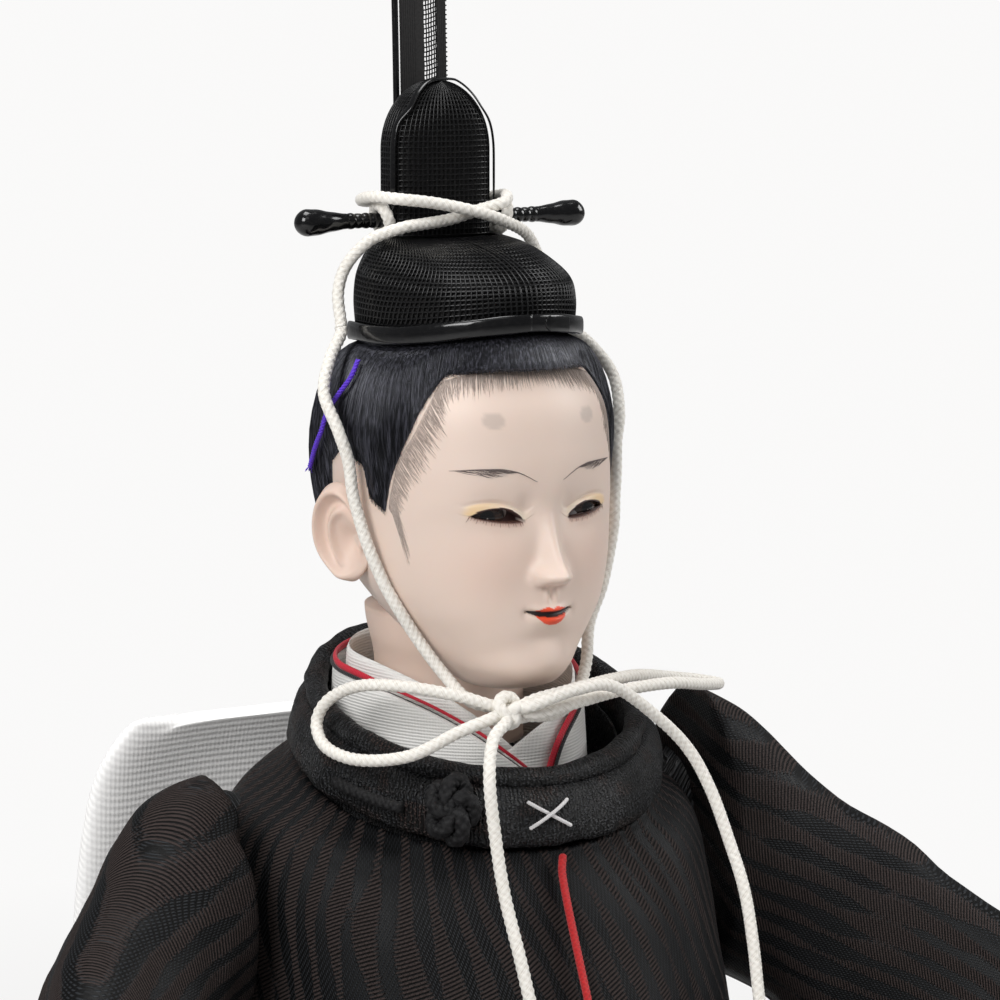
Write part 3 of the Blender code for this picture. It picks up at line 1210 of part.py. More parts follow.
def build_doll():
    """The whole doll from its board to its plume."""
    skin = make_material("gofun_skin", (0.87, 0.76, 0.68), 0.55)
    glass = make_material("eye_glass", (0.02, 0.015, 0.02), 0.08)
    silk_hair = make_material("hair_silk", (0.012, 0.012, 0.02), 0.4)
    gauze = make_material("cap_gauze", (0.014, 0.013, 0.013), 0.5)
    lacquer = make_material("black_lacquer", (0.008, 0.007, 0.007), 0.15)
    cord_white = make_material("white_cord", (0.83, 0.79, 0.70), 0.75)
    cord_purple = make_material("purple_cord", (0.09, 0.025, 0.5), 0.6)
    cord_red = make_material("red_cord", (0.55, 0.01, 0.012), 0.6)
    white = make_material("white_silk", (0.86, 0.85, 0.80), 0.8)
    brocade = make_material("black_brocade", (0.02, 0.019, 0.02), 0.7)
    black_cord = make_material("black_braid", (0.012, 0.012, 0.013), 0.6)
    lining_red = make_material("red_lining", (0.5, 0.02, 0.03), 0.8)
    straw = make_material("straw", (0.6, 0.47, 0.22), 0.9)
    wood = make_material("pale_wood", (0.62, 0.45, 0.27), 0.6)
    wire = make_material("iron_wire", (0.2, 0.2, 0.2), 0.5, 1.0)
    leather = make_material("belt_leather", (0.02, 0.018, 0.018), 0.35)
    brass = make_material("gilt_brass", (0.75, 0.53, 0.2), 0.3, 1.0)
    steel = make_material("blade_steel", (0.6, 0.6, 0.62), 0.25, 1.0)

    build_core(straw, wood, wire)
    build_head(skin, glass)
    build_hair(silk_hair)
    build_cap(gauze, lacquer)
    build_white_collars(white, lining_red)
    build_round_collar(black_cord, cord_white)
    build_robe(brocade, leather, cord_red)
    build_trousers(white)
    build_sleeves(brocade, white, lining_red, wire)
    build_hands(skin, wood, wire)
    build_train(white)
    build_sword(lacquer, brass, steel, cord_white, black_cord)
    build_chin_cord(cord_white)
    tube("hair_cord", even_points(routed(HAIR_CORD_ROUTE), 2.6 * HAIR_CORD), HAIR_CORD, cord_purple, 1)


remove_everything()
build_doll()
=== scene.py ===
# %% [markdown]
# # A seated court doll
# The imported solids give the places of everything. This script gives each of them its looks:
# a painted face, silk hair, a gauze cap, braided cords and a figured black robe.

# %% Frame
import math

import bmesh
import bpy
import numpy as np
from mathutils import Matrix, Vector
from mathutils.bvhtree import BVHTree


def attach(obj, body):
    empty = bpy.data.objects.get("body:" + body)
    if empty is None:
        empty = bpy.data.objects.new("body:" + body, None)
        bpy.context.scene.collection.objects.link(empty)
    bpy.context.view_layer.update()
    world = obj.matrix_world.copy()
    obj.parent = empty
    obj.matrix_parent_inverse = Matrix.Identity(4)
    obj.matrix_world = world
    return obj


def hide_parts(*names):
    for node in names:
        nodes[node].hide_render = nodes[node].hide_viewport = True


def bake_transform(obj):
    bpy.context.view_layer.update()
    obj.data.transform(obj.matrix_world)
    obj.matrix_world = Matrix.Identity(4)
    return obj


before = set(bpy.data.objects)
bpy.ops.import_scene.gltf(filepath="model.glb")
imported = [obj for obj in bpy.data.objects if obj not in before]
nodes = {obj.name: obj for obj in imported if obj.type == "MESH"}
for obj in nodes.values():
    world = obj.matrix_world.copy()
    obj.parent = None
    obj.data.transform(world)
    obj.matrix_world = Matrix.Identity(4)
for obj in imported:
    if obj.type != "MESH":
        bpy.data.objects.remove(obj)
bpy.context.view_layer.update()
MM = 0.001

# %% [markdown]
# The camera stands to the doll's right and a little above it, far off with a long lens, so that the
# head keeps its true proportions. The photograph's frame is square.

# %% Camera
CAMERA_PLACE = (-0.2557, -0.4995, 0.2663)
CAMERA_TILT, CAMERA_TURN = math.radians(81), math.radians(-28)
LENS_MM, SENSOR_MM, NEAREST = 120.96, 36, 0.01
camera = bpy.data.objects.new("camera", bpy.data.cameras.new("camera"))
bpy.context.scene.collection.objects.link(camera)
camera.location = CAMERA_PLACE
camera.rotation_euler = (CAMERA_TILT, 0, CAMERA_TURN)
camera.data.lens = LENS_MM
camera.data.sensor_width = SENSOR_MM
camera.data.clip_start = NEAREST
bpy.context.scene.camera = camera
print("camera:", tuple(round(v, 3) for v in camera.location), "lens", LENS_MM)

# %% [markdown]
# Every piece below does the same few things: it joins the scene, rides on a body, stands for packed
# solids, and gets a material built from nodes. These helpers say each of them once, so that the later
# cells show only what is special about their piece.

# %% Piece helpers
def add_object(name, data, material=None):
    """Put a new object in the scene, with its material where it has one."""
    item = bpy.data.objects.new(name, data)
    bpy.context.scene.collection.objects.link(item)
    if material is not None:
        data.materials.append(material)
    return item


def settle(item, body, slot, *solids):
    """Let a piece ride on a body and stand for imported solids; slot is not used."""
    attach(item, body)
    if solids:
        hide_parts(*solids)


def distance_along(points):
    """Distance along a line from its first point to each of its points."""
    return np.concatenate(([0], np.cumsum(np.linalg.norm(np.diff(points, axis=0), axis=1))))


def unit(vectors, least=0.0):
    """The same directions with length 1; least keeps a vector of no length from dividing by 0."""
    return vectors / (np.linalg.norm(vectors, axis=-1, keepdims=True) + least)


def turned(first, second, angle):
    """A pair of coordinates turned by an angle."""
    c, s = math.cos(angle), math.sin(angle)
    return first * c - second * s, first * s + second * c


def full_turn(count):
    """Even angles round a ring."""
    return 2 * np.pi * np.arange(count) / count


# %% Node helpers
def make_node(tree, kind, **values):
    """Add a node; names that are sockets get values, the others are settings."""
    item = tree.nodes.new(kind)
    for key, value in values.items():
        if key in item.inputs:
            item.inputs[key].default_value = value
        else:
            setattr(item, key, value)
    return item


def wire(tree, source, target):
    """Link two sockets."""
    tree.links.new(source, target)


def math_node(tree, operation, first, second=0.0, third=0.0):
    """Maths on two or three sockets or numbers; gives the result's socket."""
    item = tree.nodes.new("ShaderNodeMath")
    item.operation = operation
    for place, value in enumerate((first, second, third)):
        if isinstance(value, (int, float)):
            item.inputs[place].default_value = value
        else:
            tree.links.new(value, item.inputs[place])
    return item.outputs[0]


def principled(name, colour, roughness, **extra):
    """A material with its shader's constant sockets set."""
    material = bpy.data.materials.new(name)
    material.use_nodes = True
    tree = material.node_tree
    shader = tree.nodes["Principled BSDF"]
    shader.inputs["Base Color"].default_value = (*colour, 1.0)
    shader.inputs["Roughness"].default_value = roughness
    for key, value in extra.items():
        shader.inputs[key.replace("_", " ")].default_value = value
    return material, tree, shader


def colour_mix(tree, factor, first, second):
    """Blend two colours by a socket."""
    mix = tree.nodes.new("ShaderNodeMix")
    mix.data_type = "RGBA"
    if isinstance(factor, (int, float)):
        mix.inputs[0].default_value = factor
    else:
        tree.links.new(factor, mix.inputs[0])
    for place, value in ((6, first), (7, second)):
        if isinstance(value, (tuple, list)):
            mix.inputs[place].default_value = (*value, 1.0)
        else:
            tree.links.new(value, mix.inputs[place])
    return mix.outputs[2]


def bump(tree, shader, height, distance, strength=1.0):
    """Raise the surface by a height socket, in metres."""
    item = make_node(tree, "ShaderNodeBump", Strength=strength, Distance=distance)
    wire(tree, height, item.inputs["Height"])
    wire(tree, item.outputs[0], shader.inputs["Normal"])


def map_range(tree, value, *limits, smooth=False):
    """Read a socket between two limits as 0 to 1, or as the two numbers that follow them."""
    item = tree.nodes.new("ShaderNodeMapRange")
    item.interpolation_type = "SMOOTHSTEP" if smooth else "LINEAR"
    for place, limit in enumerate(limits, 1):
        item.inputs[place].default_value = limit
    wire(tree, value, item.inputs[0])
    return item.outputs[0]


def smooth_step(tree, value, low, high):
    """0 at the low limit, 1 at the high one and a smooth rise between them."""
    return map_range(tree, value, low, high, smooth=True)


def object_place(tree, stretch=None):
    """The shaded point in the object's own metres, squeezed along each axis by a stretch."""
    place = tree.nodes.new("ShaderNodeTexCoord").outputs["Object"]
    if stretch is None:
        return place
    mapping = make_node(tree, "ShaderNodeMapping", Scale=stretch)
    wire(tree, place, mapping.inputs["Vector"])
    return mapping.outputs[0]


def split_uv(tree):
    """Cloth coordinates: both together, then the one across and the one along."""
    place = make_node(tree, "ShaderNodeUVMap", uv_map="cloth")
    split = tree.nodes.new("ShaderNodeSeparateXYZ")
    wire(tree, place.outputs[0], split.inputs[0])
    return place.outputs[0], split.outputs[0], split.outputs[1]


def texture(tree, kind, place, **values):
    """A noise, Voronoi or wave texture read at a place."""
    item = make_node(tree, "ShaderNodeTex" + kind, **values)
    wire(tree, place, item.inputs["Vector"])
    return item


# %% [markdown]
# A studio for a small doll is a white sweep and a few large soft boxes. The floor and the world look
# white to the camera through the Light Path node, so the lamps can stay low enough that the pale
# face keeps its modelling.

# %% Studio
def soft_box(name, place, aim, size, power):
    """Area lamp that looks at a point."""
    lamp = add_object(name, bpy.data.lights.new(name, "AREA"))
    lamp.location = place
    lamp.rotation_euler = (Vector(aim) - Vector(place)).to_track_quat("-Z", "Y").to_euler()
    lamp.data.shape = "SQUARE"
    lamp.data.size = size
    lamp.data.energy = power


STUDIO_WHITE = (0.955, 0.95, 0.945, 1.0)
DAYLIGHT, DAYLIGHT_STRENGTH = (0.97, 0.98, 1.0, 1.0), 0.16
FLOOR_COLOUR, FLOOR_RADIUS, FLOOR_DROP = (0.62, 0.615, 0.61), 4.0, 0.0002
FLOOR_FADE = (0.14, 0.42, 0.68, 1.0)
LAMP_SIZE = 0.5
LAMPS = (
    ("left_box", (-0.80, -0.42, 0.72), (0, 0, 0.14), 8.6),
    ("right_box", (0.90, -0.30, 0.66), (0, 0, 0.16), 6.0),
    ("front_box", (-0.25, -0.75, 1.10), (0, 0, 0.16), 0.6),
    ("top_box", (-0.05, 0.10, 1.1), (0, 0, 0.18), 5.2),
)


def white_to_camera(tree, shader_socket, output, share=1.0, glow="ShaderNodeEmission"):
    """Mix a shader with plain white for what the camera sees, also through clear things."""
    path = tree.nodes.new("ShaderNodeLightPath")
    seen = math_node(tree, "MAXIMUM", path.outputs["Is Camera Ray"], path.outputs["Is Transmission Ray"])
    white = make_node(tree, glow, Color=STUDIO_WHITE, Strength=1.0)
    mix = tree.nodes.new("ShaderNodeMixShader")
    wire(tree, math_node(tree, "MULTIPLY", seen, share), mix.inputs[0])
    wire(tree, shader_socket, mix.inputs[1])
    wire(tree, white.outputs[0], mix.inputs[2])
    wire(tree, mix.outputs[0], output)


world = bpy.data.worlds.new("studio")
bpy.context.scene.world = world
world.use_nodes = True
sky = world.node_tree.nodes["Background"]
sky.inputs[0].default_value = DAYLIGHT
sky.inputs[1].default_value = DAYLIGHT_STRENGTH
white_to_camera(world.node_tree, sky.outputs[0], world.node_tree.nodes["World Output"].inputs[0],
                glow="ShaderNodeBackground")
for name, place, aim, power in LAMPS:
    soft_box(name, place, aim, LAMP_SIZE, power)
bpy.context.scene.view_settings.view_transform = "Standard"

# %% Floor
bm = bmesh.new()
bmesh.ops.create_circle(bm, cap_ends=True, segments=96, radius=FLOOR_RADIUS)
floor_mesh = bpy.data.meshes.new("floor")
bm.to_mesh(floor_mesh)
bm.free()
floor_material, tree, shader = principled("floor_white", FLOOR_COLOUR, 0.8)
floor = add_object("floor", floor_mesh, floor_material)
floor.location.z = -FLOOR_DROP
reach = make_node(tree, "ShaderNodeVectorMath", operation="LENGTH")
wire(tree, object_place(tree), reach.inputs[0])
white_to_camera(tree, shader.outputs[0], tree.nodes["Material Output"].inputs[0],
                map_range(tree, reach.outputs["Value"], *FLOOR_FADE))
print("studio: floor, world and", len(LAMPS), "soft boxes")

# %% [markdown]
# ## The chin cord
# A round cord braided from eight silk strands holds the cap on: it is wound over the crest, runs down
# both cheeks and is tied in a bow. A tube whose skin is pushed in and out by the braid's own rule
# keeps every strand visible and still costs few faces, where eight separate strands would not.


# %% Paths
def smooth_path(route, step, scale=MM):
    """Even points along a Catmull-Rom curve through a route."""
    knots = np.array(route, float) * scale
    padded = np.vstack((2 * knots[0] - knots[1], knots, 2 * knots[-1] - knots[-2]))
    fine = []
    for k in range(len(knots) - 1):
        a, b, c, d = padded[k:k + 4]
        t = np.linspace(0, 1, 24, endpoint=False)[:, None]
        fine.append(0.5 * (2 * b + (c - a) * t + (2 * a - 5 * b + 4 * c - d) * t ** 2
                           + (3 * b - a - 3 * c + d) * t ** 3))
    fine = np.vstack(fine + [knots[-1:]])
    reach = distance_along(fine)
    count = max(3, round(reach[-1] / step)) + 1
    places = np.linspace(0, reach[-1], count)
    return np.stack([np.interp(places, reach, fine[:, i]) for i in range(3)], axis=1)


def path_length(points):
    """Whole length of a line."""
    return float(np.linalg.norm(np.diff(points, axis=0), axis=1).sum())


def path_frames(points):
    """Two unit vectors across the path at each point, carried along it without twist."""
    along = np.gradient(points, axis=0)
    along = unit(along)
    side = np.cross(along[0], (0.31, 0.2, 0.93))
    sides = []
    for way in along:
        side = side - way * side.dot(way)
        side = side / np.linalg.norm(side)
        sides.append(side)
    sides = np.array(sides)
    return sides, np.cross(along, sides), along


def grid_uv(mesh, uv, rows, columns):
    """Cloth coordinates of a grid: a list for its columns and one for its rows, or one value a point."""
    us, vs = uv
    loops = np.empty(len(mesh.loops), np.int64)
    mesh.loops.foreach_get("vertex_index", loops)
    inside = loops < rows * columns
    row = np.where(inside, loops // columns, 0)
    column = np.where(inside, loops % columns, 0)
    coords = np.zeros((len(loops), 2))
    coords[:, 0] = us[column] if us.ndim == 1 else us[row, column]
    coords[:, 1] = vs[row] if vs.ndim == 1 else vs[row, column]
    if us.ndim == 1:  # the last faces round the ring end a whole turn on, not back at the start
        corners = np.arange((rows - 1) * columns * 4).reshape(-1, columns, 4)
        coords[corners[:, -1, 1:3].reshape(-1), 0] = us[-1] + (us[1] - us[0])
    mesh.uv_layers.new(name="cloth").data.foreach_set("uv", coords.reshape(-1))


def grid_mesh(name, points, material, uv=None, smooth=True):
    """Closed piece from a grid of points: rows along it, columns round it and a fan on each end."""
    rows, columns = points.shape[:2]
    flat = points.reshape(-1, 3)
    r = np.arange(rows - 1)[:, None] * columns
    c = np.arange(columns)[None, :]
    n = (c + 1) % columns
    faces = np.stack((r + c, r + n, r + columns + n, r + columns + c), axis=2).reshape(-1, 4).tolist()
    base = (rows - 1) * columns
    for k in range(columns):
        m = (k + 1) % columns
        faces.append((m, k, len(flat)))
        faces.append((base + k, base + m, len(flat) + 1))
    ends = [list(points[end].mean(axis=0)) for end in (0, -1)]
    mesh = bpy.data.meshes.new(name)
    mesh.from_pydata(flat.tolist() + ends, [], faces)
    if uv is not None:
        grid_uv(mesh, uv, rows, columns)
    finish_mesh(mesh, smooth)
    return add_object(name, mesh, material)


def finish_mesh(mesh, smooth=True):
    """Faces out, and smooth shading."""
    bm = bmesh.new()
    bm.from_mesh(mesh)
    bmesh.ops.recalc_face_normals(bm, faces=bm.faces)
    bm.to_mesh(mesh)
    bm.free()
    mesh.validate()
    if smooth:
        mesh.shade_smooth()


# %% Braid
def braid_height(around, along, strands, pitch):
    """Height from 0 to 1 of a round braid; around in turns, along in metres."""
    a = around * strands / 2 + along / pitch
    b = around * strands / 2 - along / pitch
    fa, fb = a - np.floor(a), b - np.floor(b)
    over = (np.floor(a) + np.floor(b)) % 2 < 1
    across = np.where(over, fa, fb)
    length = np.where(over, fb, fa)
    return np.sin(math.pi * across) ** 0.6 * (0.62 + 0.38 * np.sin(math.pi * length))


def braided_cord(name, route, diameter, material, strands=8, step=0.22 * MM, relief=0.16, tapers=(True, True)):
    """Braided round cord along a route in millimetres; gives the object and its path in metres."""
    points = smooth_path(route, step)
    sides, ups, along = path_frames(points)
    count = strands * 3
    turns = np.arange(count) / count
    reach = distance_along(points)
    height = braid_height(turns[None, :], reach[:, None], strands, diameter * 0.62)
    radius = diameter / 2 * (1 - relief + relief * 1.35 * height)
    for taper, near in zip(tapers, (reach, reach[-1] - reach)):
        if taper:
            radius = radius * (0.55 + 0.45 * np.sqrt(np.clip(near / (diameter * 0.3), 0, 1)))[:, None]
    angle = 2 * math.pi * turns
    ring = (np.cos(angle)[None, :, None] * sides[:, None, :] + np.sin(angle)[None, :, None] * ups[:, None, :])
    grid = points[:, None, :] + ring * radius[:, :, None]
    item = grid_mesh(name, grid, material, uv=(turns, reach / diameter))
    return item, points


# %% Cord finishes
def braid_silk(name, light, dark, sheen=0.3, thread=34.0):
    """Silk braid: fine thread lines along UV; hollow places, read from pointiness, take the second colour as painted
    shade, and noise mottles it.
    """
    material, tree, shader = principled(name, light, 0.62, Sheen_Weight=sheen, Sheen_Roughness=0.4)
    _, around, along = split_uv(tree)
    lines, other = (math_node(tree, "SINE", math_node(tree, "MULTIPLY_ADD", around, thread * 6.28,
                                                      math_node(tree, "MULTIPLY", along, lean)))
                    for lean in (9.0, -9.0))
    threads = math_node(tree, "MULTIPLY", math_node(tree, "ADD", lines, other), 0.5)
    noise = texture(tree, "Noise", object_place(tree), Scale=900.0, Detail=3.0)
    spread = math_node(tree, "MULTIPLY_ADD", noise.outputs[0], 0.5, math_node(tree, "MULTIPLY", threads, 0.12))
    # Painted shade: where the braid's surface is hollow, its colour turns to the dark one.
    pointy = tree.nodes.new("ShaderNodeNewGeometry").outputs["Pointiness"]
    shade = colour_mix(tree, map_range(tree, pointy, 0.44, 0.53), dark, light)
    mottle_and_crease_shade = colour_mix(tree, math_node(tree, "MULTIPLY", spread, 0.35), shade, dark)
    wire(tree, mottle_and_crease_shade, shader.inputs["Base Color"])
    bump(tree, shader, threads, 0.00004, 0.6)
    return material


# The second colour of each braid is the painted shade in its hollows; the noise mottling uses it too.
cord_white = braid_silk("white_braid", (0.94, 0.91, 0.85), (0.60, 0.54, 0.45))
cord_red = braid_silk("red_braid", (0.62, 0.012, 0.014), (0.17, 0.002, 0.004), 0.15)
cord_purple = braid_silk("purple_twist", (0.11, 0.03, 0.62), (0.02, 0.004, 0.14), 0.15)
print("cord finishes: white, red, purple")

# %% Chin cord routes, as the solids have them, in millimetres
CHIN_CORD = 2 * MM
CAP_WRAP_ROUTE = (
    (-20.3, -1.0, 208.8), (-19.9, 0.8, 213.5), (-18.0, 1.4, 217.9), (-14.6, -0.6, 222.0),
    (-10.3, -3.4, 224.0), (-6.1, -3.2, 224.5), (-0.8, -2.2, 225.0), (4.5, -2.4, 226.4),
    (9.6, -1.8, 227.5), (12.2, 2.6, 228.4), (11.6, 9.0, 227.6), (7.4, 15.0, 227.0), (0.4, 17.0, 226.8),
    (-7.4, 15.0, 227.2), (-11.6, 9.0, 228.0), (-12.2, 3.2, 228.8), (-9.6, -1.9, 228.6),
    (-3.6, -3.6, 227.8), (3.4, -4.9, 226.2), (9.0, -3.6, 224.4), (14.6, -0.6, 222.0),
    (18.0, 1.4, 217.9), (19.9, 0.8, 213.5), (20.3, -1.0, 208.8),
)
CHEEK_RIGHT_ROUTE = (
    (-20.8, -2.0, 206.8), (-24.4, -5.4, 203.2), (-27.0, -8.6, 198.2), (-26.2, -12.2, 192.4),
    (-25.0, -13.4, 187.5), (-24.6, -14.0, 182.6), (-23.9, -14.8, 178.6), (-22.9, -16.2, 173.8),
    (-21.0, -17.6, 168.2), (-19.0, -19.0, 163.8), (-15.9, -20.4, 158.3), (-13.3, -23.8, 153.4),
    (-11.6, -29.6, 149.8),
)
CHEEK_LEFT_ROUTE = tuple((-x, y, z) for x, y, z in CHEEK_RIGHT_ROUTE[:-2]) + (
    (13.4, -23.8, 152.4), (8.5, -29.2, 148.4), (3.0, -32.8, 146.8), (-2.2, -33.6, 147.0))
BOW_LOOP_RIGHT_ROUTE = (
    (-10.9, -32.6, 149.9), (-14.6, -30.6, 151.1), (-21.4, -25.0, 152.2), (-25.8, -18.0, 151.3),
    (-28.6, -12.6, 148.2), (-30.2, -11.6, 144.3), (-30.8, -16.6, 141.4), (-28.4, -24.0, 140.6),
    (-22.9, -31.2, 142.2), (-16.2, -34.6, 145.9), (-11.6, -35.2, 147.4),
)
BOW_LOOP_LEFT_ROUTE = (
    (-1.9, -34.8, 150.0), (3.6, -34.3, 150.6), (9.0, -32.0, 150.6), (15.4, -28.9, 150.4),
    (24.4, -22.8, 149.1), (34.5, -15.4, 146.4), (42.0, -12.4, 144.6), (44.6, -15.2, 144.2),
    (38.0, -21.0, 145.8), (27.6, -27.0, 148.2), (15.4, -31.6, 149.0), (6.0, -35.0, 148.8),
    (-1.9, -36.0, 147.9),
)
TAIL_LEFT_ROUTE = (
    (-3.4, -37.4, 149.8), (3.6, -38.0, 151.6), (11.4, -36.0, 151.0), (20.1, -34.4, 145.2),
    (26.7, -34.4, 138.8), (29.9, -36.6, 131.9), (31.5, -40.0, 123.8), (32.1, -44.0, 116.2),
    (31.8, -47.4, 108.0), (31.0, -51.0, 98.6), (30.4, -55.6, 88.0), (29.9, -60.8, 77.6),
    (29.6, -66.6, 69.4),
)
TAIL_RIGHT_ROUTE = (
    (-8.3, -36.2, 147.0), (-11.8, -38.4, 144.9), (-14.2, -41.8, 139.4), (-14.2, -43.8, 130.5),
    (-13.9, -46.4, 121.6), (-13.3, -50.6, 112.0), (-12.7, -54.6, 102.0), (-12.3, -59.0, 91.6),
    (-12.1, -64.6, 80.6), (-12.0, -72.6, 70.4),
)
HAIR_CORD_ROUTE = (
    (-21.4, -9.8, 203.4), (-22.9, -10.2, 200.8), (-24.4, -8.2, 197.6), (-24.9, -5.4, 194.8),
    (-25.2, -3.6, 191.4), (-24.9, -0.6, 188.4), (-24.0, 3.6, 184.4),
)
KNOT_PLACE = (-6.3, -33.8, 148.3)

# %% Chin cord
KNOT_REACH, KNOT_SHARE = 9, 0.72
RIM_MEETING = np.array((20.55, -1.5, 207.8))


def met_route(route):
    """The route with its ends run on into the knot, or to where two cords meet under the cap's rim."""
    route = [np.array(place, float) for place in route]
    knot = np.array(KNOT_PLACE)
    for place in (0, -1):
        end = route[place]
        if np.linalg.norm(end - knot) < KNOT_REACH:
            extra = end + (knot - end) * KNOT_SHARE
        elif abs(end[0]) > 20 and 206 < end[2] < 209.5:
            extra = RIM_MEETING * (math.copysign(1, end[0]), 1, 1)
            extra[2] += 0.1 * (RIM_MEETING[2] - end[2])
        else:
            continue
        route.insert(0 if place == 0 else len(route), extra)
    return route


for node, route, far_end, lay, body in (
        ("cap_cord_wrap", CAP_WRAP_ROUTE, "object", "taut", "head"),
        ("cheek_cord_right", CHEEK_RIGHT_ROUTE, "object", "taut", "blend"),
        ("cheek_cord_left", CHEEK_LEFT_ROUTE, "object", "taut", "blend"),
        ("bow_loop_right", BOW_LOOP_RIGHT_ROUTE, "object", "loose", "torso"),
        ("bow_loop_left", BOW_LOOP_LEFT_ROUTE, "object", "loose", "torso"),
        ("cord_tail_right", TAIL_RIGHT_ROUTE, "knot", "hanging", "torso"),
        ("cord_tail_left", TAIL_LEFT_ROUTE, "knot", "hanging", "torso")):
    free_end = node.startswith("cord_tail")
    item, points = braided_cord("braid_" + node, met_route(route), CHIN_CORD, cord_white, tapers=(False, free_end))
    if body == "blend":
        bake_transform(item)
    else:
        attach(item, body)
    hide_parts(node)
    print(node, round(path_length(points) / MM, 1), "mm", len(item.data.polygons), "faces")

# %% [markdown]
# ## The head
# The head of such a doll is pressed from paste, coated with shell white and polished to a soft matte
# skin, and the glass eyes sit behind slits cut in it. Here the skull is a form of stacked rows.
# Its rings are moved to the edges of the eyelids first, so that the lids end in a crisp line, and
# then nose, lips and lids are pushed out of it by short rules.

# %% Head form
HEAD_CENTRE = np.array((0, -9.0, 179.0))
HEAD_SIZES = (22.5, 26.0, 32.5, 37.0, 29.3)
HEAD_ROWS = np.array((
    (0.04, 0.99, 0.18, 0.12, 0.99, 0.22, 0.99),
    (0.31, 0.93, 0.39, 0.12, 0.92, 0.44, 0.88),
    (0.55, 0.80, 0.60, 0.12, 0.76, 0.65, 0.70),
    (0.745, 0.67, 0.83, 0.12, 0.62, 0.86, 0.54),
    (0.91, 0.50, 0.98, 0.12, 0.43, 0.985, 0.35),
    (0.975, 0.30, 1.00, 0.10, 0.22, 1.00, 0.13),
    (0.99, 0.13, 0.99, 0.06, 0.05, 0.97, -0.07),
    (0.97, 0.01, 0.97, 0.00, -0.10, 0.91, -0.27),
    (0.975, -0.15, 0.93, -0.08, -0.27, 0.815, -0.44),
    (0.995, -0.32, 0.86, -0.17, -0.43, 0.72, -0.55),
    (1.01, -0.48, 0.765, -0.26, -0.56, 0.57, -0.67),
    (1.00, -0.60, 0.66, -0.29, -0.68, 0.37, -0.75),
    (0.96, -0.71, 0.57, -0.31, -0.79, 0.15, -0.84),
    (0.94, -0.83, 0.46, -0.365, -0.89, -0.05, -0.905),
    (0.83, -0.94, 0.32, -0.46, -0.97, -0.22, -0.96),
    (0.67, -0.99, 0.09, -0.58, -1.00, -0.40, -0.99),
))


def smooth_rows(rows, count):
    """Rows read from a Catmull-Rom curve through the given rows."""
    last = len(rows) - 1
    place = np.linspace(0, last, count)
    k = np.minimum(place.astype(int), last - 1)
    t = (place - k)[:, None]
    a, b, c, d = (rows[np.clip(k + step, 0, last)] for step in (-1, 0, 1, 2))
    return 0.5 * (2 * b + (c - a) * t + (2 * a - 5 * b + 4 * c - d) * t ** 2 + (3 * b - a - 3 * c + d) * t ** 3)


def form_points(shares, sizes, angles, count):
    """Grid of points of a form of rows, in millimetres about its centre: rows by angles."""
    half_width, front, back, up, down = sizes
    rows = shares.astype(float).copy()
    for column in (1, 4, 6):
        rows[:, column] = np.where(rows[:, column] >= 0, rows[:, column] * up, rows[:, column] * down)
    rows[:, (0, 3)] *= front
    rows[:, 2] *= half_width
    rows[:, 5] *= back
    rows = smooth_rows(rows, count)
    fd, fh, hw, sd, sh, bd, bh = (rows[:, i:i + 1] for i in range(7))
    ahead = np.cos(angles)[None, :]
    x = hw * np.sin(angles)[None, :]
    y = np.where(ahead >= 0, sd - (fd + sd) * ahead, sd - (bd - sd) * ahead)
    z = sh + (np.where(ahead >= 0, fh, bh) - sh) * ahead ** 2
    return np.stack((x, y, z), axis=2)


def level_form(shares, sizes, angles, levels):
    """The same form cut at level rings: levels is one list, or one column of levels for each angle."""
    dense = form_points(shares, sizes, angles, 700)
    levels = np.broadcast_to(levels.reshape(len(levels), -1), (len(levels), len(angles)))
    result = np.empty((len(levels), len(angles), 3))
    for j in range(len(angles)):
        falling = np.minimum.accumulate(dense[:, j, 2]) - np.arange(len(dense)) * 1e-7
        for axis in range(2):
            result[:, j, axis] = np.interp(-levels[:, j], -falling, dense[:, j, axis])
        result[:, j, 2] = levels[:, j]
    return result


def crowded(count, crowding):
    """Angles round a ring, closer together in front."""
    steps = full_turn(count)
    return steps - crowding * np.sin(steps)


# %% Face rules
FACE_SHIFT = 0.7
EYE_INNER, EYE_OUTER = 4.2, 12.3
LID_REFS = np.array((6.0, 2.9, 1.3, -0.35, -4.0))


def hump(value, middle, width):
    """Soft bump of height 1 round a middle."""
    return np.exp(-((value - middle) / width) ** 2)


def eye_share(x):
    """0 at the inner corner of the eye and 1 at the outer one."""
    return (np.abs(x - FACE_SHIFT) - EYE_INNER) / (EYE_OUTER - EYE_INNER)


def lid_lines(x):
    """Heights of crease, upper edge and lower edge, and how far the slit is open."""
    s = eye_share(x)
    c = np.clip(s, 0, 1)
    base = -0.15 + 0.95 * c
    upper = 1.75 * np.sin(np.pi * c ** 0.85) ** 0.8
    lower = 0.42 * np.sin(np.pi * c) ** 0.8
    opening = upper + lower
    outside = np.clip(np.maximum(-s, s - 1) * (EYE_OUTER - EYE_INNER) / 2.5, 0, 1)
    relax = outside ** 2 * (3 - 2 * outside)
    edge_up = base + np.maximum(upper, 0.07)
    edge_low = base - np.maximum(lower, 0.07)
    crease = base + 1.15 + 1.5 * np.sin(np.pi * np.clip((s + 0.12) / 1.3, 0, 1)) ** 0.8
    mixes = [line + (ref - line) * relax for line, ref in
             ((crease, LID_REFS[1]), (edge_up, LID_REFS[2]), (edge_low, LID_REFS[3]))]
    return mixes + [opening * (1 - relax)]


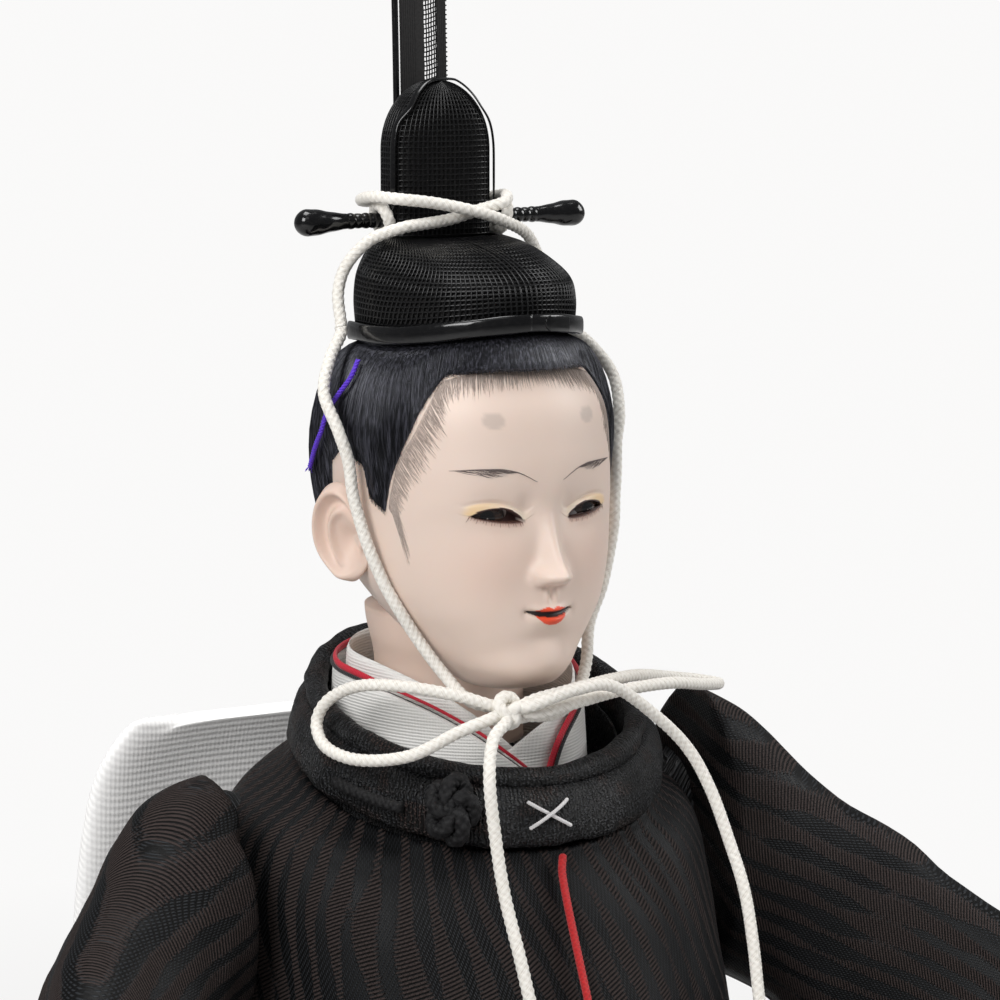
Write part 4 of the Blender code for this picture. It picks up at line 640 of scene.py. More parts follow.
def move_levels(levels, x):
    """Levels moved so that the marked rings follow the lids, one column for each x."""
    crease, up, low, _ = lid_lines(x)
    result = np.repeat(levels[:, None], len(x), axis=1)
    for j in range(len(x)):
        targets = np.array((LID_REFS[0], crease[j], up[j], low[j], LID_REFS[4]))
        inside = (levels <= LID_REFS[0]) & (levels >= LID_REFS[4])
        result[inside, j] = np.interp(-levels[inside], -LID_REFS, targets)
    return result


def nose_relief(x, z):
    """Straight narrow bridge, ball, wings and nostrils."""
    fall = np.clip((3.5 - z) / 12.0, 0, None)
    ridge = np.where(fall <= 1, 5.1 * np.clip(fall, 0, 1) ** 1.55,
                     5.1 * np.clip(1 - ((fall - 1) / 0.2) ** 2, 0, 1))
    half = 1.25 + 0.75 * np.clip(fall, 0, 1.1) ** 2
    bridge = ridge * np.exp(-np.abs(x / half) ** 2.1)
    ball = 0.7 * hump(x, 0, 1.7) * hump(z, -8.3, 1.5)
    wings = 2.0 * (hump(x, -2.35, 1.1) + hump(x, 2.35, 1.1)) * hump(z, -8.9, 1.45)
    nostrils = -0.9 * (hump(x, -1.35, 0.6) + hump(x, 1.35, 0.6)) * hump(z, -10.35, 0.45)
    return bridge + ball + wings + nostrils


MOUTH_LEVEL, MOUTH_HALF = -15.25, 3.9


def mouth_line(x):
    """Middle height and half opening of the mouth."""
    s = np.clip(np.abs(x) / MOUTH_HALF, 0, 1)
    return MOUTH_LEVEL + 0.5 * s ** 2, 0.44 * (1 - s ** 4) ** 0.5


def lip_edges(x):
    """Heights of the upper and lower outline of the painted lips."""
    s = np.clip(np.abs(x) / 2.9, 0, 1)
    middle, half = mouth_line(x)
    upper = middle + half + 0.95 * (1 - s ** 1.6) * (1 - 0.42 * hump(x, 0, 0.55))
    lower = middle - half - 1.35 * (1 - s ** 2) ** 0.9
    return upper, lower


def face_relief(x, z):
    """How far the face stands out of the plain form, in millimetres."""
    x = x - FACE_SHIFT
    middle, half = mouth_line(x)
    upper, lower = lip_edges(x)
    out = nose_relief(x, z)
    out = out + 1.15 * hump(x, 0, 4.4) * hump(z, -15.0, 4.6) - 1.1 * hump(x, 0, 13) * hump(z, -16.0, 7.5)
    out = out + 0.55 * hump(x, 0, 2.9) * hump(z, middle + 0.75, 0.62)
    out = out + 0.75 * hump(x, 0, 2.7) * hump(z, middle - 1.0, 0.85)
    gape = np.clip(1 - np.abs(z - middle) / (half + 0.25), 0, 1)
    out = out - 0.75 * gape ** 0.7 * (np.abs(x) < MOUTH_HALF + 0.4)
    corners = hump(x, MOUTH_HALF + 0.3, 0.8) + hump(x, -MOUTH_HALF - 0.3, 0.8)
    out = out - 0.4 * corners * hump(z, MOUTH_LEVEL + 0.3, 1.1)
    out = out - 0.45 * hump(x, 0, 0.55) * hump(z, -12.2, 1.1)
    out = out + 0.2 * (hump(x, 0.95, 0.4) + hump(x, -0.95, 0.4)) * hump(z, -12.3, 1.1)
    out = out - 0.8 * hump(x, 0, 3.4) * hump(z, -19.2, 1.5) + 0.9 * hump(x, 0, 5.5) * hump(z, -24.0, 3.6)
    side = np.abs(x)
    out = out - 1.0 * hump(side, 7.6, 4.2) * hump(z, 1.6, 3.3) - 0.8 * hump(side, 3.6, 1.8) * hump(z, 1.5, 3.2)
    out = out + 0.55 * hump(side, 9.0, 5.0) * hump(z, -6.5, 4.5)
    return out


def lid_relief(x, z):
    """Bulge of the lids over the eye, the crease, and the slit itself."""
    s = eye_share(x)
    crease, up, low, opening = lid_lines(x)
    near = np.clip(1.25 - np.abs(s - 0.5) * 1.7, 0, 1)
    lid = 0.62 * near * np.clip((crease - z) / 0.35, 0, 1) * (z <= crease) * (z >= up - 0.001)
    lid = lid * np.clip((crease - z) / np.maximum(crease - up, 0.05), 0.35, 1) ** 0.5
    under = 0.55 * near * hump(z, low, 1.3) * (z < up)
    groove = -0.42 * near * hump(z, crease + 0.05, 0.28)
    inside = (z < up - 0.02) & (z > low + 0.02)
    cut = -2.0 * np.clip(opening / 0.5, 0, 1) * inside
    return lid + under + groove + cut


# %% Head grid
face_levels = np.concatenate((
    np.linspace(36.5, 15.0, 34), np.linspace(15.0, 6.0, 24)[1:], np.linspace(6.0, 2.9, 12)[1:],
    np.linspace(2.9, 1.3, 9)[1:], (1.24,), np.linspace(1.15, -0.2, 7), (-0.29, -0.35),
    np.linspace(-0.35, -4.0, 15)[1:], np.linspace(-4.0, -12.0, 36)[1:], np.linspace(-12.0, -18.5, 42)[1:],
    np.linspace(-18.5, -28.9, 34)[1:]))
head_angles = crowded(260, 0.56)


def skin_grid(levels, angles):
    """The head's skin in millimetres in the frame, with face and lids."""
    columns = level_form(HEAD_ROWS, HEAD_SIZES, angles, np.array((0.8,)))[0, :, 0]
    front = np.cos(angles) > 0.05
    moved = np.repeat(levels[:, None], len(angles), axis=1)
    moved[:, front] = move_levels(levels, columns[front])
    grid = level_form(HEAD_ROWS, HEAD_SIZES, angles, moved)
    weight = np.clip(np.cos(angles) * 1.6, 0, 1)[None, :]
    across = np.repeat(columns[None, :], len(levels), axis=0)
    push = face_relief(grid[:, :, 0], grid[:, :, 2])
    push = push + lid_relief(across, grid[:, :, 2])
    grid[:, :, 1] -= push * weight
    return grid + HEAD_CENTRE


head_grid = skin_grid(face_levels, head_angles)
print("head grid:", head_grid.shape)

# %% [markdown]
# ## The painted head
# The real head is pressed wood or plaster under many coats of white shell powder, rubbed smooth, so
# it is matt with a soft gleam and has no pores. The paint is a colour kept on each point of the skin.
# It follows the same rules as the relief, so lips, lids and brows sit where their forms are.

# %% Skin paint
SKIN = np.array((0.74, 0.595, 0.51))
LIP_RED = np.array((0.80, 0.075, 0.022))
LID_CREAM = np.array((0.90, 0.78, 0.62))
LID_GOLD = np.array((0.80, 0.53, 0.24))
RIM_DARK = np.array((0.035, 0.010, 0.008))
SHADE_GREY = np.array((0.36, 0.30, 0.27))
CHEEK_ROSE = np.array((0.74, 0.48, 0.38))
NOSTRIL_ROSE = np.array((0.62, 0.36, 0.27))
LASH_BROWN = np.array((0.30, 0.12, 0.08))
MOUTH_DARK = np.array((0.012, 0.006, 0.006))
BROW_LINE = np.array((
    (2.4, 6.2), (3.2, 6.75), (4.0, 7.2), (5.6, 8.0), (8.0, 8.5), (11.0, 8.45), (13.0, 8.3), (15.0, 8.1)))
BROW_FOOT = np.array(((5.4, 7.95), (6.5, 7.75), (8.0, 7.3), (9.7, 7.1), (11.5, 7.5), (13.0, 8.05), (15.0, 8.1)))


def ramp(value, low, high):
    """0 below low, 1 above high and a smooth rise between them."""
    t = np.clip((value - low) / (high - low), 0, 1)
    return t * t * (3 - 2 * t)


def skin_colours(x, z, ahead):
    """Painted colour of each skin point from its place on the face."""
    colour = np.ones(x.shape + (3,)) * SKIN

    def lay(weight, paint):
        colour[:] = colour + (paint - colour) * np.clip(weight, 0, 1)[..., None]

    face = (ahead > 0.1).astype(float)
    side = x - FACE_SHIFT
    lay(0.30 * hump(np.abs(side), 9.5, 6.0) * hump(z, -7.0, 7.0) * face, CHEEK_ROSE)
    crease, up, low, opening = lid_lines(x)
    s = eye_share(x)
    across = ramp(s, -0.25, 0.05) * ramp(-s, -1.16, -0.98)
    lid = ramp(z, up - 0.05, up + 0.1) * ramp(-z, -crease - 0.1, -crease + 0.25) * across * face
    lay(lid * 0.60, LID_CREAM)
    lay(lid * ramp(s, 0.20, 0.9) * 0.62, LID_GOLD)
    lay(hump(z, up + 0.35, 0.5) * ramp(s, 0.85, 1.0) * ramp(-s, -1.20, -1.05) * face * 0.45, LID_GOLD)
    edge = np.clip(opening / 0.7, 0, 1) * face
    slit = (z < up + 0.22) & (z > low - 0.20) & (s > -0.04) & (s < 1.04)
    lay(slit * face * np.clip(opening / 0.4, 0.35, 1), RIM_DARK)
    lay(0.35 * edge * hump(z, low - 0.35, 0.3), LASH_BROWN)
    middle, half = mouth_line(side)
    upper, lower = lip_edges(side)
    lips = (z < upper) & (z > lower) & (np.abs(side) < 2.95)
    lay(lips * face, LIP_RED)
    dark = (np.abs(z - middle) < half) & (np.abs(side) < MOUTH_HALF)
    lay(dark * face, MOUTH_DARK)
    dots = ramp(-((np.abs(side) - 8.7) / 1.75) ** 2 - ((z - 16.1) / 1.35) ** 2, -1.25, -0.55)
    lay(0.42 * dots * face, SHADE_GREY)
    away = np.abs(side)
    brow_top = np.interp(away, BROW_LINE[:, 0], BROW_LINE[:, 1])
    brow_foot = np.interp(away, BROW_FOOT[:, 0], BROW_FOOT[:, 1])
    wedge = ramp(z, brow_foot - 0.1, brow_foot + 0.2) * ramp(-z, -brow_top - 0.05, -brow_top + 0.2)
    lay(0.40 * wedge * ramp(away, 5.4, 6.6) * ramp(-away, -14.0, -12.5) * face, SHADE_GREY * 0.8)
    under_nose = hump(side, 0, 2.6) * ramp(-z, 10.0, 10.7) * hump(z, -10.4, 0.8)
    lay(0.30 * under_nose * face, NOSTRIL_ROSE)
    return colour


def paint_object(item, colours):
    """Keep one colour for each vertex."""
    layer = item.data.attributes.new("paint", "FLOAT_COLOR", "POINT")
    data = np.ones((len(item.data.vertices), 4))
    data[:len(colours), :3] = colours
    data[len(colours):, :3] = colours[-1]
    layer.data.foreach_set("color", data.reshape(-1))


def show_paint(tree, shader, value):
    """Base colour from the kept paint, its lightness moved by a socket."""
    paint = make_node(tree, "ShaderNodeAttribute", attribute_name="paint")
    hue = tree.nodes.new("ShaderNodeHueSaturation")
    wire(tree, value, hue.inputs["Value"])
    wire(tree, paint.outputs["Color"], hue.inputs["Color"])
    wire(tree, hue.outputs[0], shader.inputs["Base Color"])


def skin_material():
    """Rubbed shell powder: matt, with a weak wide gleam and faint brush mottling."""
    material, tree, shader = principled(
        "shell_powder_skin", SKIN, 0.52, Coat_Weight=0.06, Coat_Roughness=0.38, Sheen_Weight=0.06,
        Sheen_Roughness=0.5, Subsurface_Weight=0.12, Subsurface_Radius=(0.0030, 0.0014, 0.0008),
        Subsurface_Scale=0.5)
    place = object_place(tree)
    cloud = texture(tree, "Noise", place, Scale=70.0, Detail=4.0)
    grain = texture(tree, "Noise", place, Scale=1700.0, Detail=2.0)
    show_paint(tree, shader, math_node(tree, "MULTIPLY_ADD", cloud.outputs[0], 0.05, 0.975))
    bump(tree, shader, grain.outputs[0], 0.00002, 0.35)
    return material


shell_skin = skin_material()
print("skin paint ready")

# %% [markdown]
# The ears are pressed with the real head. Here each is a grid of rings with its own relief, because a
# ring of the head can't fold over an ear's rim. The neck is a plain stem that goes down into the collars.

# %% Head skin, ears and neck
EAR_DEEP, EAR_HIGH = 5.7, 9.0
EAR_FLARE, EAR_LEAN = math.radians(24), math.radians(9)
EAR_OUT, EAR_BACK, EAR_DROP = 22.9, 1.4, 4.6
EAR_TINT, NECK_TINT = np.array((1.0, 0.95, 0.93)), np.array((1.0, 0.96, 0.94))
NECK_RADIUS, NECK_FLARE = 12.7, 1.6


def ear_grid(side):
    """One ear as a grid from its middle over the rim to the root behind, in millimetres."""
    turn = full_turn(120)
    reach = np.concatenate((np.linspace(0.02, 1.0, 34), np.linspace(1.0, 0.45, 12)[1:]))
    back = np.arange(len(reach)) >= 34
    a, r = np.meshgrid(turn, reach)
    long = np.where(np.cos(a) > 0, 1.0, 0.98 + 0.1 * np.cos(a))
    y = EAR_DEEP * r * np.sin(a) * (1.0 - 0.22 * np.clip(-np.cos(a), 0, 1) ** 2) * (1 + 0.10 * np.sin(a))
    z = EAR_HIGH * r * np.cos(a) * long
    u = y / EAR_DEEP
    w = z / EAR_HIGH
    rim = np.exp(-((r - 0.86) / 0.12) ** 2) * ramp(u * 1.2 + w * 0.9, -1.1, -0.2)
    bowl = np.exp(-((u + 0.18) / 0.40) ** 2 - ((w + 0.12) / 0.34) ** 2)
    scapha = np.exp(-((r - 0.62) / 0.10) ** 2) * ramp(w + 0.5 * u, -0.5, 0.3)
    inner = np.exp(-((np.hypot(u + 0.10, (w + 0.05) * 0.95) - 0.50) / 0.09) ** 2)
    inner = inner * ramp(u + 0.2 * w, -0.25, 0.25)
    tragus = np.exp(-((u + 0.62) / 0.14) ** 2 - ((w + 0.16) / 0.13) ** 2)
    lobe = np.exp(-((w + 0.80) / 0.20) ** 2 - ((u + 0.02) / 0.5) ** 2)
    dome = np.sqrt(np.clip(1 - r ** 2, 0, 1))
    out = 1.5 * rim - 1.9 * bowl - 0.5 * scapha + 0.9 * inner + 0.9 * tragus + 0.7 * lobe
    out = out * np.clip((1.03 - r) / 0.10, 0, 1) + 0.9 * dome
    out = np.where(back[:, None], -1.6 * dome ** 0.6 - 0.1, out)
    x, y = turned(out, y, -EAR_FLARE)
    x, z = turned(x, z, -EAR_LEAN)
    return np.stack((side * (EAR_OUT + x), EAR_BACK + y, z - EAR_DROP), axis=2) + HEAD_CENTRE


head_flat = head_grid - HEAD_CENTRE
head_ahead = np.broadcast_to(np.cos(head_angles)[None, :], head_grid.shape[:2])
head_item = grid_mesh("painted_head", head_grid * MM, shell_skin)
paint_object(head_item, skin_colours(head_flat[..., 0], head_flat[..., 2], head_ahead).reshape(-1, 3))
head_parts = [head_item]
for side, label in ((-1, "right"), (1, "left")):
    ear = grid_mesh("painted_ear_" + label, ear_grid(side) * MM, shell_skin)
    paint_object(ear, np.ones((len(ear.data.vertices), 3)) * SKIN * EAR_TINT)
    head_parts.append(ear)
levels = np.linspace(137.0, 160.0, 24)
radii = NECK_RADIUS + NECK_FLARE * ramp(levels, 150.0, 160.0)
turns = full_turn(96)
neck_grid = np.stack((radii[:, None] * np.cos(turns), radii[:, None] * np.sin(turns),
                      np.broadcast_to(levels[:, None], (24, 96))), axis=2)
neck = grid_mesh("painted_neck", neck_grid * MM, shell_skin)
paint_object(neck, np.ones((len(neck.data.vertices), 3)) * SKIN * NECK_TINT)
head_parts.append(neck)
for item in head_parts:
    settle(item, "head", "skin", "head")
print("head pieces:", len(head_parts), "faces", sum(len(item.data.polygons) for item in head_parts))

# %% [markdown]
# A real glass eye is a blown bead, painted in rings and set from behind. Here it is a dome whose points
# carry the rings' colours. It stands just behind the skin, where a ray through the slit meets it.

# %% Glass eyes
EYE_APART, EYE_LEVEL, EYE_RADIUS, EYE_TURN = 8.25, 0.35, 6.2, math.radians(16)
EYE_PROBE = 0.0035
EYE_WHITE = np.array((0.42, 0.36, 0.33))
IRIS_BROWN = np.array((0.050, 0.028, 0.020))
PUPIL_BLACK = np.array((0.004, 0.004, 0.005))
VIEW_Y = -0.1


def glass_eye(label, side):
    """Dark glass eye behind the slit, its colour in rings round the pupil."""
    across = side * EYE_APART + FACE_SHIFT
    probe = Vector((across * MM, VIEW_Y, HEAD_CENTRE[2] * MM + EYE_PROBE))
    ahead = face_tree.ray_cast(probe, Vector((0, 1, 0)))[0]
    centre = np.array((across * 0.93, ahead[1] / MM + 1.35 + EYE_RADIUS, HEAD_CENTRE[2] + EYE_LEVEL))
    p, t = np.meshgrid(np.linspace(0.0, 1.25, 46)[1:], full_turn(64), indexing="ij")
    x, y = turned(EYE_RADIUS * np.sin(p) * np.cos(t), -EYE_RADIUS * np.cos(p), side * EYE_TURN)
    grid = np.stack((x, y, EYE_RADIUS * np.sin(p) * np.sin(t)), axis=2)
    item = grid_mesh("glass_eye_" + label, (grid + centre) * MM, eye_glass)
    arc = EYE_RADIUS * p
    streak = 0.75 + 0.25 * np.sin(t * 23 + 3 * np.sin(t * 7))
    shade = np.ones(p.shape + (3,)) * EYE_WHITE
    shade = shade + (IRIS_BROWN * streak[..., None] * 1.5 - shade) * ramp(-arc, -3.1, -2.85)[..., None]
    shade = shade + (IRIS_BROWN * 0.25 - shade) * hump(arc, 2.85, 0.25)[..., None]
    shade = shade + (PUPIL_BLACK - shade) * ramp(-arc, -1.35, -1.15)[..., None]
    paint_object(item, shade.reshape(-1, 3))
    settle(item, "head", "eye_glass", "eye_" + label)
    return item


def eye_material():
    """Painted glass under a clear wet-looking face."""
    material, tree, shader = principled("eye_glass", (0.05, 0.03, 0.02), 0.12, Coat_Weight=1.0,
                                        Coat_Roughness=0.02)
    noise = texture(tree, "Noise", object_place(tree), Scale=900.0, Detail=3.0)
    show_paint(tree, shader, math_node(tree, "MULTIPLY_ADD", noise.outputs[0], 0.5, 0.75))
    return material


eye_glass = eye_material()
skin_mesh = head_item.data
face_tree = BVHTree.FromPolygons([v.co for v in skin_mesh.vertices],
                                 [tuple(p.vertices) for p in skin_mesh.polygons])
eyes = [glass_eye(label, side) for side, label in ((-1, "right"), (1, "left"))]
print("glass eyes:", [item.name for item in eyes])

# %% [markdown]
# Brows, lashes and the fine hairs of the hairline are single strokes of a thin brush. Each stroke here
# is a very thin tapered tube laid on the skin, so it keeps a sharp edge at any distance. A painted
# colour on the skin's points would blur it.

# %% Stroke tools
STROKE_SIDES = 3
STROKE_LEAN = np.array((0.12, 0.35, 0.93))


def strokes_mesh(name, lines, widths, material):
    """Many short tapered strokes as one mesh: lines is strokes by points, widths the same in metres."""
    count, steps = lines.shape[:2]
    sides = STROKE_SIDES
    along = unit(np.gradient(lines, axis=1), 1e-12)
    aside = unit(np.cross(along, np.broadcast_to(STROKE_LEAN, along.shape)), 1e-12)
    above = np.cross(aside, along)
    turn = full_turn(sides)
    ring = np.cos(turn)[:, None] * aside[:, :, None, :] + np.sin(turn)[:, None] * above[:, :, None, :]
    verts = (lines[:, :, None, :] + ring * (widths / 2)[:, :, None, None]).reshape(-1, 3)
    base = (np.arange(count)[:, None, None] * steps + np.arange(steps - 1)[None, :, None]) * sides
    k = np.arange(sides)[None, None, :]
    n = (k + 1) % sides
    quads = np.stack((base + k, base + n, base + sides + n, base + sides + k), axis=3).reshape(-1, 4)
    first = np.arange(count)[:, None] * steps * sides
    rim = np.arange(sides)
    caps = np.concatenate((first + rim[::-1][None, :], first + (steps - 1) * sides + rim[None, :]))
    loops = np.concatenate((quads.reshape(-1), caps.reshape(-1)))
    starts = np.concatenate((np.arange(len(quads)) * 4, len(quads) * 4 + np.arange(len(caps)) * sides))
    mesh = bpy.data.meshes.new(name)
    mesh.vertices.add(len(verts))
    mesh.vertices.foreach_set("co", verts.reshape(-1))
    mesh.loops.add(len(loops))
    mesh.loops.foreach_set("vertex_index", loops.astype(np.int32))
    mesh.polygons.add(len(starts))
    mesh.polygons.foreach_set("loop_start", starts.astype(np.int32))
    mesh.update(calc_edges=True)
    mesh.validate()
    mesh.shade_smooth()
    return add_object(name, mesh, material)


def on_skin(x, z, lift=0.03):
    """Point on the face straight behind a place on the picture plane, in metres."""
    level = HEAD_CENTRE[2] * MM + z * MM
    hit, normal, _, _ = face_tree.ray_cast(Vector((x * MM, VIEW_Y, level)), Vector((0, 1, 0)))
    if hit is None:
        hit, normal, _, _ = face_tree.find_nearest(Vector((x * MM, -0.03, level)))
    return np.array(hit + normal * (lift * MM))


def near_skin(point, lift=0.02):
    """Nearest skin point to a place about the head's centre, in metres."""
    hit, normal, _, _ = face_tree.find_nearest(Vector((np.array(point) + HEAD_CENTRE) * MM))
    return np.array(hit + normal * (lift * MM))


def fine_material(name, colour, roughness=0.8):
    """Thin paint, a little uneven along the stroke."""
    material, tree, shader = principled(name, colour, roughness)
    noise = texture(tree, "Noise", object_place(tree), Scale=2400.0, Detail=2.0)
    paler = tuple(min(1.0, v * 2.2 + 0.03) for v in colour)
    wire(tree, colour_mix(tree, math_node(tree, "MULTIPLY", noise.outputs[0], 0.5), colour, paler),
         shader.inputs["Base Color"])
    return material


# %% Brows and lashes
BROW_WIDTH, BROW_HAIR_WIDTH, LASH_WIDTH = 0.26 * MM, 0.09 * MM, 0.13 * MM
BROW_HAIRS, LASHES = 46, 21
rng = np.random.default_rng(7)
brow_paint = fine_material("brow_ink", (0.11, 0.085, 0.078))
lash_paint = fine_material("lash_ink", (0.13, 0.055, 0.035))
brows = []
for side in (-1, 1):
    xs = np.linspace(2.4, 15.0, 46)
    zs = np.interp(xs, BROW_LINE[:, 0], BROW_LINE[:, 1])
    zs = np.convolve(np.pad(zs, 4, mode="edge"), np.hanning(11)[1:-1] / np.hanning(11).sum(), mode="valid")
    brows.append(np.array([on_skin(FACE_SHIFT + side * x, z) for x, z in zip(xs, zs)]))
taper = np.sin(np.pi * np.linspace(0.04, 0.97, 46)) ** 0.7
brow_lines = strokes_mesh("brow_lines", np.array(brows), np.tile(BROW_WIDTH * taper, (2, 1)), brow_paint)
hairs = []
for side in (-1, 1):
    for _ in range(BROW_HAIRS):
        x = rng.uniform(5.4, 12.6)
        top = np.interp(x, BROW_LINE[:, 0], BROW_LINE[:, 1])
        foot = np.interp(x, BROW_FOOT[:, 0], BROW_FOOT[:, 1])
        z = top + (foot - top) * rng.uniform(0.0, 1.0)
        run = rng.uniform(1.4, 3.2)
        xs = x + np.linspace(0, run, 8)
        tops = np.interp(xs, BROW_LINE[:, 0], BROW_LINE[:, 1])
        zs = np.minimum(z + (tops - z) * np.linspace(0, 1, 8) ** 1.6, tops)
        hairs.append([on_skin(FACE_SHIFT + side * a, b) for a, b in zip(xs, zs)])
taper = np.sin(np.pi * np.linspace(0.1, 0.95, 8))
brow_hairs = strokes_mesh("brow_strokes", np.array(hairs), np.tile(BROW_HAIR_WIDTH * taper, (len(hairs), 1)),
                          brow_paint)
lashes = []
for side in (-1, 1):
    for k, s in enumerate(np.linspace(0.04, 1.02, LASHES)):
        x = EYE_INNER + (EYE_OUTER - EYE_INNER) * s
        low = lid_lines(np.array((FACE_SHIFT + side * x,)))[2][0]
        drop = 0.62 + 0.25 * math.sin(k * 2.3)
        lean = (s - 0.45) * 0.75 + rng.uniform(-0.07, 0.07)
        lashes.append([on_skin(FACE_SHIFT + side * (x + lean * drop * q), low + 0.05 - drop * q, 0.06)
                       for q in np.linspace(0, 1, 6)])
lower_lashes = strokes_mesh("lower_lashes", np.array(lashes),
                            np.tile(LASH_WIDTH * np.linspace(1, 0.25, 6), (len(lashes), 1)), lash_paint)
print("brow and lash strokes:", len(brows) + len(hairs) + len(lashes))

# %% Hairline strokes
HAIRLINE = np.array((
    (11.6, -14.3, 24.3), (6.5, -18.1, 24.5), (0, -19.9, 24.2), (-5.2, -19.4, 23.6), (-9.6, -17.5, 22.9),
    (-12.4, -15.8, 22.0), (-13.4, -15.1, 21.6), (-14.5, -15, 20.3), (-16.1, -15, 17.5), (-17.75, -14, 13.5),
    (-18.8, -12.5, 10.6), (-19.4, -11.5, 8.9), (-19.9, -10.7, 5.9), (-20.2, -9.9, 2.6), (-20.3, -9.6, 0.7)))
FOREHEAD_WAY, TEMPLE_WAY = np.array((-0.10, -0.25, -1.0)), np.array((0.55, -0.62, -0.95))
HAIRLINE_WIDTH, HAIRLINE_STROKES, SIDEBURN_STROKES = 0.13 * MM, 520, 26
edge_path = smooth_path(HAIRLINE, 0.2, 1.0)
half_edge = edge_path[int(np.argmin(np.abs(edge_path[:, 0]))):]
steps = np.linspace(0, 1, 7)
band = []
widths = []


def lay_stroke(side, points, taper):
    """Keep one stroke of the doll's right side, or its mirror on the left."""
    line = []
    for point in points:
        if side > 0:
            point[0] = -point[0]
        line.append(near_skin(point))
    band.append(line)
    widths.append(HAIRLINE_WIDTH * taper)


for side in (-1, 1):
    for spot in np.linspace(0, len(half_edge) - 1, HAIRLINE_STROKES).astype(int):
        share = spot / (len(half_edge) - 1)
        mix = ramp(share, 0.30, 0.55)
        way = FOREHEAD_WAY * (1 - mix) + TEMPLE_WAY * mix
        way = way + rng.normal(0, 0.07, 3)
        length = (3.5 + 0.9 * rng.uniform(-1, 1)) * (1 - 0.35 * ramp(share, 0.72, 1.0))
        base = half_edge[spot] + np.array((0, 0, 0.5))
        lay_stroke(side, [base + way * length * q + np.array((0.10, 0, 0)) * q * q for q in steps],
                   1 - steps ** 1.5 * 0.85)
for side in (-1, 1):
    for _ in range(SIDEBURN_STROKES):
        start = np.array((-20.2 + 0.9 * rng.uniform(), -10.0 - 0.9 * rng.uniform(), 3.2 - 2.5 * rng.uniform()))
        length = rng.uniform(5.0, 9.5)
        lay_stroke(side, [start + np.array((1.6 * q + 0.6 * q * q, -2.0 * q, -length * q)) for q in steps],
                   1 - steps ** 1.3 * 0.9)
band_paint = fine_material("hairline_ink", (0.30, 0.245, 0.215))
hairline = strokes_mesh("hairline_strokes", np.array(band), np.array(widths), band_paint)
for item in (brow_lines, brow_hairs, lower_lashes, hairline):
    settle(item, "head", "skin")
print("hairline strokes:", len(band))

# %% [markdown]
# ## Cloth pieces
# The sewn pieces are padded silk. Each starts as a smooth copy of its packed form, which is closed and
# in place. Waves and small creases are then pressed into it, and the weave is drawn by the material on
# cloth coordinates in metres, so that every thread has its real size wherever it lies.

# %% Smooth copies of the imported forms
def world_mesh(node):
    """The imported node's mesh in the frame, merged and with its triangles joined in fours."""
    source = nodes[node]
    bm = bmesh.new()
    bm.from_mesh(source.data)
    bm.transform(source.matrix_world)
    bmesh.ops.remove_doubles(bm, verts=bm.verts, dist=0.00001)
    bmesh.ops.join_triangles(bm, faces=bm.faces, cmp_seam=False, cmp_sharp=False, cmp_uvs=False,
                             cmp_vcols=False, cmp_materials=False,
                             angle_face_threshold=math.radians(35), angle_shape_threshold=math.radians(70))
    return bm


def smooth_copy(node, name, material, levels=2, relief=None, mapping=None):
    """A subdivided copy of a packed form, pushed along its normals by relief, with cloth coordinates."""
    bm = world_mesh(node)
    mesh = bpy.data.meshes.new(name + "_cage")
    bm.to_mesh(mesh)
    bm.free()
    item = add_object(name, mesh)
    modifier = item.modifiers.new("smooth", "SUBSURF")
    modifier.levels = levels
    modifier.render_levels = levels
    deps = bpy.context.evaluated_depsgraph_get()
    done = bpy.data.meshes.new_from_object(item.evaluated_get(deps))
    item.modifiers.clear()
    item.data = done
    done.name = name
    count = len(done.vertices)
    places = np.empty(count * 3)
    done.vertices.foreach_get("co", places)
    places = places.reshape(-1, 3)
    if relief is not None:
        normals = np.empty(count * 3)
        done.vertices.foreach_get("normal", normals)
        places = places + normals.reshape(-1, 3) * relief(places)[:, None]
        done.vertices.foreach_set("co", places.reshape(-1))
    if mapping is not None:
        cloth_uv(done, mapping(places))
    finish_mesh(done)
    done.materials.clear()
    done.materials.append(material)
    return item


def cloth_uv(mesh, coords):
    """Give each corner its cloth coordinates; where a period comes with them, the jump behind is closed."""
    coords, period = coords if isinstance(coords, tuple) else (coords, None)
    loops = np.empty(len(mesh.loops), np.int64)
    mesh.loops.foreach_get("vertex_index", loops)
    uv = coords[loops].copy()
    if period:
        starts = np.empty(len(mesh.polygons), np.int64)
        totals = np.empty(len(mesh.polygons), np.int64)
        mesh.polygons.foreach_get("loop_start", starts)
        mesh.polygons.foreach_get("loop_total", totals)
        order = np.argsort(starts)
        owner = np.repeat(order, totals[order])
        top = np.full(len(totals), -1e9)
        np.maximum.at(top, owner, uv[:, 0])
        uv[top[owner] - uv[:, 0] > period / 2, 0] += period
    mesh.uv_layers.new(name="cloth").data.foreach_set("uv", uv.reshape(-1))


def ripple(places, scale, seed):
    """Smooth irregular waves from -1 to 1, from a few crossed sines."""
    draw = np.random.default_rng(seed)
    total = np.zeros(len(places))
    for _ in range(7):
        way = draw.normal(size=3)
        way *= draw.uniform(0.6, 1.5) / np.linalg.norm(way) / scale
        total += np.sin(places @ way * 2 * math.pi + draw.uniform(0, 6.28))
    return total / 3.6


# %% [markdown]
# The robe's silk is woven in two faces: dark satin and bands of brown floats. Two sine waves on the cloth coordinates
# draw the bands and their ribs, and noise frays the bands' edges. The satin's thread tops are painted light grey as
# glints, and the floats are painted almost black between their ribs as shade. The other silks are ribbed, with one
# wave for the rib and one for the thread that binds it, and painted shade in the grooves between the ribs.

# %% Silks
BAND_PITCH, RIB_PITCH, TWILL_PITCH, STITCH_PITCH = 0.0046, 0.00060, 0.00040, 0.0011


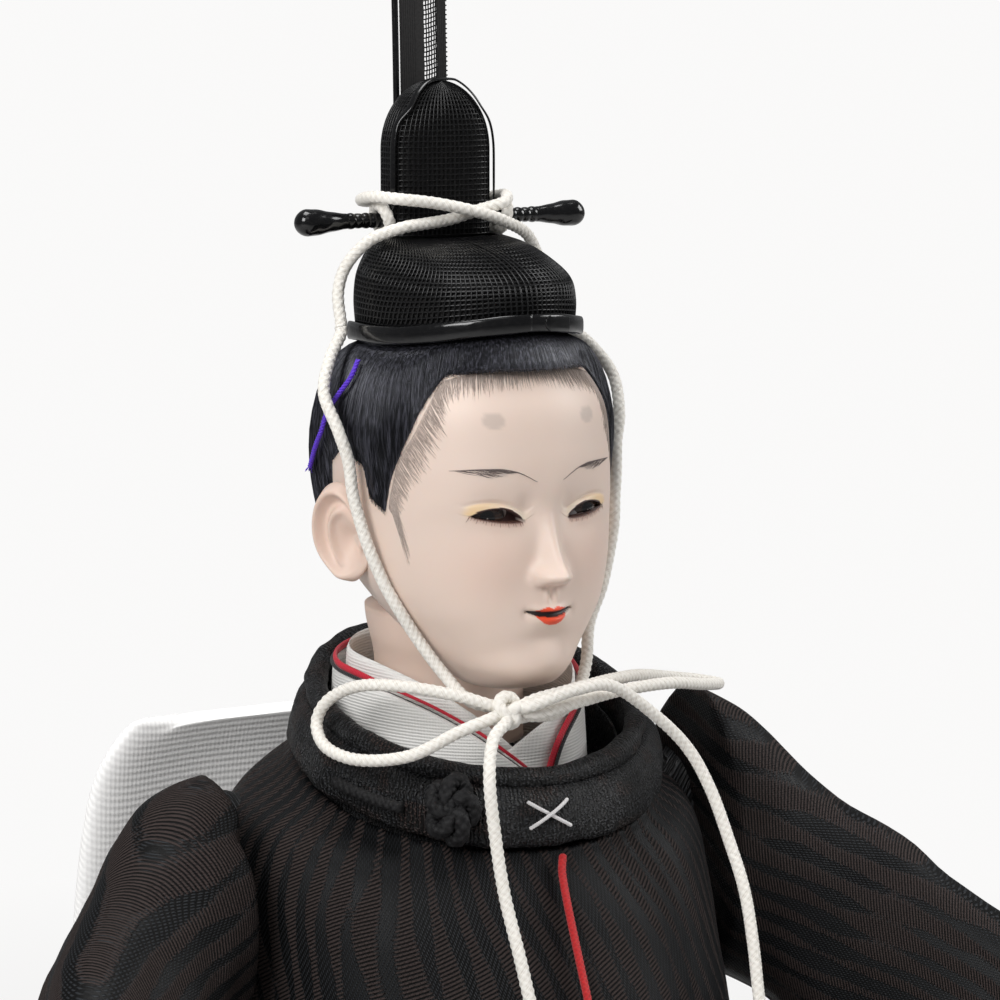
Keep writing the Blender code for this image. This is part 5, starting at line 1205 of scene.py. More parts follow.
def figured_silk(name):
    """Charcoal satin with raised bands of brown floats; cloth coordinates are in metres. The satin's thread tops are
    painted light grey as glints, and the floats go almost black between their ribs as painted shade.
    """
    material, tree, shader = principled(name, (0.02, 0.02, 0.022), 0.5)
    shader.inputs["Specular IOR Level"].default_value = 0.18
    place, u, v = split_uv(tree)
    drift = texture(tree, "Noise", place, Scale=24.0, Detail=1.0, Distortion=0.3)
    patch = texture(tree, "Noise", place, Scale=62.0, Detail=1.0)
    jitter = texture(tree, "Noise", place, Scale=1500.0, Detail=2.0)
    wander = math_node(tree, "MULTIPLY", math_node(tree, "SUBTRACT", drift.outputs[0], 0.5), 0.014)
    across = math_node(tree, "ADD", u, wander)
    teeth = math_node(tree, "MULTIPLY", math_node(tree, "SUBTRACT", jitter.outputs[0], 0.5), 1.3)
    wave = math_node(tree, "SINE", math_node(tree, "MULTIPLY", across, 2 * math.pi / BAND_PITCH))
    slant = math_node(tree, "MULTIPLY_ADD", across, 0.42, v)
    rib = math_node(tree, "SINE", math_node(tree, "MULTIPLY_ADD", slant, 2 * math.pi / RIB_PITCH,
                                            math_node(tree, "MULTIPLY", jitter.outputs[0], 1.8)))
    rib = smooth_step(tree, rib, -0.75, 0.35)
    wave = math_node(tree, "MULTIPLY_ADD", rib, 0.55, wave)
    level = math_node(tree, "ADD", wave, math_node(tree, "MULTIPLY", math_node(
        tree, "SUBTRACT", patch.outputs[0], 0.44), 4.2))
    mask = smooth_step(tree, math_node(tree, "ADD", level, teeth), 0.52, 0.82)
    twill = math_node(tree, "SINE", math_node(tree, "MULTIPLY", math_node(
        tree, "SUBTRACT", u, math_node(tree, "MULTIPLY", v, 0.30)), 2 * math.pi / TWILL_PITCH))
    stitch = math_node(tree, "SINE", math_node(tree, "MULTIPLY", math_node(
        tree, "MULTIPLY_ADD", u, 1.4, v), 2 * math.pi / STITCH_PITCH))
    satin_thread_glint = math_node(tree, "MULTIPLY", smooth_step(tree, twill, -0.5, 1.0), smooth_step(tree, math_node(
        tree, "ADD", stitch, teeth), -0.9, 0.7))
    # Painted shade: the brown floats go almost black in the grooves between their ribs.
    brown = colour_mix(tree, rib, (0.0010, 0.0007, 0.0007), (0.040, 0.029, 0.0265))
    # Painted glints: the satin's thread tops are light grey on an almost black base.
    satin = colour_mix(tree, satin_thread_glint, (0.0004, 0.0004, 0.0005), (0.021, 0.0235, 0.027))
    wire(tree, colour_mix(tree, mask, satin, brown), shader.inputs["Base Color"])
    rough = math_node(tree, "MULTIPLY_ADD", mask, 0.25, 0.50)
    wire(tree, rough, shader.inputs["Roughness"])
    high = math_node(tree, "MULTIPLY", mask, math_node(tree, "MULTIPLY_ADD", rib, 0.7, 0.6))
    height = math_node(tree, "ADD", high, math_node(tree, "MULTIPLY", satin_thread_glint, 0.35))
    bump(tree, shader, height, 0.00032, 1.0)
    return material


def ribbed_silk(name, colour, pitch, depth, dark, second=0.35):
    """Plain silk with ribs across it, each thread bound over the rib; the grooves between the ribs are painted with
    shade, the colour times the factor dark.
    """
    material, tree, shader = principled(name, colour, 0.6, Sheen_Weight=0.2, Sheen_Roughness=0.4)
    place, side, run = split_uv(tree)
    noise = texture(tree, "Noise", place, Scale=800.0, Detail=3.0)
    wobble = math_node(tree, "MULTIPLY", noise.outputs[0], 0.9)
    rib = math_node(tree, "MULTIPLY_ADD", math_node(tree, "SINE", math_node(
        tree, "MULTIPLY_ADD", run, 2 * math.pi / pitch, wobble)), 0.5, 0.5)
    bind = math_node(tree, "MULTIPLY_ADD", math_node(tree, "SINE", math_node(
        tree, "MULTIPLY", side, 2 * math.pi / (pitch * 0.55))), 0.5, 0.5)
    height = math_node(tree, "MULTIPLY_ADD", bind, second, rib)
    # Painted shade: the low parts between the ribs take the colour times dark.
    groove_shade = tuple(c * dark for c in colour)
    share = smooth_step(tree, height, 0.0, 0.6)
    wire(tree, colour_mix(tree, share, groove_shade, colour), shader.inputs["Base Color"])
    bump(tree, shader, height, depth, 0.8)
    return material


def crepe_silk(name):
    """Crinkled black silk with brown flecks, for the round collar; its colour follows the crinkles' height, light on
    their tops as painted glints and almost black in their hollows as painted shade.
    """
    material, tree, shader = principled(name, (0.02, 0.02, 0.022), 0.5)
    shader.inputs["Specular IOR Level"].default_value = 0.35
    place, _, v = split_uv(tree)
    grain = texture(tree, "Voronoi", place, Scale=2300.0)
    patch = texture(tree, "Noise", place, Scale=120.0, Detail=2.0)
    bend = texture(tree, "Noise", place, Scale=420.0, Detail=2.0, Distortion=0.8)
    ridge = math_node(tree, "SINE", math_node(tree, "MULTIPLY_ADD", v, 2 * math.pi / 0.0007,
                                              math_node(tree, "MULTIPLY", bend.outputs[0], 16.0)))
    knob = smooth_step(tree, grain.outputs["Distance"], 0.62, 0.10)
    height = math_node(tree, "MULTIPLY_ADD", ridge, 0.45, knob)
    # Painted light and shade: high crinkles are lighter and hollows almost black.
    share = smooth_step(tree, height, 0.1, 1.2)
    black = colour_mix(tree, share, (0.0012, 0.0012, 0.0014), (0.046, 0.048, 0.053))
    brown = colour_mix(tree, share, (0.0015, 0.001, 0.001), (0.060, 0.040, 0.036))
    fleck = smooth_step(tree, patch.outputs[0], 0.52, 0.60)
    wire(tree, colour_mix(tree, fleck, black, brown), shader.inputs["Base Color"])
    bump(tree, shader, height, 0.00030, 1.0)
    return material


# The figured silk has painted glints on its satin and painted shade between the ribs of its floats.
robe_silk = figured_silk("figured_black_silk")
# The crinkled silk has painted glints on its crinkles and painted shade in their hollows.
edge_silk = crepe_silk("crinkled_black_silk")
# For each ribbed silk, the factor after the rib depth sets the painted shade in the grooves between its ribs.
train_silk = ribbed_silk("train_rib_silk", (0.98, 0.97, 0.955), 0.0014, 0.00010, 0.93)
collar_silk = ribbed_silk("collar_rep_silk", (0.92, 0.905, 0.87), 0.00052, 0.00010, 0.82, second=0.8)
lining_white = ribbed_silk("lining_white_silk", (0.84, 0.82, 0.78), 0.00035, 0.00004, 0.9)
lining_red = ribbed_silk("lining_red_silk", (0.55, 0.015, 0.03), 0.00035, 0.00004, 0.7)
piping_red = ribbed_silk("piping_red_silk", (0.60, 0.012, 0.035), 0.0004, 0.00005, 0.6)
print("cloth materials: figured silk, ribbed silks")

# %% [markdown]
# The robe and its two sleeves are padded, so their cloth swells between the seams and hangs in shallow waves. The
# linings show at each cuff as a white and a red layer. Each piece but the white lining is pushed along its normals by
# crossed sine waves, broad ones for the padding and fine ones for the silk's small creases.

# %% Robe and sleeves
ROBE_RADIUS = 0.052


def robe_map(places):
    """Cloth coordinates of the robe: round the body and down it, the bands leaning a little."""
    turn = np.arctan2(places[:, 0], -places[:, 1] + 0.004)
    u = turn * ROBE_RADIUS - 0.30 * np.clip(0.135 - places[:, 2], -1, 1) * np.cos(turn)
    return np.stack((u, -places[:, 2]), axis=1), 2 * math.pi * ROBE_RADIUS


def sleeve_map(places):
    """Cloth coordinates of a sleeve: bands run out along the arm."""
    spread = np.abs(places[:, 0])
    u = places[:, 2] + 0.30 * spread - 0.34 * places[:, 1]
    return np.stack((u, spread * 0.8 - places[:, 1] * 0.7 - 0.25 * places[:, 2]), axis=1)


def robe_creases(places):
    """Soft waves of the padded cloth, in metres."""
    low = np.clip((0.132 - places[:, 2]) / 0.03, 0, 1)
    broad = ripple(places * np.array((1.0, 1.0, 0.45)), 0.034, 3) * 0.00065 * low
    return broad + ripple(places, 0.012, 4) * 0.00012


def sleeve_creases(places):
    """Waves along the padded sleeve, in metres."""
    return ripple(places * np.array((0.7, 0.7, 1.0)), 0.026, 5) * 0.00085 + ripple(places, 0.010, 6) * 0.00014


def cuff_waves(places):
    """Slack in the linings at the mouth of a sleeve, in metres."""
    return ripple(places * np.array((1.0, 1.0, 0.35)), 0.011, 61) * 0.0005


rows = [("robe_body", "robe_silk", robe_silk, robe_creases, robe_map, "brocade")]
for node, name, material, relief, tint in (
        ("sleeve_", "sleeve_silk_", robe_silk, sleeve_creases, "brocade"),
        ("sleeve_lining_white_", "cuff_white_", lining_white, None, "white_silk"),
        ("sleeve_lining_red_", "cuff_red_", lining_red, cuff_waves, "red_silk")):
    rows += [(node + side, name + side, material, relief, sleeve_map, tint) for side in ("right", "left")]
for node, name, material, relief, mapping, tint in rows:
    item = smooth_copy(node, name, material, 2, relief, mapping)
    settle(item, "torso", tint, node)
    print(name, len(item.data.polygons), "faces")

# %% [markdown]
# ## Collars
# A court robe closes with a round padded band, held by a knot of braid on the doll's right shoulder.
# Inside it two pairs of white collars cross, with a red and a black piping between them. The strips are
# made from the same rule as the solids, only with many more steps, so that the cloth bends evenly.

# %% White collars
COLLAR_TABLES = {
    "right": ((178, 1.00, 0.98), (140, 1.00, 0.97), (100, 1.00, 0.93), (70, 1.00, 0.89), (45, 1.02, 0.80),
              (25, 1.05, 0.66), (10, 1.07, 0.50), (-2, 1.08, 0.36)),
    "left": ((178, 1.00, 0.98), (140, 1.00, 0.97), (100, 1.00, 0.93), (70, 1.01, 0.86), (45, 1.05, 0.78),
             (28, 1.09, 0.68), (18, 1.11, 0.56), (12, 1.11, 0.36))}
CROSSINGS = {"right": (None, ((-16, 1.08, 0.24),)),
             "left": (-2, ((18, 1.11, 0.62), (6, 1.11, 0.55), (-4, 1.10, 0.46), (-16, 1.09, 0.34)))}


NECK_WIDE, NECK_BACK, NECK_FRONT = 17.6, 13.8, 23.5
COLLAR_FOOT, COLLAR_HIGH, COLLAR_CLOTH = 129, 26, 0.7


def strip_grid(side, table, layer, drop, steps=240):
    """Collar strip: outline rings along it, in millimetres, with its length and top line."""
    rows = smooth_rows(np.array(table, float), steps)
    turn = np.radians(rows[:, 0]) * side
    back = np.cos(turn) < 0
    depth = np.where(back, NECK_BACK, NECK_FRONT)
    out = np.stack((np.sin(turn), -np.cos(turn), np.zeros(steps)), axis=1)
    top = np.stack((NECK_WIDE * out[:, 0] * rows[:, 1], depth * out[:, 1] * rows[:, 1], np.zeros(steps)), axis=1)
    top = top + out * layer
    top[:, 2] = COLLAR_FOOT + COLLAR_HIGH * rows[:, 2] - drop
    foot = top + out * (0.06 * (top[:, 2] - COLLAR_FOOT))[:, None]
    foot[:, 2] = COLLAR_FOOT
    along = np.gradient(top, axis=0)
    wide = top - foot
    thick = np.cross(along, wide)
    thick *= (COLLAR_CLOTH / 2) / np.linalg.norm(thick, axis=1)[:, None]
    thick *= np.sign((thick * out).sum(axis=1))[:, None]
    up = np.concatenate((np.linspace(0, 1, 26), np.linspace(1, 0, 26)))
    face = np.concatenate((np.ones(26), -np.ones(26)))
    round_top = np.sqrt(np.clip((1 - up) / 0.04, 0, 1))
    ring = foot[:, None, :] + wide[:, None, :] * up[None, :, None]
    ring = ring + thick[:, None, :] * (face * round_top)[None, :, None]
    length = distance_along(top)
    return ring, length, top, thick, up, wide


def collar_piece(name, node, side, table, layer, drop, material):
    """One collar, with the sheet of cloth that it was cut from; gives its top line for the pipings."""
    ring, length, top, thick, up, wide = strip_grid(side, table, layer, drop)
    height = np.linalg.norm(wide, axis=1)
    u = np.broadcast_to(length[:, None], ring.shape[:2]) * MM
    v = up[None, :] * height[:, None] * MM
    item = grid_mesh(name, ring * MM, material, uv=(u, v))
    settle(item, "torso", "white_silk", node)
    return top, thick, length


def piping_line(top, thick, rise):
    """Line over the top edge of a collar, in millimetres."""
    along = np.gradient(top, axis=0)
    above = np.cross(thick, along)
    above = unit(above)
    above *= np.sign(above[:, 2])[:, None]
    return top + above * rise


def swept_round(name, line, wide, high, material, around=14, normals=None):
    """Soft oval bead along a line in millimetres; wide and high are half sizes for each point."""
    sides, ups, _ = path_frames(line)
    if normals is not None:
        ups = unit(normals)
        along = np.gradient(line, axis=0)
        sides = np.cross(along, ups)
        sides = unit(sides)
    turn = full_turn(around)
    grid = (line[:, None, :] + sides[:, None, :] * (np.cos(turn)[None, :] * wide[:, None])[..., None]
            + ups[:, None, :] * (np.sin(turn)[None, :] * high[:, None])[..., None])
    reach = distance_along(line) * MM
    return grid_mesh(name, grid * MM, material, uv=(turn / 6.2832 * 0.004, reach))


# Its factor 0.5 is the painted shade between its ribs.
piping_black = ribbed_silk("piping_black_silk", (0.02, 0.019, 0.021), 0.0005, 0.00008, 0.5)
for side, label, layer, outer_layer in ((-1, "right", 0.0, 2.4), (1, "left", 1.2, 2.7)):
    table = COLLAR_TABLES[label]
    kept, crossing = CROSSINGS[label]
    collar_piece("collar_inner_" + label, "inner_collar_" + label, side, table[:kept] + crossing, layer,
                 0.0, collar_silk)
    top, thick, length = collar_piece("collar_outer_" + label, "outer_collar_" + label, side, table, outer_layer,
                                      3.0, collar_silk)
    share = length / length[-1]
    if label == "right":
        size = 0.62 - 0.34 * ramp(share, 0.45, 0.60)
        dark = 0.30 - 0.22 * ramp(share, 0.45, 0.60)
    else:
        size = np.full(len(share), 0.66)
        dark = np.full(len(share), 0.27)
    line = piping_line(top, thick, 0.80)
    item = swept_round("piping_red_" + label, line, size * 0.62, size, piping_red, normals=line - top)
    settle(item, "torso", "red_silk", "red_piping_" + label)
    outward = unit(thick)
    low = piping_line(top, thick, 0.14) + outward * (0.42 + dark[:, None] * 0.4)
    edge = swept_round("piping_black_" + label, low, dark, dark, piping_black)
    settle(edge, "torso", "black_braid")
    print("collar", label, "length", round(length[-1], 1), "mm")

# %% [markdown]
# The round collar is a band of crinkled silk over a soft filling, with a thin roll on top of it. Both are
# closed rings on one sloping path. Their section is a rounded rectangle, dented a little all round as
# padding is. A thin ring of the same silk behind the band closes the gap to the robe.

# %% Round collar band and roll
RING_X, RING_Y, RING_HALF = 2.0, -6.0, 29.0
RING_FRONT, RING_BACK = 34.6, 22.4
RING_LOW, RING_CLIMB, RING_LEAN = 130.4, 15.6, math.radians(18)
BAND_HIGH, BAND_THICK = 4.9, 2.4


def collar_frame(turn):
    """Centre, outward and upward directions of the band at azimuths, in millimetres."""
    ahead = np.cos(turn)
    depth = np.where(ahead >= 0, RING_FRONT + RING_Y, RING_BACK - RING_Y)
    centre = np.stack((RING_X + RING_HALF * np.sin(turn), RING_Y - depth * ahead,
                       RING_LOW + RING_CLIMB * (1 - ahead) / 2), axis=1)
    flat = np.stack((np.sin(turn) / RING_HALF, -ahead / depth, np.zeros(len(turn))), axis=1)
    flat = unit(flat)
    c, s = math.cos(RING_LEAN), math.sin(RING_LEAN)
    up = np.array((0.0, 0.0, 1.0))
    return centre, flat * c + up * s, up * c - flat * s


def band_place(turn, rise, off):
    """Points off the band's outer face."""
    centre, outward, upward = collar_frame(np.atleast_1d(turn))
    rise = np.broadcast_to(rise, (len(centre),))
    bulge = BAND_THICK * np.sqrt(np.clip(1 - (rise / BAND_HIGH) ** 2, 0, 1))
    return centre + outward * (bulge + off)[:, None] + upward * rise[:, None]


def ring_piece(name, node, half_high, half_thick, lift, squareness, seed, folds, material, inset=0.0):
    """Padded band round the neck, closed into a ring, with soft dents along it."""
    count, around = 420, 40
    turn = 2 * np.pi * np.arange(count + 1) / count
    centre, outward, upward = collar_frame(turn)
    angle = full_turn(around)
    a, b = np.cos(angle), np.sin(angle)
    a = np.sign(a) * np.abs(a) ** squareness
    b = np.sign(b) * np.abs(b) ** squareness
    middle = centre + upward * lift - outward * inset
    ring = (middle[:, None, :] + outward[:, None, :] * (a * half_thick)[None, :, None]
            + upward[:, None, :] * (b * half_high)[None, :, None])
    normal = outward[:, None, :] * (np.cos(angle) / half_thick)[None, :, None] + \
        upward[:, None, :] * (np.sin(angle) / half_high)[None, :, None]
    normal = unit(normal)
    dents = ripple((ring * np.array((1, 1, 0.7))).reshape(-1, 3), 11.0, seed).reshape(ring.shape[:2]) * folds
    dents = dents + ripple(ring.reshape(-1, 3), 3.4, seed + 1).reshape(ring.shape[:2]) * folds * 0.28
    dents[-1] = dents[0]
    ring = ring + normal * dents[..., None]
    reach = distance_along(middle) * MM
    edge = np.hypot(np.diff(a * half_thick), np.diff(b * half_high))
    rim = np.concatenate(([0], np.cumsum(edge))) * MM
    flat = ring[:-1].reshape(-1, 3) * MM
    r, c = np.meshgrid(np.arange(count), np.arange(around), indexing="ij")
    after, beside = (r + 1) % count, (c + 1) % around
    quads = np.stack((r * around + c, r * around + beside, after * around + beside, after * around + c), axis=2)
    mesh = bpy.data.meshes.new(name)
    mesh.from_pydata(flat.tolist(), [], quads.reshape(-1, 4).tolist())
    rim = np.concatenate((rim, [rim[-1] + rim[1]]))
    us = np.stack((rim[c], rim[c + 1], rim[c + 1], rim[c]), axis=2)
    vs = np.stack((reach[r], reach[r], reach[r + 1], reach[r + 1]), axis=2)
    layer = mesh.uv_layers.new(name="cloth")
    layer.data.foreach_set("uv", np.stack((us, vs), axis=3).reshape(-1))
    finish_mesh(mesh)
    item = add_object(name, mesh, material)
    collar = node.startswith("collar")
    settle(item, "torso", "black_braid" if collar else "brocade", node)


ring_piece("robe_collar_band", "collar_band", BAND_HIGH, BAND_THICK, 0.0, 0.85, 11, 0.34, edge_silk)
ring_piece("robe_collar_roll", "collar_roll", 1.9, 1.9, BAND_HIGH + 1.7 - 0.4, 1.0, 21, 0.22, edge_silk)
ring_piece("robe_neck_facing", "robe_body", 6.8, 0.35, -3.6, 0.5, 31, 0.10, edge_silk, 4.0)
print("round collar: band, roll and facing")

# %% [markdown]
# A knot of black braid and a loop close the collar on the doll's right shoulder, and two crossed threads
# tack its front. The knot is one braid led round a ring while it weaves in and out, which fills a ball
# as a tied knot does. All of it lies on the band's own outer face.

# %% Frog knot and stitches
FROG_TURN, STITCH_TURN = math.radians(-34), math.radians(-5)
BRAID_RELIEF = 0.26
# The black braid and the white thread also take painted shade in their hollows.
cord_black = braid_silk("black_braid", (0.0085, 0.0082, 0.009), (0.0003, 0.0003, 0.0004), 0.02)
cord_black.node_tree.nodes["Principled BSDF"].inputs["Specular IOR Level"].default_value = 0.28
thread_white = braid_silk("white_thread", (0.82, 0.80, 0.80), (0.5, 0.48, 0.48), 0.2, 12.0)


def knot_route(centre, across, out, up, half, turns=(2, 5), points=60, inset=0.62):
    """Closed ball knot: a line that winds round a ring while it weaves in and out."""
    t = np.linspace(0, 2 * np.pi, points + 1)[:-1] + 0.4
    p, q = turns
    ring = inset + (1 - inset) * np.cos(q * t)
    a = ring * np.cos(p * t)
    c = ring * np.sin(p * t)
    b = 0.62 * np.sin(q * t) + 0.40 * (1 - ring ** 2)
    return centre + a[:, None] * across * half[0] + b[:, None] * out * half[1] + c[:, None] * up * half[2]


def closed_braid(name, route, diameter, material, strands=8, relief=0.16):
    """Braided cord closed on itself, in millimetres."""
    return braided_cord(name, np.vstack((route, route[:2])), diameter * MM, material, strands, 0.16 * MM, relief)


centre, outward, upward = (item[0] for item in collar_frame(np.array((FROG_TURN,))))
aside = np.cross(upward, outward)
knot_centre = band_place(FROG_TURN, 0.0, 0.3 + 1.5)[0]
ball = knot_route(knot_centre, aside, outward, upward, (3.5, 1.6, 4.9), (2, 5))
heart = knot_route(knot_centre + outward * 0.6, aside, outward, upward, (1.4, 0.9, 2.3), (2, 3), 40, 0.5)
step = 5.2 / RING_HALF
reach = FROG_TURN - step - 2.0 / RING_HALF
strap = [band_place(reach - step * i / 3, -BAND_HIGH * 0.3, 0.3 + 1.0)[0] for i in range(8)]
knot, _ = closed_braid("frog_braid_knot", ball, 2.6, cord_black, 8, BRAID_RELIEF)
middle_knot, _ = closed_braid("frog_braid_heart", heart, 2.3, cord_black, 8, BRAID_RELIEF)
loop, _ = braided_cord("frog_braid_loop", strap, 2.0 * MM, cord_black, 8, 0.18 * MM, BRAID_RELIEF)
for item, node in ((knot, "frog_knot"), (middle_knot, "frog_knot"), (loop, "frog_loop")):
    settle(item, "torso", "black_braid", node)

half_turn = 4.0 / RING_FRONT
for name, slope, lift in (("cross_stitch_under", -1, 0), ("cross_stitch_over", 1, 1.0)):
    share = np.linspace(-1, 1, 15)
    off = 0.3 + 0.28 + lift * 0.6 * (1 - share ** 2)
    route = [band_place(STITCH_TURN + half_turn * s, 2.2 * s * slope, o)[0] for s, o in zip(share, off)]
    item, _ = braided_cord("thread_" + name, route, 0.62 * MM, thread_white, 4, 0.07 * MM, 0.14)
    settle(item, "torso", "white_cord", name)
print("frog knot and cross stitch done")

# %% [markdown]
# A thin red cord runs down the robe's front, stitched to it. Its solid is a tube, so its middle line can
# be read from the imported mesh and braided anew. The bow's knot is wound in the same way as the frog knot.

# %% Red front cord and the bow's knot
def centre_line(node, axis, steps=14):
    """Middle line of a packed tube that runs one way along an axis, in millimetres."""
    source = nodes[node]
    places = np.array([source.matrix_world @ v.co for v in source.data.vertices]) / MM
    low, high = places[:, axis].min(), places[:, axis].max()
    result = []
    for value in np.linspace(low + 0.4, high - 0.4, steps):
        weight = np.exp(-((places[:, axis] - value) / ((high - low) / steps * 0.7)) ** 2)
        result.append((places * weight[:, None]).sum(axis=0) / weight.sum())
    return np.array(result)


line = centre_line("front_cord", 2)
item, _ = braided_cord("front_cord_braid", line, 1.3 * MM, cord_red, 8, 0.12 * MM, 0.16)
settle(item, "torso", "red_cord", "front_cord")
centre = np.array(KNOT_PLACE)
across, out, up = np.array(((0.94, -0.30, -0.17), (0.30, 0.95, 0.0), (0.16, -0.05, 0.98)))
bow_knot = knot_route(centre, across, -out, up, (2.9, 1.9, 2.3), (2, 3), 40, 0.48)
item, _ = closed_braid("bow_knot_braid", bow_knot, 2.1, cord_white)
settle(item, "torso", "white_cord", "bow_knot")
print("front cord and bow knot done")

# %% [markdown]
# ## Threads, hair and net
# Hair and gauze, like the painted strokes, are thin round lines that follow a surface. Their paths and the purple
# cord's plies are worked out as plain edges, and one Geometry Nodes tree turns every edge path into a tube with its
# own width. The result is kept as an ordinary mesh.

# %% Lines made into tubes by Geometry Nodes
def line_tree():
    """Edges to curves, width from an attribute, a small round profile, one material."""
    tree = bpy.data.node_groups.new("tubes_on_lines", "GeometryNodeTree")
    face = tree.interface
    face.new_socket("Geometry", in_out="INPUT", socket_type="NodeSocketGeometry")
    face.new_socket("Sides", in_out="INPUT", socket_type="NodeSocketInt")
    face.new_socket("Material", in_out="INPUT", socket_type="NodeSocketMaterial")
    face.new_socket("Geometry", in_out="OUTPUT", socket_type="NodeSocketGeometry")
    start = tree.nodes.new("NodeGroupInput")
    end = tree.nodes.new("NodeGroupOutput")
    curve = tree.nodes.new("GeometryNodeMeshToCurve")
    width = tree.nodes.new("GeometryNodeInputNamedAttribute")
    width.data_type = "FLOAT"
    width.inputs["Name"].default_value = "width"
    profile = tree.nodes.new("GeometryNodeCurvePrimitiveCircle")
    profile.inputs["Radius"].default_value = 0.5
    body = tree.nodes.new("GeometryNodeCurveToMesh")
    body.inputs["Fill Caps"].default_value = True
    real = tree.nodes.new("GeometryNodeRealizeInstances")
    paint = tree.nodes.new("GeometryNodeSetMaterial")
    wire(tree, start.outputs["Geometry"], curve.inputs[0])
    wire(tree, width.outputs["Attribute"], body.inputs["Scale"])
    wire(tree, start.outputs["Sides"], profile.inputs["Resolution"])
    wire(tree, curve.outputs[0], body.inputs["Curve"])
    wire(tree, profile.outputs[0], body.inputs["Profile Curve"])
    wire(tree, body.outputs[0], real.inputs[0])
    wire(tree, real.outputs[0], paint.inputs["Geometry"])
    wire(tree, start.outputs["Material"], paint.inputs["Material"])
    wire(tree, paint.outputs[0], end.inputs[0])
    return tree


tubes_on_lines = line_tree()


def line_tubes(name, lines, widths, material, sides, body, slot, *solids):
    """One mesh of tubes: lines is a list of point arrays in metres, widths a number or array for each."""
    counts = [len(line) for line in lines]
    places = np.concatenate(lines)
    starts = np.concatenate(([0], np.cumsum(counts)[:-1]))
    edges = np.concatenate([np.stack((np.arange(c - 1), np.arange(1, c)), axis=1) + s
                            for c, s in zip(counts, starts)])
    wide = np.concatenate([np.broadcast_to(np.asarray(w, float), (c,)) for w, c in zip(widths, counts)])
    mesh = bpy.data.meshes.new(name + "_lines")
    mesh.from_pydata(places.tolist(), edges.tolist(), [])
    mesh.attributes.new("width", "FLOAT", "POINT").data.foreach_set("value", wide)
    carrier = add_object(name + "_lines", mesh)
    modifier = carrier.modifiers.new("tubes", "NODES")
    modifier.node_group = tubes_on_lines
    for entry in tubes_on_lines.interface.items_tree:
        if entry.item_type == "SOCKET" and entry.in_out == "INPUT" and entry.name in ("Sides", "Material"):
            modifier[entry.identifier] = sides if entry.name == "Sides" else material
    deps = bpy.context.evaluated_depsgraph_get()
    done = bpy.data.meshes.new_from_object(carrier.evaluated_get(deps))
    bpy.data.objects.remove(carrier, do_unlink=True)
    done.name = name
    done.shade_smooth()
    item = add_object(name, done, None if done.materials else material)
    settle(item, body, slot, *solids)
    print(name, len(lines), "lines,", len(done.polygons), "faces")


# %% [markdown]
# Real hair of this kind is silk floss, planted along the hairline and combed up under the cap and behind
# the ears. A thin base carries its dark mass, and strands lie over it from the crown to the cut edge. The
# base and the strands thin out towards the edge, where single strands show against the skin.

# %% Silk hair
HAIR_ROWS = np.array((
    (0.50, 0.92, 0.51, 0.12, 0.905, 0.585, 0.88),
    (0.64, 0.815, 0.66, 0.12, 0.745, 0.71, 0.675),
    (0.77, 0.765, 0.85, 0.12, 0.675, 0.86, 0.60),
    (0.855, 0.675, 0.985, 0.12, 0.55, 0.99, 0.46),
    (0.98, 0.485, 1.065, 0.12, 0.35, 1.07, 0.27),
    (1.05, 0.30, 1.08, 0.10, 0.16, 1.085, 0.08),
    (1.07, 0.135, 1.06, 0.06, 0.00, 1.045, -0.14),
    (1.055, 0.00, 1.02, 0.02, -0.17, 0.97, -0.34),
    (1.04, -0.20, 0.955, 0.00, -0.34, 0.87, -0.51),
))
HAIRLINE_WINDOW = np.array((
    (-1.60, 0.66), (-0.615, 0.66), (-0.54, 0.39), (-0.41, 0.16), (-0.365, 0.02), (-0.23, 0.075),
    (-0.17, 0.21), (0.12, 0.27), (0.31, 0.19), (0.38, -0.12), (0.34, -0.45), (0.50, -1.2), (-1.60, -1.2))) * np.array((26.0, 37.0))


def inside_window(y, z):
    """True where a side-view place lies in the part of the form that carries no hair."""
    inside = np.zeros(np.broadcast(y, z).shape, bool)
    for (y0, z0), (y1, z1) in zip(HAIRLINE_WINDOW, np.roll(HAIRLINE_WINDOW, -1, axis=0)):
        crosses = (z0 > z) != (z1 > z)
        at = y0 + (z - z0) / (z1 - z0 + 1e-12) * (y1 - y0)
        inside ^= crosses & (y < at)
    return inside


def hair_material():
    """Black silk floss: every strand takes a slightly different blue-black and gleams along its length; the lighter
    blue-grey streaks in its colour are partly that tone and partly painted gleam.
    """
    material, tree, shader = principled("silk_hair", (0.01, 0.01, 0.015), 0.34, Anisotropic=0.5)
    shader.inputs["Specular Tint"].default_value = (0.88, 0.90, 1.0, 1.0)
    noise = texture(tree, "Noise", object_place(tree, (1.0, 1.0, 0.08)), Scale=2600.0, Detail=3.0)
    share = smooth_step(tree, noise.outputs[0], 0.42, 0.72)
    # Partly strand tone and partly painted gleam: lighter blue-grey streaks, stretched up and down.
    wire(tree, colour_mix(tree, share, (0.004, 0.004, 0.005), (0.062, 0.062, 0.078)), shader.inputs["Base Color"])
    bump(tree, shader, noise.outputs[0], 0.00003, 0.5)
    return material


def window_gap(y, z):
    """Distance in millimetres from a side-view place to the hair's cut edge."""
    nearest = np.full(np.broadcast(y, z).shape, 1e9)
    for first, last in zip(HAIRLINE_WINDOW[1:-2], HAIRLINE_WINDOW[2:-1]):
        run = last - first
        share = np.clip(((y - first[0]) * run[0] + (z - first[1]) * run[1]) / (run @ run), 0, 1)
        nearest = np.minimum(nearest, np.hypot(y - first[0] - run[0] * share, z - first[1] - run[1] * share))
    return nearest


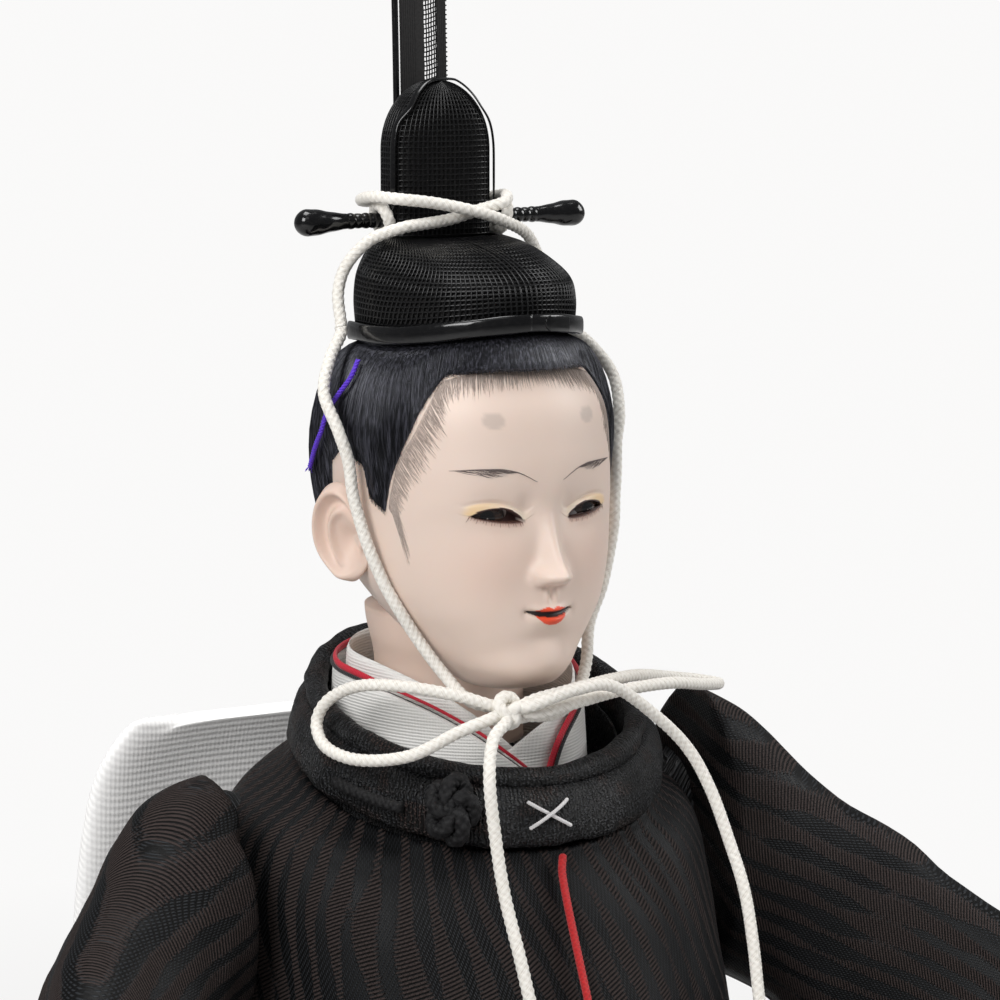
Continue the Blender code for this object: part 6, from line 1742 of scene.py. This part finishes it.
def hair_columns(turn, count):
    """Columns of hair from the crown down to the cut edge, thinned towards it, in millimetres."""
    whole = form_points(HAIR_ROWS, HEAD_SIZES, turn, 260)
    result = np.empty((count, len(turn), 3))
    for j in range(len(turn)):
        column = whole[:, j]
        cut = inside_window(column[:, 1], column[:, 2])
        stop = len(cut) - 1 if not cut.any() else max(2, int(np.argmax(cut)))
        places = np.linspace(0, stop, count)
        for axis in range(3):
            result[:, j, axis] = np.interp(places, np.arange(len(column)), column[:, axis])
    gap = window_gap(result[..., 1], result[..., 2])
    keep = ramp(gap, -1.2, 5.5)
    for i in range(count):
        for j in range(len(turn)):
            if keep[i, j] < 0.999:
                place = result[i, j] + HEAD_CENTRE
                hit, normal, _, far = face_tree.find_nearest(Vector(place * MM))
                skin = np.array(hit) / MM
                thick = max(0.35, float(np.linalg.norm(place - skin)) * keep[i, j])
                result[i, j] = skin + np.array(normal) * thick - HEAD_CENTRE
    return result


HAIR_BASE_TURNS, STRANDS, STRAND_POINTS = 540, 2400, 20
silk_hair = hair_material()
outer = hair_columns(full_turn(HAIR_BASE_TURNS), 48)
inner = outer * np.array((0.955, 0.955, 0.99)) - np.array((0, 0, 0.4))
base = grid_mesh("hair_base", (np.concatenate((outer, inner[::-1])) + HEAD_CENTRE) * MM, silk_hair)
settle(base, "head", "hair", "hair")
draw = np.random.default_rng(19)
turn = full_turn(STRANDS) + draw.normal(0, 0.0012, STRANDS)
columns = hair_columns(turn, STRAND_POINTS)
strands = {"right": [], "left": []}
for j, angle in enumerate(turn):
    outward = np.array((math.sin(angle), -math.cos(angle), 0.0))
    column = columns[:, j] + outward * draw.uniform(-0.03, 0.12)
    last = column[-1] - column[-2]
    column[-1] += last / (np.linalg.norm(last) + 1e-9) * draw.uniform(-0.3, 0.9)
    size = np.full(STRAND_POINTS, draw.uniform(0.11, 0.17)) * MM
    size[-1] *= 0.4
    strands["left" if outward[0] > 0 else "right"].append(((column + HEAD_CENTRE) * MM, size))
# two pieces, because one would be over 200,000 triangles
for label, own in strands.items():  # two pieces, one for each side of the head; together they hold over 200,000 triangles
    line_tubes("hair_strands_" + label, [line for line, _ in own], [size for _, size in own], silk_hair, 3,
               "head", "hair")

# %% [markdown]
# A purple cord ties the hair behind the near ear. It is three plies twisted round each other, ending in a
# few loose threads.

# %% Purple cord at the hair
PURPLE_DIAMETER, PLIES, TWIST_PITCH = 0.85, 3, 2.2
PLY_WIDTH, TASSEL_WIDTH, TASSEL_THREADS = 0.46 * MM, 0.11 * MM, 16
points = smooth_path(HAIR_CORD_ROUTE, 0.16, 1.0)
sides, ups, _ = path_frames(points)
reach = distance_along(points)
lines = []
for k in range(PLIES):
    angle = 2 * math.pi * (reach / (PURPLE_DIAMETER * TWIST_PITCH) + k / PLIES)
    round_way = sides * np.cos(angle)[:, None] + ups * np.sin(angle)[:, None]
    lines.append((points + round_way * PURPLE_DIAMETER * 0.25) * MM)
widths = [PLY_WIDTH] * len(lines)
tip = points[-1]
way = points[-1] - points[-5]
way /= np.linalg.norm(way)
for _ in range(TASSEL_THREADS):
    spread = draw.normal(0, 0.32, 3)
    t = np.linspace(0, 1, 6)[:, None]
    lines.append((tip - way * 0.3 + (way * 1.5 + spread) * t + spread * 0.3 * t ** 2) * MM)
    widths.append(TASSEL_WIDTH)
line_tubes("hair_cord_twist", lines, widths, cord_purple, 6, "head", "purple_cord", "hair_cord")

# %% [markdown]
# ## The court cap
# The cap is horsehair gauze stretched over a form and stiffened with black lacquer, so its openings
# stay open and every thread catches a small light. Warp and weft are laid over the same form as the
# solid, with a dark lining behind them. Rim, edge strip and pin are thick lacquer.

# %% Lacquer and gauze materials
def lacquer_material(name, roughness, wave, depth, coat=1.0):
    """Thick black lacquer, brushed on by hand, with soft unevenness under a glassy top."""
    material, tree, shader = principled(name, (0.008, 0.008, 0.009), roughness, Coat_Weight=coat, Coat_Roughness=0.06,
                                        Coat_IOR=1.35)
    shader.inputs["Specular IOR Level"].default_value = 0.22
    coords = tree.nodes.new("ShaderNodeTexCoord")
    noise = make_node(tree, "ShaderNodeTexNoise", Scale=wave, Detail=2.0)
    fine = make_node(tree, "ShaderNodeTexNoise", Scale=1600.0, Detail=3.0)
    for item in (noise, fine):
        wire(tree, coords.outputs["Object"], item.inputs["Vector"])
    wire(tree, colour_mix(tree, smooth_step(tree, fine.outputs[0], 0.5, 0.8), (0.003, 0.003, 0.0035),
                          (0.009, 0.0085, 0.0085)), shader.inputs["Base Color"])
    bump(tree, shader, noise.outputs[0], depth, 0.8)
    return material


lacquer = lacquer_material("black_lacquer", 0.22, 260.0, 0.00035)
thread_lacquer = lacquer_material("lacquered_thread", 0.34, 900.0, 0.00008, 0.35)


def lining_material():
    """Black ramie behind the gauze, seen through its openings."""
    material, tree, shader = principled("gauze_lining", (0.012, 0.011, 0.011), 0.85)
    coords = tree.nodes.new("ShaderNodeTexCoord")
    noise = make_node(tree, "ShaderNodeTexNoise", Scale=2000.0, Detail=3.0)
    wire(tree, coords.outputs["Object"], noise.inputs["Vector"])
    wire(tree, colour_mix(tree, noise.outputs[0], (0.004, 0.004, 0.004), (0.022, 0.020, 0.020)),
         shader.inputs["Base Color"])
    bump(tree, shader, noise.outputs[0], 0.00003, 0.5)
    return material


gauze_lining = lining_material()

# %% Cap bowl and crest
CAP_ROWS = np.array((
    (1.00, 0.00, 1.00, 0.00, 0.00, 1.00, 0.00), (1.00, 0.28, 1.02, 0.00, 0.31, 1.03, 0.34),
    (0.955, 0.53, 0.985, -0.02, 0.58, 1.01, 0.64), (0.78, 0.74, 0.86, -0.09, 0.79, 0.96, 0.86),
    (0.48, 0.91, 0.75, -0.18, 0.93, 0.87, 0.96), (0.10, 1.00, 0.62, -0.26, 1.00, 0.72, 1.00)))
RIM_FRONT, RIM_BACK, RIM_HALF, RIM_RISE, RIM_CENTRE = 29.3, 17.4, 18.2, 28.2, 6.0
CAP_TOP, RIM_THICK, RIM_HIGH = 43.0, 1.3, 3.0


def cap_grid(angles, count, out=0.0):
    """Points of the bowl's outside: rows from foot to top, in millimetres in the frame."""
    rows = []
    for front, front_up, wide, shift, side_up, back, back_up in CAP_ROWS:
        heights = [foot + (CAP_TOP - foot) * share for foot, share in
                   ((RIM_RISE + 2.9, front_up), (RIM_RISE, side_up), (RIM_RISE - 2.6, back_up))]
        rows.append(((RIM_FRONT - RIM_THICK) * front, heights[0], (RIM_HALF - RIM_THICK) * wide,
                     -RIM_CENTRE - RIM_FRONT * shift, heights[1], (RIM_BACK - RIM_THICK) * back, heights[2]))
    rows = smooth_rows(np.array(rows), count)
    fd, fh, hw, sd, sh, bd, bh = (rows[:, i:i + 1] for i in range(7))
    angles = np.broadcast_to(angles, (count, np.shape(angles)[-1]))
    ahead = np.cos(angles)
    x = hw * np.sin(angles)
    y = np.where(ahead >= 0, sd - (fd + sd) * ahead, sd - (bd - sd) * ahead)
    z = sh + (np.where(ahead >= 0, fh, bh) - sh) * ahead ** 2 + 179.0
    grid = np.stack((x, y, z), axis=2)
    if out:
        down = np.gradient(grid, axis=0)
        round_way = np.gradient(grid, axis=1)
        normal = np.cross(round_way, down)
        normal = unit(normal, 1e-9)
        middle = np.array((0, -RIM_CENTRE, 205.0))
        normal *= np.sign((normal * (grid - middle)).sum(axis=2, keepdims=True))
        grid = grid + normal * out
    return grid


def round_lines(grid, every):
    """Closed lines round a grid, at every so many rows."""
    return [np.vstack((row, row[:1])) * MM for row in grid[::every]]


turns = np.linspace(0, 2 * np.pi, 241)[:-1]
bowl = cap_grid(turns, 60, -0.55)
shell = grid_mesh("cap_lining", bowl * MM, gauze_lining)
settle(shell, "head", "gauze", "cap_bowl")
fine = cap_grid(turns, 49, -0.18)
lines = round_lines(fine, 2)
warp = 118
steps = np.linspace(0, 1, 36)
for k in range(warp):
    base = 2 * np.pi * k / warp
    drift = base + 0.42 * steps * np.sin(base) ** 2 + 0.06 * np.sin(base * 3) * steps
    column = np.empty((36, 3))
    whole = cap_grid(drift, 36, -0.12)
    column[:] = whole[np.arange(36), np.arange(36)]
    lines.append(column * MM)
widths = [0.42 * MM] * (len(lines) - warp) + [0.38 * MM] * warp
line_tubes("cap_gauze", lines, widths, thread_lacquer, 5, "head", "gauze")


def crest_loop(share, angles, inset=0.0):
    """Level ring of the crest, in millimetres."""
    rise = max(0.0, (share - 0.55) / 0.45)
    wide = math.sqrt(max(0.0, 1 - rise ** 2))
    deep = 1 - 0.45 * rise ** 3
    half_width = max(9.2 * wide - inset, 9.2 * 0.055)
    half_depth = max(4.8 * deep - inset, 9.6 * 0.055)
    height = 179 + 43.3 + share * (25.5 - inset)
    a, b = np.cos(angles), np.sin(angles)
    a = np.sign(a) * np.abs(a) ** 0.55
    b = np.sign(b) * np.abs(b) ** 0.55
    return np.stack((half_width * a, 4.5 + half_depth * b, np.full(len(angles), height)), axis=1)


def crest_angles(count):
    """Angles that lie evenly along the crest's flat sides."""
    fine = np.linspace(0, 2 * np.pi, 2001)
    loop = crest_loop(0.2, fine)
    reach = distance_along(loop)
    return np.interp(np.linspace(0, reach[-1], count + 1)[:-1], reach, fine)


levels = np.concatenate((np.linspace(0, 0.55, 16)[:-1], 0.55 + 0.45 * np.sin(np.linspace(0, math.pi / 2, 22))))
around = crest_angles(160)
inner = np.array([crest_loop(level, around, 0.45) for level in levels])
shell = grid_mesh("crest_lining", inner * MM, gauze_lining)
settle(shell, "head", "gauze", "cap_crest")
reach = np.concatenate(([0], np.cumsum(np.linalg.norm(np.diff(np.array(
    [crest_loop(level, np.array((0.0,)))[0] for level in levels]), axis=0), axis=1))))
even = np.interp(np.arange(0, reach[-1], 0.92), reach, levels)
lines = [np.vstack((ring, ring[:1])) * MM for ring in (crest_loop(level, around, 0.14) for level in even)]
widths = [0.34 * MM] * len(lines)
for angle in crest_angles(58):
    lines.append(np.array([crest_loop(level, np.array((angle,)), 0.10)[0] for level in levels]) * MM)
    widths.append(0.30 * MM)
line_tubes("crest_gauze", lines, widths, thread_lacquer, 5, "head", "gauze")

# %% Rim, edge strip and pin
turns = np.linspace(0, 2 * np.pi, 361)
foot = cap_grid(turns, 3)[0]
middle = np.array((0, -RIM_CENTRE, 0))
outward = foot * np.array((1, 1, 0)) - middle
outward = unit(outward)
line = foot + outward * (0.3 + RIM_THICK / 2)
angle = full_turn(20)
a = np.sign(np.cos(angle)) * np.abs(np.cos(angle)) ** 0.62
b = np.sign(np.sin(angle)) * np.abs(np.sin(angle)) ** 0.62
seam = ramp(np.degrees(turns), 18.0, 24.0)
swell = 0.10 * (ripple(line, 14.0, 41) + 0.4 * ripple(line, 4.0, 42))
thick = RIM_THICK / 2 * (1 + 0.35 * hump(np.degrees(turns), 27, 9)) + swell * 0.5
high = RIM_HIGH / 2 * (1 + 0.05 * ripple(line, 10.0, 43))
rim_grid = (line[:, None, :] + outward[:, None, :] * (a[None, :] * thick[:, None])[..., None]
            + np.array((0, 0, 1.0)) * (b[None, :] * high[:, None])[..., None])
rim = grid_mesh("cap_rim_lacquer", rim_grid * MM, lacquer)
tab_turns = np.radians(np.linspace(8, 26, 50))
tab_foot = cap_grid(tab_turns, 3)[0]
tab_out = tab_foot * np.array((1, 1, 0)) - middle
tab_out = unit(tab_out)
tab_line = tab_foot + tab_out * (0.3 + RIM_THICK + 0.02)
tip = np.sqrt(np.clip((np.linspace(0, 1, 50)) / 0.16, 0, 1))
tab_grid = (tab_line[:, None, :] + tab_out[:, None, :] * (a[None, :] * 0.22 * tip[:, None])[..., None]
            + np.array((0, 0, 1.0)) * (b[None, :] * 1.35 * tip[:, None])[..., None])
tab = grid_mesh("cap_rim_overlap", tab_grid * MM, lacquer)
for item in (rim, tab):
    settle(item, "head", "lacquer", "cap_rim")
strip = smooth_copy("crest_trim", "crest_edge_strip", lacquer, 2)
settle(strip, "head", "lacquer", "crest_trim")


def pin_profile():
    """Radius along the pin from its middle to the knob, in millimetres."""
    place = np.linspace(0, 24.9 + 2.25, 170)
    swell = np.clip((place - 15.5) / (24.9 - 15.5), 0, 1)
    radius = 1.16 + (2.25 - 1.16) * (0.25 * swell + 0.75 * ramp(swell, 0.15, 1.0))
    ribs = ramp(place, 10.2, 11.0) * ramp(-place, -18.5, -17.0)
    radius = radius + ribs * (0.22 * np.abs(np.sin(math.pi * (place - 11.0) / 1.35)) ** 0.6 - 0.08)
    ball = np.sqrt(np.clip(1 - ((place - 24.9) / 2.25) ** 2, 0, 1)) * 2.25
    return place, np.where(place > 24.9, np.maximum(ball, 0.02), radius)


place, radius = pin_profile()
place = np.concatenate((-place[::-1], place[1:]))
radius = np.concatenate((radius[::-1], radius[1:]))
turn = full_turn(36)
wobble = 1 + 0.03 * np.sin(place * 1.7)[:, None] * np.sin(turn * 2 + place[:, None] * 0.5)
pin_grid = np.stack((np.broadcast_to((place + 1.3)[:, None], (len(place), 36)),
                     4.5 + radius[:, None] * np.cos(turn) * wobble,
                     224.8 + radius[:, None] * np.sin(turn) * wobble), axis=2)
pin = grid_mesh("cap_pin_lacquer", pin_grid * MM, lacquer)
settle(pin, "head", "lacquer", "cap_pin")
for side, label, place in ((-1, "right", -9.9), (1, "left", 12.2)):
    turn = np.linspace(0, 2 * np.pi, 25)[:-1]
    ring = np.stack((place + 0.7 * np.sin(turn) * side, 4.5 + 2.5 * np.cos(turn), 224.8 + 2.45 * np.sin(turn)), axis=1)
    item, points = closed_braid("pin_cord_loop_" + label, ring, 2.0, cord_white)
    settle(item, "head", "white_cord", "cap_cord_wrap")
print("cap: rim, strip, pin and loops done")

# %% Plume
def plume_bend(height):
    return 5.0 * np.clip((height - 231.3) / 84.0, 0, None) ** 2


plume_y = 4.5 + 4.8 + 0.3 + 0.7 + (2 * 0.55 + 2 * 0.35) / 2
foot = 222.3 + 0.7 + 0.3
heights = np.linspace(foot, foot + 84.0, 130)
left, right = 0.6 + 0.55 + 0.3 - 4.45, 0.6 + 0.55 + 0.3 + 4.45
lines, widths = [], []
columns = np.concatenate((np.linspace(0.03, 0.50, 11), np.linspace(0.56, 0.72, 4), np.linspace(0.76, 0.96, 6)))
for share in columns:
    wiggle = 0.04 * np.sin(heights * 2.1 + share * 9)
    lines.append(np.stack((left + (right - left) * share + wiggle, plume_y + plume_bend(heights), heights), axis=1) * MM)
    widths.append(0.24 * MM)
for height in np.arange(foot + 0.3, foot + 83.8, 0.78):
    share = np.linspace(0.0, 1.0, 14)
    level = height + 0.9 * (share - 0.5) + 0.25 * np.sin(share * 9)
    level = np.clip(level, foot + 0.15, foot + 83.85)
    lines.append(np.stack((left + (right - left) * share, plume_y + plume_bend(level) + 0.06, level), axis=1) * MM)
    widths.append(0.26 * MM)
line_tubes("plume_gauze", lines, widths, thread_lacquer, 5, "plume", "gauze", "plume")
for start, stop, label in ((0.0, 0.50, "wide"), (0.78, 0.97, "edge")):
    share = np.array((start, stop))
    ring = []
    for thick in (-0.10, 0.10):
        for s in (share if thick < 0 else share[::-1]):
            ring.append(np.stack((np.full(len(heights), left + (right - left) * s),
                                  plume_y + plume_bend(heights) + thick, heights), axis=1))
    band = grid_mesh("plume_band_" + label, np.stack(ring, axis=1) * MM, gauze_lining, smooth=False)
    settle(band, "plume", "gauze")
rod_x = 0.6 + 0.55 + 0.3 - 4.45 - 0.55 - 0.3
rod_line = np.stack((np.full(len(heights), rod_x), plume_y + plume_bend(heights), heights), axis=1)
rod = swept_round("plume_rod_lacquer", rod_line, np.full(130, 0.55), np.full(130, 0.55), lacquer, 20)
settle(rod, "plume", "lacquer", "plume_rod")
print("plume done")

# %% [markdown]
# ## Train, trousers, hands and sword
# These are the quieter pieces: white ribbed silk for the train and the trousers, shell-white hands, a
# wooden baton and a small sword on its hanger. Inside the robe stand a wooden board, a core of wound
# straw, a peg and the arm wire.

# %% Train and trousers
def train_map(places):
    """Ribs lie across the train: one coordinate runs down its length."""
    return np.stack((places[:, 0], places[:, 1] - places[:, 2]), axis=1)


def train_waves(places):
    """Soft folds down the train, in metres."""
    return ripple(places * np.array((1.0, 0.4, 0.4)), 0.030, 51) * 0.0008


def trouser_map(places):
    return np.stack((places[:, 1] - places[:, 2], places[:, 0] * 1.0), axis=1)


def trouser_waves(places):
    return ripple(places * np.array((1.0, 0.3, 1.0)), 0.022, 52) * 0.0007


for node, name, relief, mapping in (("train_panel", "train_silk_panel", train_waves, train_map),
                                    ("trouser_right", "trouser_silk_right", trouser_waves, trouser_map),
                                    ("trouser_left", "trouser_silk_left", trouser_waves, trouser_map)):
    item = smooth_copy(node, name, train_silk, 3, relief, mapping)
    settle(item, "torso", "white_silk", node)
    print(name, len(item.data.polygons), "faces")

# %% Hands, belt and hanger
for side in ("right", "left"):
    item = smooth_copy("hand_" + side, "painted_hand_" + side, shell_skin, 2)
    places = np.empty(len(item.data.vertices) * 3)
    item.data.vertices.foreach_get("co", places)
    tips = np.clip((-0.094 - places.reshape(-1, 3)[:, 1]) / 0.006, 0, 1)[:, None]
    paint_object(item, SKIN * (1 - tips) + SKIN * np.array((1.02, 0.86, 0.82)) * tips)
    settle(item, "torso", "skin", "hand_" + side)


def leather_material():
    """Black lacquered leather with a fine pebble grain."""
    material, tree, shader = principled("belt_black_leather", (0.012, 0.011, 0.011), 0.3, Coat_Weight=0.5, Coat_Roughness=0.12)
    coords = tree.nodes.new("ShaderNodeTexCoord")
    grain = make_node(tree, "ShaderNodeTexVoronoi", Scale=1400.0)
    cloud = make_node(tree, "ShaderNodeTexNoise", Scale=160.0, Detail=3.0)
    for item in (grain, cloud):
        wire(tree, coords.outputs["Object"], item.inputs["Vector"])
    wire(tree, colour_mix(tree, cloud.outputs[0], (0.005, 0.0045, 0.0045), (0.028, 0.024, 0.022)), shader.inputs["Base Color"])
    bump(tree, shader, grain.outputs[0], 0.00005, 0.6)
    return material


def hanger_map(places):
    return np.stack((places[:, 1], places[:, 2]), axis=1)


belt_leather = leather_material()
# Its factor 0.3 is the painted shade between its ribs.
hanger_braid = ribbed_silk("hanger_braid_silk", (0.02, 0.019, 0.021), 0.0006, 0.0001, 0.3, second=0.8)
for node, name, material, mapping, tint in (("belt", "belt_leather_band", belt_leather, None, "belt_leather"),
                                            ("sword_hanger", "sword_hanger_braid", hanger_braid, hanger_map, "black_braid")):
    item = smooth_copy(node, name, material, 2, None, mapping)
    settle(item, "torso", tint, node)
print("hands, belt and hanger done")

# %% Wood, straw, wire and metal
def wood_material():
    """Pale straight-grained wood: the rings are stretched along the length."""
    material, tree, shader = principled("pale_wood", (0.62, 0.45, 0.27), 0.55)
    coords = tree.nodes.new("ShaderNodeTexCoord")
    stretch = make_node(tree, "ShaderNodeMapping")
    stretch.inputs["Scale"].default_value = (1.0, 1.0, 0.10)
    wire(tree, coords.outputs["Object"], stretch.inputs["Vector"])
    ring = make_node(tree, "ShaderNodeTexWave", Scale=260.0, Distortion=3.0, Detail=3.0)
    pore = make_node(tree, "ShaderNodeTexNoise", Scale=2400.0, Detail=3.0)
    for item in (ring, pore):
        wire(tree, stretch.outputs[0], item.inputs["Vector"])
    tone = math_node(tree, "MULTIPLY_ADD", pore.outputs[0], 0.4, math_node(tree, "MULTIPLY", ring.outputs["Fac"], 0.6))
    wire(tree, colour_mix(tree, tone, (0.40, 0.26, 0.14), (0.68, 0.51, 0.32)), shader.inputs["Base Color"])
    bump(tree, shader, pore.outputs[0], 0.00003, 0.5)
    return material


def straw_material():
    """Wound straw: fine stalks round the core and thicker turns of thread."""
    material, tree, shader = principled("wound_straw", (0.60, 0.47, 0.22), 0.7)
    coords = tree.nodes.new("ShaderNodeTexCoord")
    stretch = make_node(tree, "ShaderNodeMapping")
    stretch.inputs["Scale"].default_value = (1.0, 1.0, 0.06)
    wire(tree, coords.outputs["Object"], stretch.inputs["Vector"])
    stalk = make_node(tree, "ShaderNodeTexNoise", Scale=900.0, Detail=2.0)
    wire(tree, stretch.outputs[0], stalk.inputs["Vector"])
    split = tree.nodes.new("ShaderNodeSeparateXYZ")
    wire(tree, coords.outputs["Object"], split.inputs[0])
    turn = math_node(tree, "SINE", math_node(tree, "MULTIPLY", split.outputs[2], 2 * math.pi / 0.006))
    thread = smooth_step(tree, turn, 0.80, 0.97)
    straw = colour_mix(tree, smooth_step(tree, stalk.outputs[0], 0.35, 0.65), (0.28, 0.19, 0.07), (0.66, 0.53, 0.28))
    bound = colour_mix(tree, thread, straw, (0.10, 0.07, 0.04))
    wrap = smooth_step(tree, split.outputs[2], 0.108, 0.112)
    wire(tree, colour_mix(tree, wrap, bound, (0.006, 0.006, 0.007)), shader.inputs["Base Color"])
    bump(tree, shader, math_node(tree, "ADD", stalk.outputs[0], thread), 0.0003, 0.8)
    return material


def metal_material(name, colour, roughness, scale, dark):
    """Metal with fine drawn or polished lines and a little tarnish."""
    material, tree, shader = principled(name, colour, roughness, Metallic=1.0)
    coords = tree.nodes.new("ShaderNodeTexCoord")
    cloud = make_node(tree, "ShaderNodeTexNoise", Scale=scale, Detail=4.0)
    fine = make_node(tree, "ShaderNodeTexNoise", Scale=3200.0, Detail=2.0)
    for item in (cloud, fine):
        wire(tree, coords.outputs["Object"], item.inputs["Vector"])
    wire(tree, colour_mix(tree, smooth_step(tree, cloud.outputs[0], 0.35, 0.6), dark, colour), shader.inputs["Base Color"])
    wire(tree, math_node(tree, "MULTIPLY_ADD", cloud.outputs[0], 0.2, roughness - 0.1), shader.inputs["Roughness"])
    bump(tree, shader, fine.outputs[0], 0.00001, 0.5)
    return material


pale_wood = wood_material()
wound_straw = straw_material()
drawn_iron = metal_material("drawn_iron", (0.30, 0.30, 0.30), 0.45, 300.0, (0.12, 0.09, 0.07))
gilt_brass = metal_material("gilt_brass", (0.78, 0.55, 0.22), 0.28, 260.0, (0.48, 0.30, 0.10))
polished_steel = metal_material("polished_steel", (0.62, 0.62, 0.64), 0.22, 200.0, (0.45, 0.45, 0.47))
for node, name, material, levels, body, tint in (
        ("seat_board", "seat_board_wood", pale_wood, 0, "torso", "wood"),
        ("neck_peg", "neck_peg_wood", pale_wood, 0, "torso", "wood"),
        ("body_core", "body_core_straw", wound_straw, 2, "torso", "straw"),
        ("arm_wire", "arm_wire_iron", drawn_iron, 1, "torso", "wire"),
        ("baton", "baton_wood", pale_wood, 0, "baton", "wood"),
        ("guard", "guard_gilt", gilt_brass, 0, "blade", "brass"),
        ("blade", "blade_steel", polished_steel, 0, "blade", "steel"),
        ("scabbard", "scabbard_lacquer", lacquer, 2, "scabbard", "lacquer"),
        ("plume_socket", "plume_socket_lacquer", lacquer, 1, "head", "lacquer")):
    item = smooth_copy(node, name, material, levels)
    if not levels:
        finish = item.modifiers.new("edges", "BEVEL")
        finish.width = 0.0002
        finish.segments = 2
        finish.limit_method = "ANGLE"
    settle(item, body, tint, node)
print("wood, straw, wire and metal done")

# %% Wrapped hilt
hilt_core = smooth_copy("hilt", "hilt_core_white", thread_white, 1, None, hanger_map)
settle(hilt_core, "blade", "white_cord", "hilt")
grip = world_mesh("hilt")
grip_tree = BVHTree.FromBMesh(grip)
grip.free()
middle = smooth_path(centre_line("hilt", 1, 12)[1:-1], 0.35, 1.0)
sides, ups, _ = path_frames(middle)
run = distance_along(middle)
for way, label in ((1, "over"), (-1, "under")):
    route = []
    for spot, aside, above, reach in zip(middle, sides, ups, run):
        angle = way * reach * 2 * math.pi / 5.0
        ray = aside * math.cos(angle) + above * math.sin(angle)
        far = grip_tree.ray_cast(Vector((spot + ray * 9) * MM), Vector(-ray))[0]
        if far is not None:
            route.append(np.array(far) / MM + ray * 0.30)
    item, _ = braided_cord("hilt_cord_" + label, np.array(route), 1.1 * MM, thread_white, 4, 0.16 * MM, 0.14)
    settle(item, "blade", "white_cord", "hilt")
    print("hilt cord", label, len(route), "points")

# %% Shoulder tucks
wire_line = centre_line("arm_wire", 0, 60)
for side, label in ((-1, "right"), (1, "left")):
    part = wire_line[(side * wire_line[:, 0] > 20) & (side * wire_line[:, 0] < 54)]
    part = smooth_path(part, 0.8, 1.0)
    size = 7.6 + 0.5 * ripple(part, 6.0, 60)
    item = swept_round("shoulder_tuck_" + label, part, size * 1.05, size * 1.1, edge_silk, 40)
    settle(item, "torso", "brocade")
    print("shoulder tuck", label, part[0].round(1), part[-1].round(1))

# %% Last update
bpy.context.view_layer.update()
